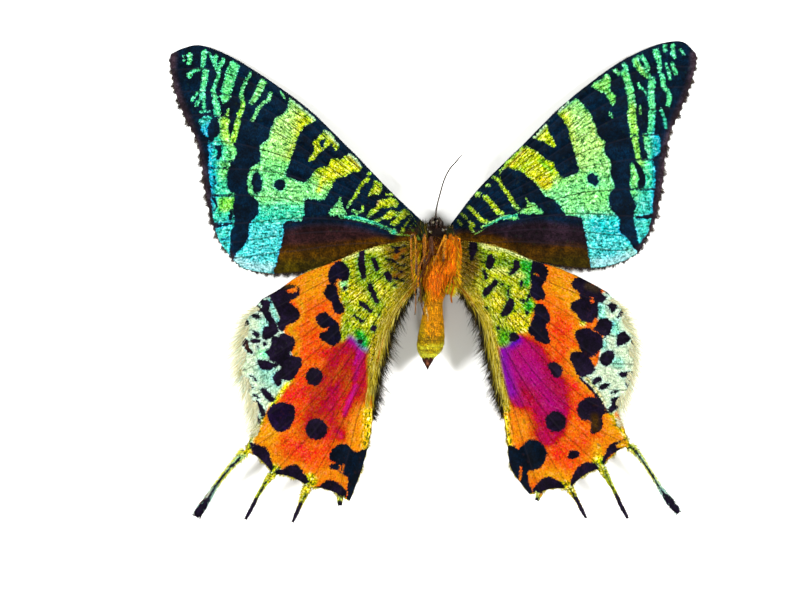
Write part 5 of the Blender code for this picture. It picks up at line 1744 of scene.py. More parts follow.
    def paint(self, mesh: bpy.types.Mesh, plan: np.ndarray, crest: np.ndarray,
              flow: np.ndarray) -> None:
        """Give the sheet its height, its layers and its maps.

        Args:
            mesh: The closed flat sheet.
            plan: Plan place of each numbered vertex.
            crest: Distance of each to the nearest vein.
            flow: Vein position and share of each.
        """
        count = len(mesh.vertices)
        home = np.empty(count, dtype=np.int32)
        mesh.attributes["home"].data.foreach_get("value", home)
        face_side = np.empty(count, dtype=np.float32)
        mesh.attributes["face_side"].data.foreach_get("value", face_side)
        share = np.clip(flow[:, 1], 0.0, 1.0)
        gap = self.fan.gaps(flow[:, 0], share)
        ridge = np.exp(-(crest / self.vein_width) ** 2) * smooth_step(share / 0.15)
        fold = self.pleat * np.cos(2.0 * math.pi * flow[:, 0]) * smooth_step(gap / (2.0 * MM))
        middle = self.level(plan) + fold * (share < 1.0) + self.waves(plan) * smooth_step(share)
        half = self.membrane / 2.0 + self.vein_rise * ridge * (0.4 + 0.6 * (1.0 - share))
        height = middle[home] + face_side * half[home]
        places = np.column_stack((plan[home], np.maximum(0.01 * MM, height)))
        upper = face_side > 0.0
        places[upper, 2] = np.maximum(places[upper, 2], 0.5 * self.membrane)
        write_places(mesh, places)
        painted = self.pattern.paint(to_sheet(plan))
        near_root = 0.85 * smooth_step((0.15 - share) / 0.10)[:, None]
        painted["light"] += (np.array(self.root_tint) - painted["light"]) * near_root
        if self.kind is WingKind.HIND:
            fold_zone = (smooth_step((flow[:, 0] - 9.72) / 0.2) * (share < 1.0)
                         * smooth_step((0.585 - share) / 0.05))[:, None]
            painted["light"] += (np.array(FOLD_TINT) - painted["light"]) * fold_zone
        light, dark, mark = (painted[key][home] for key in ("light", "dark", "mark"))
        back_light, back_dark, back_mark = self.back(plan, painted)
        light = np.where(upper[:, None], light, back_light[home])
        dark = np.where(upper[:, None], dark, back_dark[home])
        mark = np.where(upper, mark, back_mark[home])
        far = 0.6 * (1.0 - smooth_step(gap / (1.1 * MM)))
        write_layer(mesh, "light", light)
        write_layer(mesh, "dark", dark)
        write_layer(mesh, "mark", mark)
        write_layer(mesh, "vein", (crest / MM + far)[home])
        crease = (np.abs(flow[:, 0] % 1.0 - 0.5) * gap / MM + far
                  + 0.5 * (1.0 - smooth_step((share - 0.30) / 0.3)) + (flow[:, 1] > 1.0))
        write_layer(mesh, "crease", crease[home])
        most = np.maximum(light.max(axis=1), 1e-6)
        green, pale = light[:, 1] / most, light.min(axis=1) / most
        grain = (0.12 + 0.88 * smooth_step((green - 0.28) / 0.40)) * (1.0 - 0.55 * smooth_step(
            (pale - 0.3) / 0.4))
        write_layer(mesh, "grain", grain)
        low, high = plan.min(axis=0), plan.max(axis=0)
        spots = (plan[home] - low) / (high - low)
        spots = spots * FACE_SIZE + np.where(upper[:, None], UPPER_FACE, LOWER_FACE)
        write_map(mesh, "OFBake", spots)
        write_map(mesh, "Flow", (flow * FLOW_STEPS)[home])
        for name in ("home", "face_side"):
            mesh.attributes.remove(mesh.attributes[name])

    def back(self, plan: np.ndarray, painted: dict[str, np.ndarray]
             ) -> tuple[np.ndarray, np.ndarray, np.ndarray]:
        """Return the colours and marks of the face that lies below.

        Args:
            plan: Plan places.
            painted: The upper face's layers there.

        Returns:
            Its light colours, its dark colours and its distance into the dark.
        """
        light, mark = painted["light"], painted["mark"] - self.back_grow
        root = np.linalg.norm(plan - self.fan.paths[:, 0].mean(axis=0), axis=1) / MM
        if self.kind is WingKind.FORE:
            tone = np.array(BACK_GREEN)
            light = 0.35 * light + 0.65 * tone * light.sum(axis=1, keepdims=True) / tone.sum()
            dark = np.tile(np.array(BACK_INK), (len(plan), 1))
            return light * 0.8, dark, mark
        base = smooth_step((11.0 - root) / 3.0)
        mark = np.minimum(mark + self.back_grow * 0.5, np.where(base > 0.5, -1.0, 9.0))
        dark = np.tile(np.array(BACK_PLUM), (len(plan), 1))
        return light * 0.92, dark, mark

    def dress_edges(self) -> None:
        """Grow the hair along the edges and the ragged scales along the tails."""
        chance = np.random.default_rng(SEED + len(self.name) + len(self.pattern.washes))
        groups = [self.fringe_coat(fringe, chance) for fringe in self.fringes]
        groups += [self.tail_coat(tail, chance) for tail in self.tails]
        if not groups:
            return
        mesh = Strand(cuts=(0.45,)).grow(joined(groups, 0.75))
        finish = HairFinish(f"{self.name}_fringe_hair")
        place_piece(f"{self.name}_fringe", mesh, finish.make())

    def fringe_coat(self, fringe: Fringe, chance: np.random.Generator) -> Coat:
        """Return the hairs of one stretch of the edge."""
        count = fringe.count
        along = (np.arange(count) + chance.uniform(-0.5, 0.5, count)) / count
        along = np.clip(along, 0.0, 1.0)
        start, end = np.array(fringe.start), np.array(fringe.end)
        marks = start + (end - start) * along[:, None]
        edge = self.fan.spots(marks[:, 0], marks[:, 1])
        middle = self.fan.spots(np.array(WING_MIDDLE[:1]), np.array(WING_MIDDLE[1:]))
        run = unit(np.gradient(edge, axis=0))
        out = np.stack((-run[:, 1], run[:, 0]), axis=1)
        out *= np.sign(np.sum(out * (edge - middle), axis=1, keepdims=True))
        turn = np.sign(out[:, 0] * TAIL_WAY[1] - out[:, 1] * TAIL_WAY[0])
        angle = turn * fringe.lean + chance.normal(0.0, fringe.spread, count)
        cosine, sine = np.cos(angle), np.sin(angle)
        way = np.stack((out[:, 0] * cosine - out[:, 1] * sine,
                        out[:, 0] * sine + out[:, 1] * cosine), axis=1)
        roots = edge - out * chance.uniform(0.05, 1.0, (count, 1)) * fringe.inset
        height = self.level(roots) + self.waves(roots) + chance.normal(0.0, 0.04 * MM, count)
        tilt = chance.normal(-fringe.droop, 0.10, count)
        aims = unit(np.column_stack((way, tilt)))
        short, long = fringe.length
        lengths = short + (long - short) * chance.uniform(size=count) ** fringe.thinning
        swell = np.clip(4.0 * along * (1.0 - along) + 0.35, 0.0, 1.0)
        ripple = np.sin(along * count / 23.0) * np.sin(along * count / 57.0)
        swell *= np.clip(0.62 + 0.80 * ripple, 0.15, 1.3)
        return Coat(np.column_stack((roots, height)), aims, upright(count), lengths * swell,
                    np.full(count, fringe.width) * chance.uniform(0.7, 1.2, count),
                    chance.normal(-0.04, 0.06, count), pick_tints(chance, count, fringe.tints),
                    np.column_stack((along * 0.99, chance.uniform(0.0, 0.99, count))))

    def tail_coat(self, tail: Tail, chance: np.random.Generator) -> Coat:
        """Return the ragged scales that stand out from a tail."""
        count = TAIL_SCALES * len(tail.halves)
        along = (np.arange(count) + 0.5) / count
        path = to_plan(along_curve(read_points(tail.path), along))
        half = np.interp(along, np.linspace(0.0, 1.0, len(tail.halves)), tail.halves)
        way = unit(np.gradient(path, axis=0))
        side = np.stack((-way[:, 1], way[:, 0]), axis=1)
        hand = chance.choice((-1.0, 1.0), count)[:, None]
        offset = side * hand * half[:, None] * SHEET_UNIT
        roots = path + offset * chance.uniform(0.1, 1.0, (count, 1))
        lean = chance.uniform(0.4, 1.9, (count, 1))
        aims = unit(way + side * hand * lean)
        aims = unit(np.column_stack((aims, chance.normal(0.0, 0.15, count))))
        height = self.level(roots) + self.waves(roots)
        lengths = chance.uniform(0.45, 1.1, count) * tail.brush * SHEET_UNIT
        lengths = lengths * np.interp(along, (0.0, 0.15, 0.75, 1.0), (1.2, 1.0, 0.75, 0.55))
        share = smooth_step((along - 0.45) / 0.25)[:, None]
        tints = (np.array(tail.root_tint) * (1.0 - share) + np.array(tail.end_tint) * share)
        tints = tints * chance.uniform(0.55, 1.2, (count, 1))
        inky = chance.uniform(size=count) < 0.12 + 0.60 * smooth_step((along - 0.72) / 0.2)
        tints[inky] = np.array(TAIL_INK) * chance.uniform(0.7, 1.3, (inky.sum(), 1))
        return Coat(np.column_stack((roots, height)), aims, upright(count), lengths,
                    np.full(count, TAIL_SCALE_WIDTH), chance.normal(0.0, 0.06, count), tints,
                    np.column_stack((along * 0.99, chance.uniform(0.0, 0.99, count))))


BORDER_FRINGE = ((3.0, shown(44, 34, 38)), (1.5, shown(70, 60, 58)), (1.0, shown(124, 112, 98)))
PALE_FRINGE = ((3.0, shown(244, 240, 200)), (2.2, shown(220, 212, 154)),
               (1.2, shown(250, 250, 230)), (0.5, shown(150, 138, 84)), (0.8, shown(196, 234, 214)))
BLACK_FRINGE = ((3.0, shown(14, 10, 6)), (1.0, shown(40, 30, 10)), (0.3, shown(96, 80, 26)))
GOLD_FRINGE = ((2.2, shown(214, 192, 60)), (1.2, shown(160, 138, 24)), (1.4, shown(246, 232, 130)),
               (0.5, shown(84, 66, 12)))
OLIVE_FRINGE = ((2.0, shown(150, 140, 24)), (1.0, shown(236, 220, 70)), (0.7, shown(70, 60, 18)))


def forewing_fringes() -> tuple[Fringe, ...]:
    """Return the short dark fringe of a forewing's outer and inner edge."""
    outer = Fringe((0.3, 1.0), (9.95, 1.0), 3200, (0.45 * MM, 0.95 * MM), 0.030 * MM, 0.30, 0.26,
                   0.14 * MM, BORDER_FRINGE)
    inner = Fringe((10.0, 0.42), (10.0, 1.0), 2200, (0.40 * MM, 0.90 * MM), 0.030 * MM, 0.5, 0.30,
                   0.14 * MM, BORDER_FRINGE)
    costa = Fringe((0.0, 0.05), (0.0, 0.97), 1000, (0.14 * MM, 0.32 * MM), 0.026 * MM, -1.1, 0.25,
                   0.10 * MM, BORDER_FRINGE)
    return outer, inner, costa


def hindwing_fringes(wear: float) -> tuple[Fringe, ...]:
    """Return the pale outer fringe, the dark inner fold and the golden hair of a hindwing.

    Args:
        wear: Length of the pale fringe against the fullest one.

    Returns:
        The stretches of hair.
    """
    pale = Fringe((0.3, 1.0), (5.4, 1.0), 6400, (0.8 * wear * MM, 6.0 * wear * MM), 0.026 * MM,
                  0.85, 0.20, 0.90 * MM, PALE_FRINGE, thinning=2.2)
    short = Fringe((5.0, 1.0), (9.9, 1.0), 1500, (0.25 * MM, 0.7 * MM), 0.032 * MM, 0.1, 0.4,
                   0.10 * MM, OLIVE_FRINGE)
    costa = Fringe((0.0, 0.05), (0.0, 0.97), 700, (0.15 * MM, 0.35 * MM), 0.03 * MM, 0.9, 0.3,
                   0.10 * MM, GOLD_FRINGE)
    fold = Fringe((10.0, 0.03), (10.0, 0.63), 5200, (1.7 * MM, 3.3 * MM), 0.042 * MM, 0.80, 0.22,
                  0.55 * MM, BLACK_FRINGE, droop=0.10)
    gold = Fringe((10.0, 0.02), (10.0, 0.58), 2600, (1.9 * MM, 3.6 * MM), 0.030 * MM, 1.38, 0.14,
                  1.30 * MM, GOLD_FRINGE, droop=-0.05)
    end = Fringe((10.0, 0.60), (10.0, 0.98), 700, (0.2 * MM, 0.6 * MM), 0.030 * MM, 0.6, 0.3,
                 0.10 * MM, OLIVE_FRINGE)
    return pale, short, costa, fold, gold, end


# Stations of the skin from the face to the tail: y, middle x, half width, lowest z and
# highest z, in mm
SKIN_STATIONS = (
    "7.02 -0.25 0.12 3.60 4.10, 6.94 -0.24 0.52 3.20 4.62, 6.74 -0.22 0.90 2.85 4.92, "
    "6.40 -0.18 1.14 2.60 5.12, 6.00 -0.14 1.28 2.45 5.24, 5.50 -0.08 1.36 2.38 5.32, "
    "5.00 -0.03 1.38 2.36 5.36, 4.60 0 1.40 2.36 5.38, 4.30 0 1.46 2.25 5.44, "
    "4.05 0 1.62 2.00 5.56, 3.80 0 1.88 1.65 5.72, 3.50 0 2.16 1.25 5.92, 3.15 0 2.42 0.92 6.16, "
    "2.70 0 2.66 0.60 6.42, 2.00 0 2.88 0.36 6.64, 0.80 0 3.02 0.26 6.82, "
    "-0.60 -0.10 3.02 0.25 6.82, -2.00 -0.20 2.82 0.28 6.65, -3.40 -0.30 2.44 0.42 6.32, "
    "-4.60 -0.40 2.02 0.72 5.88, -5.60 -0.52 1.66 1.22 5.42, -6.40 -0.58 1.50 1.66 5.06, "
    "-7.20 -0.64 1.54 1.70 5.00, -8.20 -0.68 1.62 1.58 5.06, -9.90 -0.78 1.88 1.32 5.14, "
    "-11.60 -0.90 2.10 1.12 5.10, -12.90 -1.02 2.18 1.10 4.96, -14.00 -1.16 1.97 1.32 4.66, "
    "-14.90 -1.33 1.42 1.76 4.22, -15.30 -1.40 1.06 2.05 3.95, -15.70 -1.46 0.86 2.25 3.82, "
    "-16.20 -1.48 0.56 2.55 3.65, -16.70 -1.50 0.28 2.84 3.46, -17.00 -1.51 0.08 3.05 3.28"
)
NECK_Y = 4.05 * MM
WAIST_Y = -6.40 * MM
TIP_Y = -15.20 * MM
STATION_STEPS = 600

# Steps that spread points evenly over a square, and around a leg
EVEN_STEPS = (0.7548776662, 0.5698402910)
EVEN_TURN = 0.618034

# Places of the body's map on the bake map, and the rings of legs, feelers and palps
MAP_EDGE = 0.004
MAP_SIZE = 0.99
LEG_FLOW = 0.02
LEG_RINGS = 15.0
FEELER_FLOW = 0.0124
FEELER_RINGS = 62.0
PALP_FLOW = 0.002

BROWN_HAIR = shown(72, 46, 26)
UMBER = shown(40, 24, 14)
ORANGE_HAIR = shown(250, 138, 24)
DEEP_ORANGE = shown(232, 98, 14)
FLAME = shown(255, 118, 26)
AMBER = shown(255, 190, 56)
GOLD_SCALE = shown(244, 204, 44)
OLIVE_GOLD = shown(176, 150, 30)
BAND_YELLOW = shown(250, 248, 84)
WHITISH = shown(232, 232, 226)
STRAW = shown(214, 200, 120)
DARK_MOSS = shown(84, 70, 18)
BOTTLE_GREEN = shown(26, 58, 34)
BACK_BLACK = shown(20, 24, 22)

BODY_PATTERN = Pattern(
    ground=ORANGE_HAIR,
    washes=(
        Wash(UMBER, 2, "425 212, 450 212, 452 226, 449 236, 437 240, 424 237, 421 226"),
        Wash(FLAME, 5, "440 262, 452 262, 450 296, 424 300, 424 284, 432 268", 0.8),
        # Painted shadow of the left legs on the thorax hair.
        Wash(shown(78, 30, 12), 2.5, "418 236, 441 238, 437 252, 431 262, 425 276, 418 282, "
             "415 262", 0.85),
        Wash(shown(214, 130, 24), 3, "448 236, 458 240, 457 276, 450 272", 0.8),
        Wash(AMBER, 4, "418 290, 430 290, 430 304, 416 304", 0.8),
        Wash(AMBER, 4, "442 288, 458 286, 457 300, 442 304", 0.6),
        Wash(shown(196, 60, 10), 1.2, "1.8: 439 264, 438.4 270, 439 277", 0.8),
        Wash(shown(120, 34, 10), 1.2, "2.6: 447 282, 443 285.5, 441 289", 0.85),
        Wash(GOLD_SCALE, 4, "414 306, 456 306, 456 362, 412 362"),
        Wash(shown(250, 158, 30), 5, "424 300, 443 300, 442 334, 426 336", 0.9),
        Wash(shown(104, 84, 16), 3, "5: 419 318, 416.5 330, 416 344", 0.8),
        Wash(shown(104, 84, 16), 2.5, "3.5: 445 318, 446 334, 445 346", 0.7),
        Wash(shown(150, 112, 18), 4, "414 336, 448 335, 448 342, 431 344, 414 342", 0.7),
        Wash(shown(246, 244, 180), 0.7, "1.4: 426.2 307.6, 427.6 315"),
        Wash(BAND_YELLOW, 2, "3.6: 417.5 345, 423 347.4, 431 345.6, 438 346.6, 444 343", 0.9),
        Wash(shown(84, 62, 12), 1.6, "2.6: 416 349, 423 350.4, 430 349.6, 437 351.4, "
             "444 348", 0.85),
        Wash(BAND_YELLOW, 1.8, "5.4: 419 353, 426 354.4, 434 355.4, 441 352.4"),
        Wash(shown(64, 28, 16), 1, "419 358, 436 358.6, 432 376, 422 376"),
        Wash(shown(176, 112, 84), 1, "o 1.6 2.6: 427.2 362", 0.8),
    ),
    ink=shown(58, 44, 12),
)


@dataclass(frozen=True)
class Tuft:
    """A bunch of longer hairs that grow together.

    Attributes:
        low: Lowest corner of the space where they root, in mm.
        high: Its highest corner.
        aim: The way they point.
        spread: Chance part of that way.
        lengths: Shortest and longest hair, in mm.
        count: How many hairs.
        tints: Colours and their weights.
        lift: How far their tips bend up, as a share of their length.
    """

    low: tuple[float, float, float]
    high: tuple[float, float, float]
    aim: tuple[float, float, float]
    spread: float
    lengths: tuple[float, float]
    count: int
    tints: tuple[tuple[float, tuple[float, float, float]], ...]
    lift: float = -0.08

    def coat(self, body: "Body", chance: np.random.Generator) -> Coat:
        """Return the hairs.

        Args:
            body: The body that they grow on.
            chance: The source of chance.

        Returns:
            Where each hair stands and how it looks.
        """
        low, high = np.array(self.low) * MM, np.array(self.high) * MM
        roots = low + (high - low) * chance.uniform(size=(self.count, 3))
        pull, mess = body.tufts(roots, (0.30, 0.45, 0.40))
        aims = unit(np.array(self.aim) + 0.6 * self.spread * mess + 0.3 * self.spread * pull
                    + chance.normal(0.0, 0.6 * self.spread, (self.count, 3)))
        lengths = chance.uniform(*self.lengths, self.count) * MM * (1.0 + 0.25 * mess[:, 1])
        tints = pick_tints(chance, self.count, self.tints) * (1.0 + 0.45 * mess[:, :1])
        return Coat(roots, aims, upright(self.count), lengths,
                    chance.uniform(0.030, 0.055, self.count) * MM,
                    chance.normal(self.lift, 0.06, self.count), tints, body.unwrap(roots))


HEAD_TINTS = ((6.0, shown(26, 12, 12)), (2.0, UMBER), (0.5, BROWN_HAIR))
FLANK_TINTS = ((2.0, OLIVE_GOLD), (1.5, BROWN_HAIR), (1.2, GOLD_SCALE), (1.0, DEEP_ORANGE),
               (0.6, AMBER))
COLLAR_TINTS = ((3.0, BOTTLE_GREEN), (3.0, UMBER), (1.0, BROWN_HAIR), (0.6, OLIVE_GOLD))
TUFTS = (
    Tuft((-2.45, 3.2, 3.5), (-1.30, 4.6, 5.0), (-0.26, 1.0, 0.04), 0.24, (1.2, 2.3), 1700,
         COLLAR_TINTS),
    Tuft((1.30, 3.2, 3.5), (2.20, 4.4, 5.0), (0.22, 1.0, 0.04), 0.24, (0.8, 1.7), 1200,
         COLLAR_TINTS),
    Tuft((1.3, 3.6, 6.7), (2.7, -0.6, 7.0), (-0.26, -1.0, 0.05), 0.20, (1.0, 2.2), 3600,
         ((3.0, ORANGE_HAIR), (3.0, DEEP_ORANGE), (0.7, AMBER), (0.5, BROWN_HAIR))),
    Tuft((-3.05, -2.6, 4.6), (-2.45, 3.0, 5.7), (-0.50, -1.0, 0.06), 0.26, (0.9, 1.9), 3400,
         FLANK_TINTS),
    Tuft((2.45, -2.8, 4.6), (2.95, 2.8, 5.7), (0.36, -1.0, 0.06), 0.26, (0.9, 1.8), 3200,
         FLANK_TINTS),
    Tuft((0.90, -4.4, 4.4), (2.00, -3.1, 5.4), (0.75, -0.7, -0.04), 0.20, (1.2, 2.2), 520,
         ((3.0, shown(224, 214, 60)), (1.5, OLIVE_GOLD), (1.0, GOLD_SCALE))),
    Tuft((-2.50, -5.0, 4.2), (-1.80, -3.4, 5.2), (-0.20, -1.0, 0.0), 0.20, (1.0, 2.0), 520,
         ((2.0, BROWN_HAIR), (1.5, OLIVE_GOLD), (1.0, UMBER))),
)


@dataclass
class Body:
    """Head, thorax and abdomen under one skin, with the coat that grows on it.

    Attributes:
        sides: Points around the skin.
        rings: Points along it.
        roundness: Power of its cross-section; 2 is an oval and more is squarer.
        grooves: Places of the abdomen's rings along the body.
        groove_width: Half width of the groove between two rings.
        thorax_count: Hairs of the thorax.
        abdomen_count: Hairs and scales of the abdomen.
        head_count: Hairs of the head.
        stations: Rows of the skin's stations at even shares of its length.
        spacing: Share of the skin's area in front of each of them.
    """

    sides: int = 72
    rings: int = 260
    roundness: float = 2.25
    grooves: tuple[float, ...] = tuple(
        MM * y for y in (-6.9, -8.3, -9.7, -11.1, -12.4, -13.5, -14.5))
    groove_width: float = 0.14 * MM
    thorax_count: int = 18500
    abdomen_count: int = 17500
    head_count: int = 10500
    stations: np.ndarray = field(init=False)
    spacing: np.ndarray = field(init=False)

    def __post_init__(self) -> None:
        """Trace the stations and find how the skin's area runs along them."""
        table = read_points(SKIN_STATIONS) * MM
        self.stations = along_curve(table, np.linspace(0.0, 1.0, STATION_STEPS + 1))
        around = self.stations[:, 2] + (self.stations[:, 4] - self.stations[:, 3]) / 2.0
        step = np.linalg.norm(np.diff(self.stations[:, :3], axis=0), axis=1)
        area_sum = np.concatenate(([0.0], np.cumsum(step * (around[1:] + around[:-1]))))
        self.spacing = area_sum / area_sum[-1]

    def skin(self, share: np.ndarray, angle: np.ndarray) -> np.ndarray:
        """Return skin points at shares of the stations and angles around the middle."""
        place = np.clip(share, 0.0, 1.0) * STATION_STEPS
        rows = np.stack([np.interp(place, np.arange(STATION_STEPS + 1.0), column)
                         for column in self.stations.T], axis=1)
        cosine, sine = np.cos(angle), np.sin(angle)
        power = 2.0 / self.roundness
        x = np.sign(cosine) * np.abs(cosine) ** power
        z = np.sign(sine) * np.abs(sine) ** power
        gaps = np.abs(rows[:, 0:1] - np.array(self.grooves))
        squeeze = 1.0 - 0.014 * np.exp(-(gaps.min(axis=1) / self.groove_width) ** 2)
        middle, half = (rows[:, 3] + rows[:, 4]) / 2.0, (rows[:, 4] - rows[:, 3]) / 2.0
        return np.stack((rows[:, 1] + rows[:, 2] * x * squeeze, rows[:, 0],
                         middle + half * z * squeeze), axis=1)

    def normals(self, share: np.ndarray, angle: np.ndarray) -> np.ndarray:
        """Return outward normals of the skin."""
        along = self.skin(share + 0.002, angle) - self.skin(share - 0.002, angle)
        around = self.skin(share, angle + 0.02) - self.skin(share, angle - 0.02)
        return unit(np.cross(along, around))

    def build(self) -> None:
        """Build the skin and its coats."""
        self.build_skin()
        self.place_coat("thorax_coat", self.thorax_coat(), Strand(cuts=(0.5,)))
        self.place_coat("abdomen_coat", self.abdomen_coat(), Strand(cuts=(0.45,), flat=0.35))
        self.place_coat("head_coat", self.head_coat(), Strand(cuts=(0.45,)))
        chance = np.random.default_rng(SEED + 4)
        groups = [tuft.coat(self, chance) for tuft in TUFTS]
        self.place_coat("body_tufts", joined(groups), Strand(cuts=(0.45,)))

    def place_coat(self, name: str, coat: Coat, strand: Strand) -> None:
        """Grow one coat and link it."""
        place_piece(name, strand.grow(coat), HairFinish(f"{name}_hair").make())

    def build_skin(self) -> None:
        """Build the skin, tinted like the roots of its coat and darker than it: painted shade below
        the hair.
        """
        share = np.linspace(0.0, 1.0, self.rings)
        angle = np.arange(self.sides) * 2.0 * math.pi / self.sides
        shares, angles = np.repeat(share, self.sides), np.tile(angle, self.rings)
        rings = self.skin(shares, angles).reshape(self.rings, self.sides, 3)
        mesh = closed_loft(rings)
        places = read_places(mesh)
        # The skin at 0.45 of the coat's colour: painted shade below the hair.
        write_layer(mesh, "tint", 0.45 * self.tints(places))
        write_map(mesh, "OFBake", self.unwrap(places))
        place_piece("body_skin", mesh, SkinFinish("body_skin_fur").make(),
                    ("thorax", "abdomen", "abdomen_tip", "head"))

    def unwrap(self, places: np.ndarray) -> np.ndarray:
        """Return bake map spots of skin places: around the body and along it."""
        middle = np.interp(-places[:, 1], -self.stations[:, 0], self.stations[:, 1])
        height = np.interp(-places[:, 1], -self.stations[:, 0],
                           (self.stations[:, 3] + self.stations[:, 4]) / 2.0)
        turn = np.arctan2(places[:, 2] - height, places[:, 0] - middle) / (2.0 * math.pi) % 1.0
        along = np.interp(-places[:, 1], -self.stations[:, 0], self.spacing)
        return MAP_EDGE + MAP_SIZE * np.stack((turn, along), axis=1)

    def tints(self, places: np.ndarray) -> np.ndarray:
        """Return the coat's colours at places of the skin."""
        colour = BODY_PATTERN.paint(to_sheet(places))["light"]
        y = places[:, 1]
        back = smooth_step((2.9 * MM - places[:, 2]) / (1.6 * MM))[:, None]
        lower = np.where((y > WAIST_Y)[:, None], np.array(BACK_BLACK), 0.45 * colour)
        colour = colour * (1.0 - back) + lower * back
        on_abdomen = smooth_step((WAIST_Y - y) / (0.4 * MM)) * (y > TIP_Y)
        groove = np.exp(-((np.abs(y[:, None] - np.array(self.grooves))).min(axis=1)
                          / (0.22 * MM)) ** 2)
        low_part = smooth_step((-10.5 * MM - y) / (3.0 * MM))
        shade = 1.0 - 0.14 * low_part * on_abdomen * groove
        return colour * shade[:, None]

    def scatter(self, count: int, low: float, high: float, chance: np.random.Generator
                ) -> tuple[np.ndarray, np.ndarray, np.ndarray, np.ndarray]:
        """Return evenly spread roots between two places along the body.

        Args:
            count: How many roots.
            low: Lowest y.
            high: Highest y.
            chance: The source of chance.

        Returns:
            Roots, outward normals, angles around the body and bake map spots.
        """
        ends = np.interp((-high, -low), -self.stations[:, 0], self.spacing)
        number = np.arange(count)
        even = (0.5 + number * EVEN_STEPS[0]) % 1.0
        turn = (0.5 + number * EVEN_STEPS[1]) % 1.0
        area_share = ends[0] + (ends[1] - ends[0]) * even
        share = np.interp(area_share, self.spacing, np.linspace(0.0, 1.0, STATION_STEPS + 1))
        angle = turn * 2.0 * math.pi + chance.normal(0.0, 0.01, count)
        roots = self.skin(share, angle)
        return (roots, self.normals(share, angle), angle,
                MAP_EDGE + 0.985 * np.stack((angle / (2.0 * math.pi) % 1.0, area_share), axis=1))

    @staticmethod
    def tufts(roots: np.ndarray, size: tuple[float, float, float]) -> tuple[np.ndarray, np.ndarray]:
        """Return how the hairs bunch into tufts.

        Args:
            roots: Their roots.
            size: Size of a tuft, in mm.

        Returns:
            The way from each root to the middle of its tuft, and three chance values of it.
        """
        place = roots / (np.array(size) * MM)
        place[:, 1] += 0.5 * np.round(place[:, 0]) + 0.3 * np.round(place[:, 2])
        cell = np.round(place)
        turns = np.array(((12.9, 78.2, 37.7), (39.3, 11.1, 83.1), (73.1, 52.2, 9.2)))
        return cell - place, np.sin(cell @ turns.T)

    def thorax_coat(self) -> Coat:
        """Return the long streaked hair of the thorax, combed back and out over the wings."""
        chance = np.random.default_rng(SEED + 1)
        count = self.thorax_count
        roots, normals, angle, patches = self.scatter(count, WAIST_Y, NECK_Y, chance)
        side = np.clip((roots[:, 0] / MM + 0.1) / 3.0, -1.0, 1.0)
        y = roots[:, 1] / MM
        wide = smooth_step((np.abs(side) - 0.55) / 0.4)
        back = np.column_stack((side * (0.30 + 0.75 * wide), -np.ones(count), 0.25 * wide))
        front = smooth_step((y - 3.3) / 0.6)
        shoulder = smooth_step((np.abs(side) - 0.45) / 0.3) * smooth_step((y - 1.6) / 1.4)
        back[:, 0] += side * shoulder
        back[:, 1] += 1.3 * shoulder
        pull, mess = self.tufts(roots, (0.40, 0.85, 0.50))
        aims = back + 0.26 * mess + 0.55 * pull + chance.normal(0.0, 0.07, (count, 3))
        aims -= normals * np.sum(aims * normals, axis=1, keepdims=True)
        rise = 0.14 + 0.20 * shoulder + 0.55 * wide + 0.2 * front + chance.normal(0.0, 0.05, count)
        aims = unit(unit(aims) + normals * rise[:, None])
        lengths = chance.uniform(0.9, 1.6, count) * (1.0 + 0.45 * wide)
        lengths *= 1.0 - 0.35 * front
        lengths *= np.interp(y, (-6.4, -5.0, -2.0), (0.8, 1.15, 1.0)) * MM
        under = np.sin(angle) < -0.25
        lengths[under] *= 0.40
        tints = self.tints(roots) * chance.uniform(0.78, 1.22, (count, 1))
        warm = chance.uniform(size=count)
        tints[(warm < 0.10) & ~under] = np.array(AMBER)
        tints[(warm > 0.94) & ~under] = np.array(BROWN_HAIR)
        tints *= 1.0 + 0.42 * mess[:, :1]
        rim = (wide > 0.5) & ~under & (chance.uniform(size=count) < 0.55)
        tints[rim] = pick_tints(chance, int(rim.sum()), ((2.0, OLIVE_GOLD), (1.5, BROWN_HAIR),
                                                         (1.0, GOLD_SCALE), (1.0, DEEP_ORANGE)))
        green = (shoulder > 0.5) & (chance.uniform(size=count) < 0.55)
        tints[green] = np.array(BOTTLE_GREEN) * chance.uniform(0.6, 1.6, (green.sum(), 1))
        return Coat(roots, aims, normals, lengths, chance.uniform(0.030, 0.060, count) * MM,
                    chance.normal(-0.10, 0.06, count), tints, patches, root_shade=0.62)

    def abdomen_coat(self) -> Coat:
        """Return the scales and hair of the abdomen, longest along its flanks and at its waist."""
        chance = np.random.default_rng(SEED + 2)
        count = self.abdomen_count
        roots, normals, angle, patches = self.scatter(count, -16.95 * MM, WAIST_Y + 0.6 * MM,
                                                      chance)
        y = roots[:, 1] / MM
        flank = np.abs(np.cos(angle)) ** 2
        tip = smooth_step((-14.9 - y) / 0.7)
        waist = smooth_step((y + 11.0) / 3.0)
        inward = -0.45 * np.cos(angle) * tip
        pull, mess = self.tufts(roots, (0.36, 0.60, 0.40))
        back = np.column_stack((0.25 * np.cos(angle) * flank + inward, -np.ones(count),
                                np.zeros(count)))
        aims = back + 0.14 * mess + 0.30 * pull + chance.normal(0.0, 0.13, (count, 3))
        aims -= normals * np.sum(aims * normals, axis=1, keepdims=True)
        long_hair = chance.uniform(size=count) < np.maximum(0.75 * waist, 0.22 + 0.2 * flank)
        long_hair |= tip > 0.6
        edge = (tip < 0.5) & (chance.uniform(size=count) < 0.10 + 0.38 * flank)
        rise = np.where(edge, 0.16 + 1.10 * flank, 0.16) + chance.normal(0.0, 0.06, count)
        rise *= 1.0 - 0.7 * tip
        aims = unit(unit(aims) + normals * rise[:, None])
        lengths = np.where(long_hair, chance.uniform(0.55, 1.10, count) + 0.25 * waist,
                           chance.uniform(0.28, 0.46, count)) * MM
        lengths *= 1.0 - 0.45 * tip
        lengths[edge] *= 1.5
        widths = np.where(long_hair, chance.uniform(0.035, 0.06, count),
                          chance.uniform(0.06, 0.10, count)) * MM
        tints = self.tints(roots) * chance.uniform(0.60, 1.40, (count, 1))
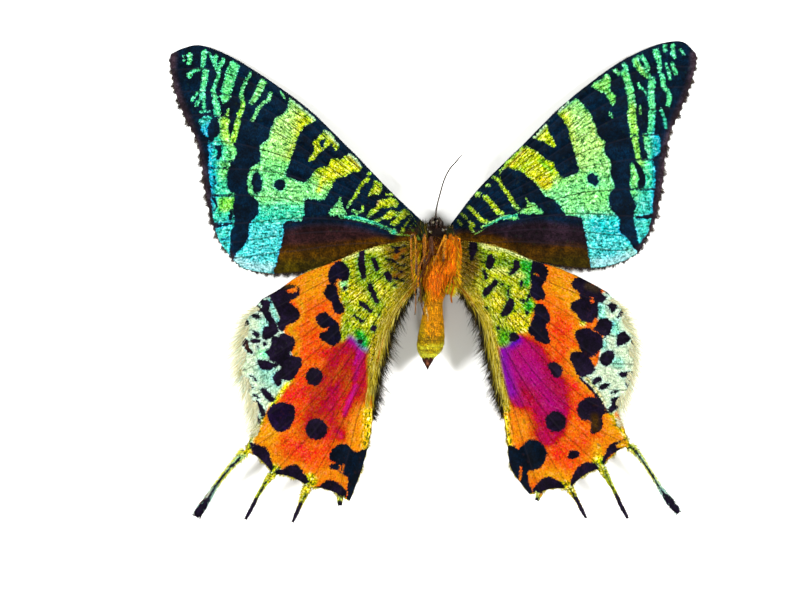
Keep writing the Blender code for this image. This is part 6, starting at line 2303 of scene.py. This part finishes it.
        tints *= 1.0 + 0.35 * mess[:, :1]
        tints[edge] = pick_tints(chance, int(edge.sum()), ((1.4, OLIVE_GOLD), (1.6, DARK_MOSS),
                                                           (0.8, GOLD_SCALE), (0.9, UMBER),
                                                           (0.5, STRAW)))
        return Coat(roots, aims, normals, lengths, widths, chance.normal(-0.06, 0.06, count),
                    tints, patches, root_shade=0.5)

    def head_coat(self) -> Coat:
        """Return the short dark hair of the head, with whitish and straw hairs at four spots as
        painted highlights.
        """
        chance = np.random.default_rng(SEED + 3)
        count = self.head_count
        roots, normals, angle, patches = self.scatter(count, NECK_Y - 0.2 * MM, 6.98 * MM, chance)
        y = roots[:, 1] / MM
        eye = np.abs(roots / MM * (0.0, 1.0, 1.0)) - (0.0, 5.15, 4.1)
        eye[:, 0] = np.abs(roots[:, 0]) / MM - 1.12
        beside = np.linalg.norm(eye / (0.84, 0.90, 1.0), axis=1) < 1.12
        flow = np.where(y > 4.7, 1.0, 0.3)
        aims = np.column_stack((0.4 * np.cos(angle), flow, 0.25 * np.sin(angle)))
        aims += chance.normal(0.0, 0.22, (count, 3))
        aims -= normals * np.sum(aims * normals, axis=1, keepdims=True)
        aims = unit(unit(aims) + normals * chance.uniform(0.18, 0.55, (count, 1)))
        lengths = chance.uniform(0.24, 0.50, count) * MM
        lengths *= np.interp(y, (4.0, 4.6, 5.4, 7.0), (1.5, 1.1, 0.7, 0.5))
        lengths[beside] *= 0.25
        tints = pick_tints(chance, count, HEAD_TINTS)
        # Whitish and straw hairs where the face glints: painted highlights.
        sheet = to_sheet(roots)
        upper = roots[:, 2] > 3.6 * MM
        for x, down, radius, colour, share in ((433.4, 222.6, 1.6, WHITISH, 0.60),
                                               (437.2, 221.6, 1.3, WHITISH, 0.50),
                                               (443.0, 230.4, 1.8, WHITISH, 0.45),
                                               (429.6, 232.4, 2.0, STRAW, 0.70)):
            near = np.hypot(sheet[:, 0] - x, sheet[:, 1] - down) < radius
            glint_hairs = near & upper & (chance.uniform(size=count) < share)
            tints[glint_hairs] = np.array(colour) * chance.uniform(0.7, 1.0, (glint_hairs.sum(), 1))
        return Coat(roots, aims, normals, lengths, chance.uniform(0.032, 0.055, count) * MM,
                    chance.normal(0.0, 0.12, count), tints, patches, root_shade=0.6)


# Legs: points from the hip over the knee to the claw, x y z in mm
LEG_PATHS = {
    "foreleg_left": "-0.75 1.6 7.65, -0.85 2.8 7.5, -0.95 3.75 7.25, -1.1 3.6 7.9, -1.15 2.5 8.25,"
                    "-1.28 1 8.3, -1.65 0 8, -2.1 -0.96 7.5, -2.52 -2 6.9, -2.78 -2.95 6.4,"
                    "-2.75 -4.2 5.8, -2.6 -6.1 5.4, -2.15 -8.45 5.4",
    "midleg_left": "-2.05 0.2 7.4, -2.15 2.2 7.1, -2.15 3.85 6.55, -2 4.2 7.15, -1.88 2.6 7.9,"
                   "-2.15 0.9 8.2, -2.68 -0.5 7.9, -3.08 -2 7.45, -3.25 -2.9 7.1, -3.3 -4.4 6.45",
    "hindleg_left": "-3.35 -1.6 6.3, -3.32 -0.3 6.4, -3.35 1.9 6.35, -3.45 3.75 6.05,"
                    "-3.75 4.3 5.7, -4.1 3.9 5.35, -4.12 0.9 5.5, -4 -1.44 5.55, -3.72 -3.04 5.45,"
                    "-3.42 -5.9 4.9, -3.52 -8.45 4.6",
    "foreleg_right": "0.95 0.6 7.7, 1.05 2.2 7.55, 1.3 3.7 7, 1.2 4.1 7.55, 0.98 3.6 8.05,"
                     "0.5 2.56 8.3, 0.05 1.45 8.4, -0.4 0.4 8.35, -0.65 -0.5 8",
    "midleg_right": "1.7 -1.6 7.6, 1.85 0.3 7.67, 2 2.4 7.35, 2.12 3.6 6.85, 2.52 3.4 6.63,"
                    "2.58 1.2 7.2, 2.45 -1.1 7.23, 2.05 -3.3 7, 1.6 -5.1 6.55",
    "hindleg_right": "3.1 -1.8 6.4, 3.25 0.2 6.5, 3.28 2 6.25, 3.3 3.4 5.9, 3.75 3.4 5.6,"
                     "3.92 1.2 5.7, 3.78 -1.2 5.75, 3.15 -3.4 5.9, 2.6 -5.3 5.7, 2.65 -6.4 5.5",
}


@dataclass
class Leg:
    """One folded leg with its joints, short scales, spurs and claws.

    Attributes:
        name: Name of the solid that it stands for.
        path: Points from the hip to the claw, in mm.
        tints: Colours of its scales with their weights.
        radii: Radii at even shares of its length.
        joints: Shares of its length where two parts meet.
        count: How many scales and hairs it has.
        steps: Rings along it.
        sides: Points in a ring.
        hair: Length of its hair against the usual.
        sink: How far, in mm, it lies deeper than the path.
        inward: How far, in mm, it lies left of the path.
    """

    name: str
    path: str
    tints: tuple[tuple[float, tuple[float, float, float]], ...]
    radii: tuple[float, ...] = (0.18, 0.19, 0.18, 0.15, 0.16, 0.15, 0.13, 0.11, 0.10, 0.09, 0.08)
    joints: tuple[float, ...] = (0.22, 0.55, 0.68, 0.75, 0.81, 0.87, 0.93)
    count: int = 2400
    steps: int = 150
    sides: int = 12
    hair: float = 0.8
    sink: float = 0.0
    inward: float = 0.0

    def middle(self, share: np.ndarray) -> np.ndarray:
        """Return points along the leg's middle, from inside the body outwards."""
        path = read_points(self.path)
        hip = path[0] - 0.5 * unit(path[1] - path[0]) - (0.0, 0.0, 0.8)
        path = np.vstack((hip, path)) - (self.inward, 0.0, self.sink)
        return along_curve(path * MM, share)

    def radius(self, share: np.ndarray) -> np.ndarray:
        """Return the leg's radius, drawn in at the joints."""
        base = np.interp(share, np.linspace(0.0, 1.0, len(self.radii)), self.radii) * MM
        gaps = np.abs(share[:, None] - np.array(self.joints)).min(axis=1)
        return base * (1.0 - 0.35 * np.exp(-(gaps / 0.008) ** 2))

    def build(self) -> None:
        """Build the leg and its scales."""
        share = np.linspace(0.0, 1.0, self.steps)
        rings = tube_rings(self.middle(share), self.radius(share), self.sides)
        mesh = closed_loft(rings, share * LEG_FLOW)
        finish = HornFinish(f"{self.name}_horn", shown(130, 70, 18), shown(60, 30, 12),
                            LEG_FLOW / LEG_RINGS, 0.6)
        place_piece(self.name, mesh, finish.make(), (self.name,))
        coat = self.coat()
        place_piece(f"{self.name}_scales", Strand(cuts=(0.45,), flat=0.4).grow(coat),
                    HairFinish(f"{self.name}_scale_hair").make())

    def coat(self) -> Coat:
        """Return the scales that lie along the leg, its spurs and its claws."""
        chance = np.random.default_rng(SEED + len(self.path))
        count = self.count
        share = (np.arange(count) + 0.5) / count * 0.985
        angle = (np.arange(count) * EVEN_TURN % 1.0) * 2.0 * math.pi
        way = unit(self.middle(share + 0.004) - self.middle(share - 0.004))
        side = unit(np.cross(way, (0.0, 0.0, 1.0)))
        up = np.cross(side, way)
        out = side * np.cos(angle)[:, None] + up * np.sin(angle)[:, None]
        roots = self.middle(share) + out * (0.85 * self.radius(share))[:, None]
        aims = unit(way + out * chance.uniform(0.06, 0.24, (count, 1))
                    + chance.normal(0.0, 0.04, (count, 3)))
        straight = np.sum(unit(self.middle(share + 0.05) - self.middle(share))
                          * unit(self.middle(share) - self.middle(share - 0.05)), axis=1)
        lengths = np.interp(share, (0.0, 0.5, 0.7, 1.0), (0.50, 0.46, 0.26, 0.16)) * MM
        lengths = lengths * chance.uniform(0.7, 1.4, count) * self.hair
        lengths *= np.interp(share, (0.0, 0.08, 0.18), (0.3, 0.4, 1.0))
        lengths *= np.interp(straight, (0.2, 0.95), (0.35, 1.0))
        widths = np.interp(share, (0.0, 0.6, 1.0), (0.045, 0.038, 0.026)) * MM
        tints = pick_tints(chance, count, self.tints)
        tints *= np.interp(share, (0.0, 0.6, 0.8, 1.0), (1.0, 1.0, 0.8, 0.6))[:, None]
        for place, length, number in ((0.66, 0.95, 2), (0.995, 0.35, 2)):
            for index in range(number):
                pick = int(np.argmin(np.abs(share - place))) - index
                hand = 1.0 if index else -1.0
                roots[pick] = self.middle(np.array((share[pick],)))[0]
                aims[pick] = unit(way[pick] + hand * 0.45 * side[pick] + 0.1 * up[pick])
                lengths[pick] = length * MM
                widths[pick] = 0.06 * MM
                tints[pick] = np.array(BROWN_HAIR)
        patches = np.column_stack((share * 0.99, angle / (2.0 * math.pi) * 0.99))
        return Coat(roots, aims, out, lengths, widths, np.full(count, -0.05), tints, patches,
                    root_shade=0.6)


@dataclass
class HeadParts:
    """Eyes, palps, coiled tongue and feelers.

    Attributes:
        eye_middle: Middle of the right eye, in mm.
        eye_radii: Its radii, in mm.
        tongue_middle: Middle of the tongue's coil, in mm.
        tongue_reach: Radius of the coil at its start and at its end, in mm.
        tongue_turns: How many turns it has.
        feelers: The feelers' names and paths, in mm.
        knobs: Middles and radii of small pale beads that stand in for the face's glints, as painted
            highlights, in mm.
        palps: The palps' names and paths, in mm.
    """

    eye_middle: tuple[float, float, float] = (1.12, 5.15, 4.10)
    eye_radii: tuple[float, float, float] = (0.84, 0.90, 1.00)
    tongue_middle: tuple[float, float, float] = (-0.12, 5.95, 6.25)
    tongue_reach: tuple[float, float] = (0.62, 0.15)
    tongue_turns: float = 2.6
    feelers: tuple[tuple[str, str], ...] = (
        ("antenna_right", "-0.22 6.90 4.40, -0.20 7.90 5.10, 0.02 9.20 5.50, 0.50 11.00 5.60,"
                          "1.10 13.00 5.40, 1.95 14.70 5.10, 3.05 16.00 4.80, 4.30 17.50 4.50"),
        ("antenna_left", "-1.00 6.30 3.40, -1.55 6.10 2.55, -2.50 5.75 1.60, -4.20 5.60 1.30,"
                         "-8.50 5.60 1.05, -12.50 5.90 0.85, -16.00 7.20 0.70"),
    )
    # Pale beads at the four glints of the face: painted highlights.
    knobs: tuple[tuple[float, float, float, float], ...] = (
        (-0.59, 6.27, 5.85, 0.20), (-0.02, 6.5, 5.6, 0.14), (0.98, 5.07, 5.35, 0.16),
        (-1.17, 4.77, 5.65, 0.16))
    palps: tuple[tuple[str, str], ...] = (
        ("palp_left", "-0.66 5.50 5.05, -0.74 5.90 5.50, -0.80 6.50 5.48, -0.74 7.00 4.90"),
        ("palp_right", "0.44 5.50 5.05, 0.46 5.90 5.50, 0.44 6.50 5.48, 0.34 7.02 4.90"),
    )

    def build(self) -> None:
        """Build every part of the head that its skin doesn't carry."""
        for name, hand in (("eye_left", -1.0), ("eye_right", 1.0)):
            self.build_eye(name, hand)
        self.build_tongue()
        for name, path in self.feelers:
            self.build_feeler(name, path)
        for name, path in self.palps:
            self.build_palp(name, path)
        self.build_knobs()

    def build_knobs(self) -> None:
        """Build small pale beads at the face's glints: painted highlights."""
        grid = bmesh.new()
        for x, y, z, radius in self.knobs:
            made = bmesh.ops.create_icosphere(grid, subdivisions=2, radius=radius * MM)
            bmesh.ops.translate(grid, vec=Vector((x, y, z)) * MM, verts=made["verts"])
        mesh = finished(grid, "face_plates")
        write_map(mesh, "Flow", np.zeros((len(mesh.vertices), 2)))
        finish = HornFinish("face_plates_horn", shown(236, 224, 190), shown(214, 196, 150),
                            0.0002, 0.3)
        place_piece("face_plates", mesh, finish.make())

    def build_eye(self, name: str, hand: float) -> None:
        """Build one eye."""
        grid = bmesh.new()
        bmesh.ops.create_icosphere(grid, subdivisions=5, radius=MM)
        mesh = finished(grid, name)
        middle = np.array(self.eye_middle) * (hand, 1.0, 1.0) * MM
        write_places(mesh, read_places(mesh) * self.eye_radii + middle)
        place_piece(name, mesh, EyeFinish(f"{name}_lens").make(), (name,))

    def build_tongue(self) -> None:
        """Build the coiled tongue between the palps."""
        turn = np.linspace(0.0, 1.0, 180)
        reach = np.interp(turn, (0.0, 1.0), self.tongue_reach)
        angle = -1.9 - turn * self.tongue_turns * 2.0 * math.pi
        coil = np.stack((np.zeros_like(turn), np.cos(angle) * reach, np.sin(angle) * reach),
                        axis=1)
        coil += self.tongue_middle
        root = np.array((-0.12, 5.85, 5.10))
        path = np.vstack((root, (root + coil[0]) / 2.0, coil)) * MM
        radii = np.interp(np.linspace(0.0, 1.0, len(path)), (0.0, 0.3, 1.0),
                          (0.14, 0.13, 0.05)) * MM
        share = np.linspace(0.0, 0.01, len(path))
        mesh = closed_loft(tube_rings(path, radii, 14), share)
        finish = HornFinish("proboscis_horn", shown(84, 50, 36), shown(40, 22, 18), 0.00008, 0.22)
        place_piece("proboscis", mesh, finish.make(), ("proboscis",))

    def build_feeler(self, name: str, path: str) -> None:
        """Build one feeler, ringed and slightly thicker past its middle."""
        share = np.linspace(0.0, 1.0, 260)
        middle = along_curve(read_points(path) * MM, share)
        radii = np.interp(share, (0.0, 0.03, 0.06, 0.5, 0.85, 1.0),
                          (0.20, 0.21, 0.12, 0.13, 0.12, 0.06)) * MM
        radii *= 1.0 + 0.07 * np.sin(share * 2.0 * math.pi * FEELER_RINGS)
        mesh = closed_loft(tube_rings(middle, radii, 14), share * FEELER_FLOW)
        finish = HornFinish(f"{name}_horn", shown(86, 62, 44), shown(44, 30, 22), 0.0002, 0.4)
        place_piece(name, mesh, finish.make(), (name,))

    def build_palp(self, name: str, path: str) -> None:
        """Build one palp with its dark scales."""
        share = np.linspace(0.0, 1.0, 60)
        middle = along_curve(read_points(path) * MM, share)
        radii = np.interp(share, (0.0, 0.5, 0.9, 1.0), (0.24, 0.28, 0.20, 0.06)) * MM
        mesh = closed_loft(tube_rings(middle, radii, 14), share * PALP_FLOW)
        finish = HornFinish(f"{name}_horn", shown(70, 48, 30), shown(36, 22, 14), 0.0007, 0.5)
        place_piece(name, mesh, finish.make(), (name,))
        leg = Leg(name, path, ((5.0, shown(34, 16, 14)), (2.0, UMBER), (1.0, BROWN_HAIR),
                               (0.3, WHITISH)),
                  radii=(0.24, 0.28, 0.20, 0.06), joints=(0.35, 0.78), count=1500, hair=0.8)
        place_piece(f"{name}_scales", Strand(cuts=(0.45,), flat=0.4).grow(leg.coat()),
                    HairFinish(f"{name}_scale_hair").make())


@dataclass
class Studio:
    """Floor, lights and camera of the main view.

    Attributes:
        camera_height: Height of the camera above the floor.
        lens: Its focal length in mm.
        aim: The plan place that it looks down on.
        lamp_side: Distance of each lamp to the side.
        lamp_height: Height of the lamps.
        lamp_size: Width of the lamps.
        lamp_power: Power of each side lamp in watts.
        front_power: Power of the lamp before the head.
        sky: Colour of the light from all around.
        sky_strength: Its strength.
        floor_size: Width of the floor.
    """

    camera_height: float = 0.356
    lens: float = 100.0
    aim: tuple[float, float] = (-0.0064, -0.00576)
    lamp_side: float = 0.24
    lamp_height: float = 0.16
    lamp_size: float = 0.07
    lamp_power: float = 1.42
    front_power: float = 0.38
    sky: tuple[float, float, float] = (1.0, 1.0, 0.86)
    sky_strength: float = 0.30
    floor_size: float = 1.2

    def build(self) -> None:
        """Build the floor, the lights and the camera."""
        grid = bmesh.new()
        bmesh.ops.create_grid(grid, x_segments=1, y_segments=1, size=self.floor_size / 2.0)
        mesh = finished(grid, "floor")
        mesh.materials.append(FloorFinish("floor_board").make())
        floor = bpy.data.objects.new("floor", mesh)
        bpy.context.scene.collection.objects.link(floor)
        for name, hand in (("lamp_left", -1.0), ("lamp_right", 1.0)):
            self.lamp(name, (hand * self.lamp_side, 0.02, self.lamp_height), self.lamp_power)
        self.lamp("lamp_front", (0.0, -self.lamp_side, self.lamp_height), self.front_power)
        world = bpy.data.worlds.new("sky")
        world.use_nodes = True
        back = world.node_tree.nodes["Background"]
        back.inputs["Color"].default_value = (*self.sky, 1.0)
        back.inputs["Strength"].default_value = self.sky_strength
        bpy.context.scene.world = world
        camera = bpy.data.cameras.new("camera")
        camera.lens = self.lens
        camera.clip_start = 0.01
        camera.clip_end = 10.0
        item = bpy.data.objects.new("camera", camera)
        item.location = (*self.aim, self.camera_height)
        bpy.context.scene.collection.objects.link(item)
        bpy.context.scene.camera = item
        bpy.context.scene.view_settings.view_transform = "Standard"

    def lamp(self, name: str, place: tuple[float, float, float], power: float) -> None:
        """Link one square lamp that points at the moth."""
        light = bpy.data.lights.new(name, "AREA")
        light.energy = power
        light.size = self.lamp_size
        item = bpy.data.objects.new(name, light)
        item.location = place
        item.rotation_euler = (-Vector(place)).to_track_quat("-Z", "Y").to_euler()
        bpy.context.scene.collection.objects.link(item)


GOLD_LEG = ((3.0, shown(232, 150, 34)), (2.0, shown(214, 120, 18)), (1.0, shown(250, 200, 90)),
            (0.8, BROWN_HAIR))
TAN_LEG = ((3.0, shown(196, 124, 44)), (2.0, shown(160, 92, 26)), (1.0, shown(226, 170, 90)),
           (1.0, UMBER))
DARK_LEG = ((3.0, shown(74, 34, 16)), (1.5, shown(130, 84, 40)), (1.5, UMBER))
ORANGE_LEG = ((3.0, ORANGE_HAIR), (2.0, DEEP_ORANGE), (1.2, AMBER), (0.6, BROWN_HAIR))


def make_legs() -> list[Leg]:
    """Return the six legs, the hind and middle ones of the right side deep in the coat."""
    return [
        Leg("foreleg_left", LEG_PATHS["foreleg_left"], DARK_LEG),
        Leg("midleg_left", LEG_PATHS["midleg_left"], TAN_LEG),
        Leg("hindleg_left", LEG_PATHS["hindleg_left"], GOLD_LEG),
        Leg("foreleg_right", LEG_PATHS["foreleg_right"], GOLD_LEG),
        Leg("midleg_right", LEG_PATHS["midleg_right"], ORANGE_LEG, hair=2.6, sink=0.55, count=4200),
        Leg("hindleg_right", LEG_PATHS["hindleg_right"], ORANGE_LEG, hair=2.6, sink=0.35,
            count=4200, inward=0.35),
    ]


def make_wings() -> list[Wing]:
    """Return the four wings."""
    return [
        Wing("hindwing_left", WingKind.HIND, Fan(LEFT_HINDWING_VEINS, HINDWING_BOWS), LEFT_HINDWING,
             hindwing_fringes(1.0), "scales_hind", shown(120, 96, 22), LEFT_TAILS),
        Wing("hindwing_right", WingKind.HIND, Fan(RIGHT_HINDWING_VEINS, HINDWING_BOWS),
             RIGHT_HINDWING, hindwing_fringes(0.75), "scales_hind", shown(120, 96, 22),
             RIGHT_TAILS),
        Wing("forewing_left", WingKind.FORE, Fan(LEFT_FOREWING_VEINS, FOREWING_BOWS), LEFT_FOREWING,
             forewing_fringes(), "scales_fore", shown(110, 110, 26)),
        Wing("forewing_right", WingKind.FORE, Fan(RIGHT_FOREWING_VEINS, FOREWING_BOWS),
             RIGHT_FOREWING, forewing_fringes(), "scales_fore", shown(110, 110, 26)),
    ]


def main() -> None:
    """Build the moth and its studio."""
    logging.basicConfig(level=logging.INFO, format="%(name)s: %(message)s")
    for wing in make_wings():
        wing.build()
    Body().build()
    for leg in make_legs():
        leg.build()
    HeadParts().build()
    Studio().build()


if __name__ == "__main__":
    main()
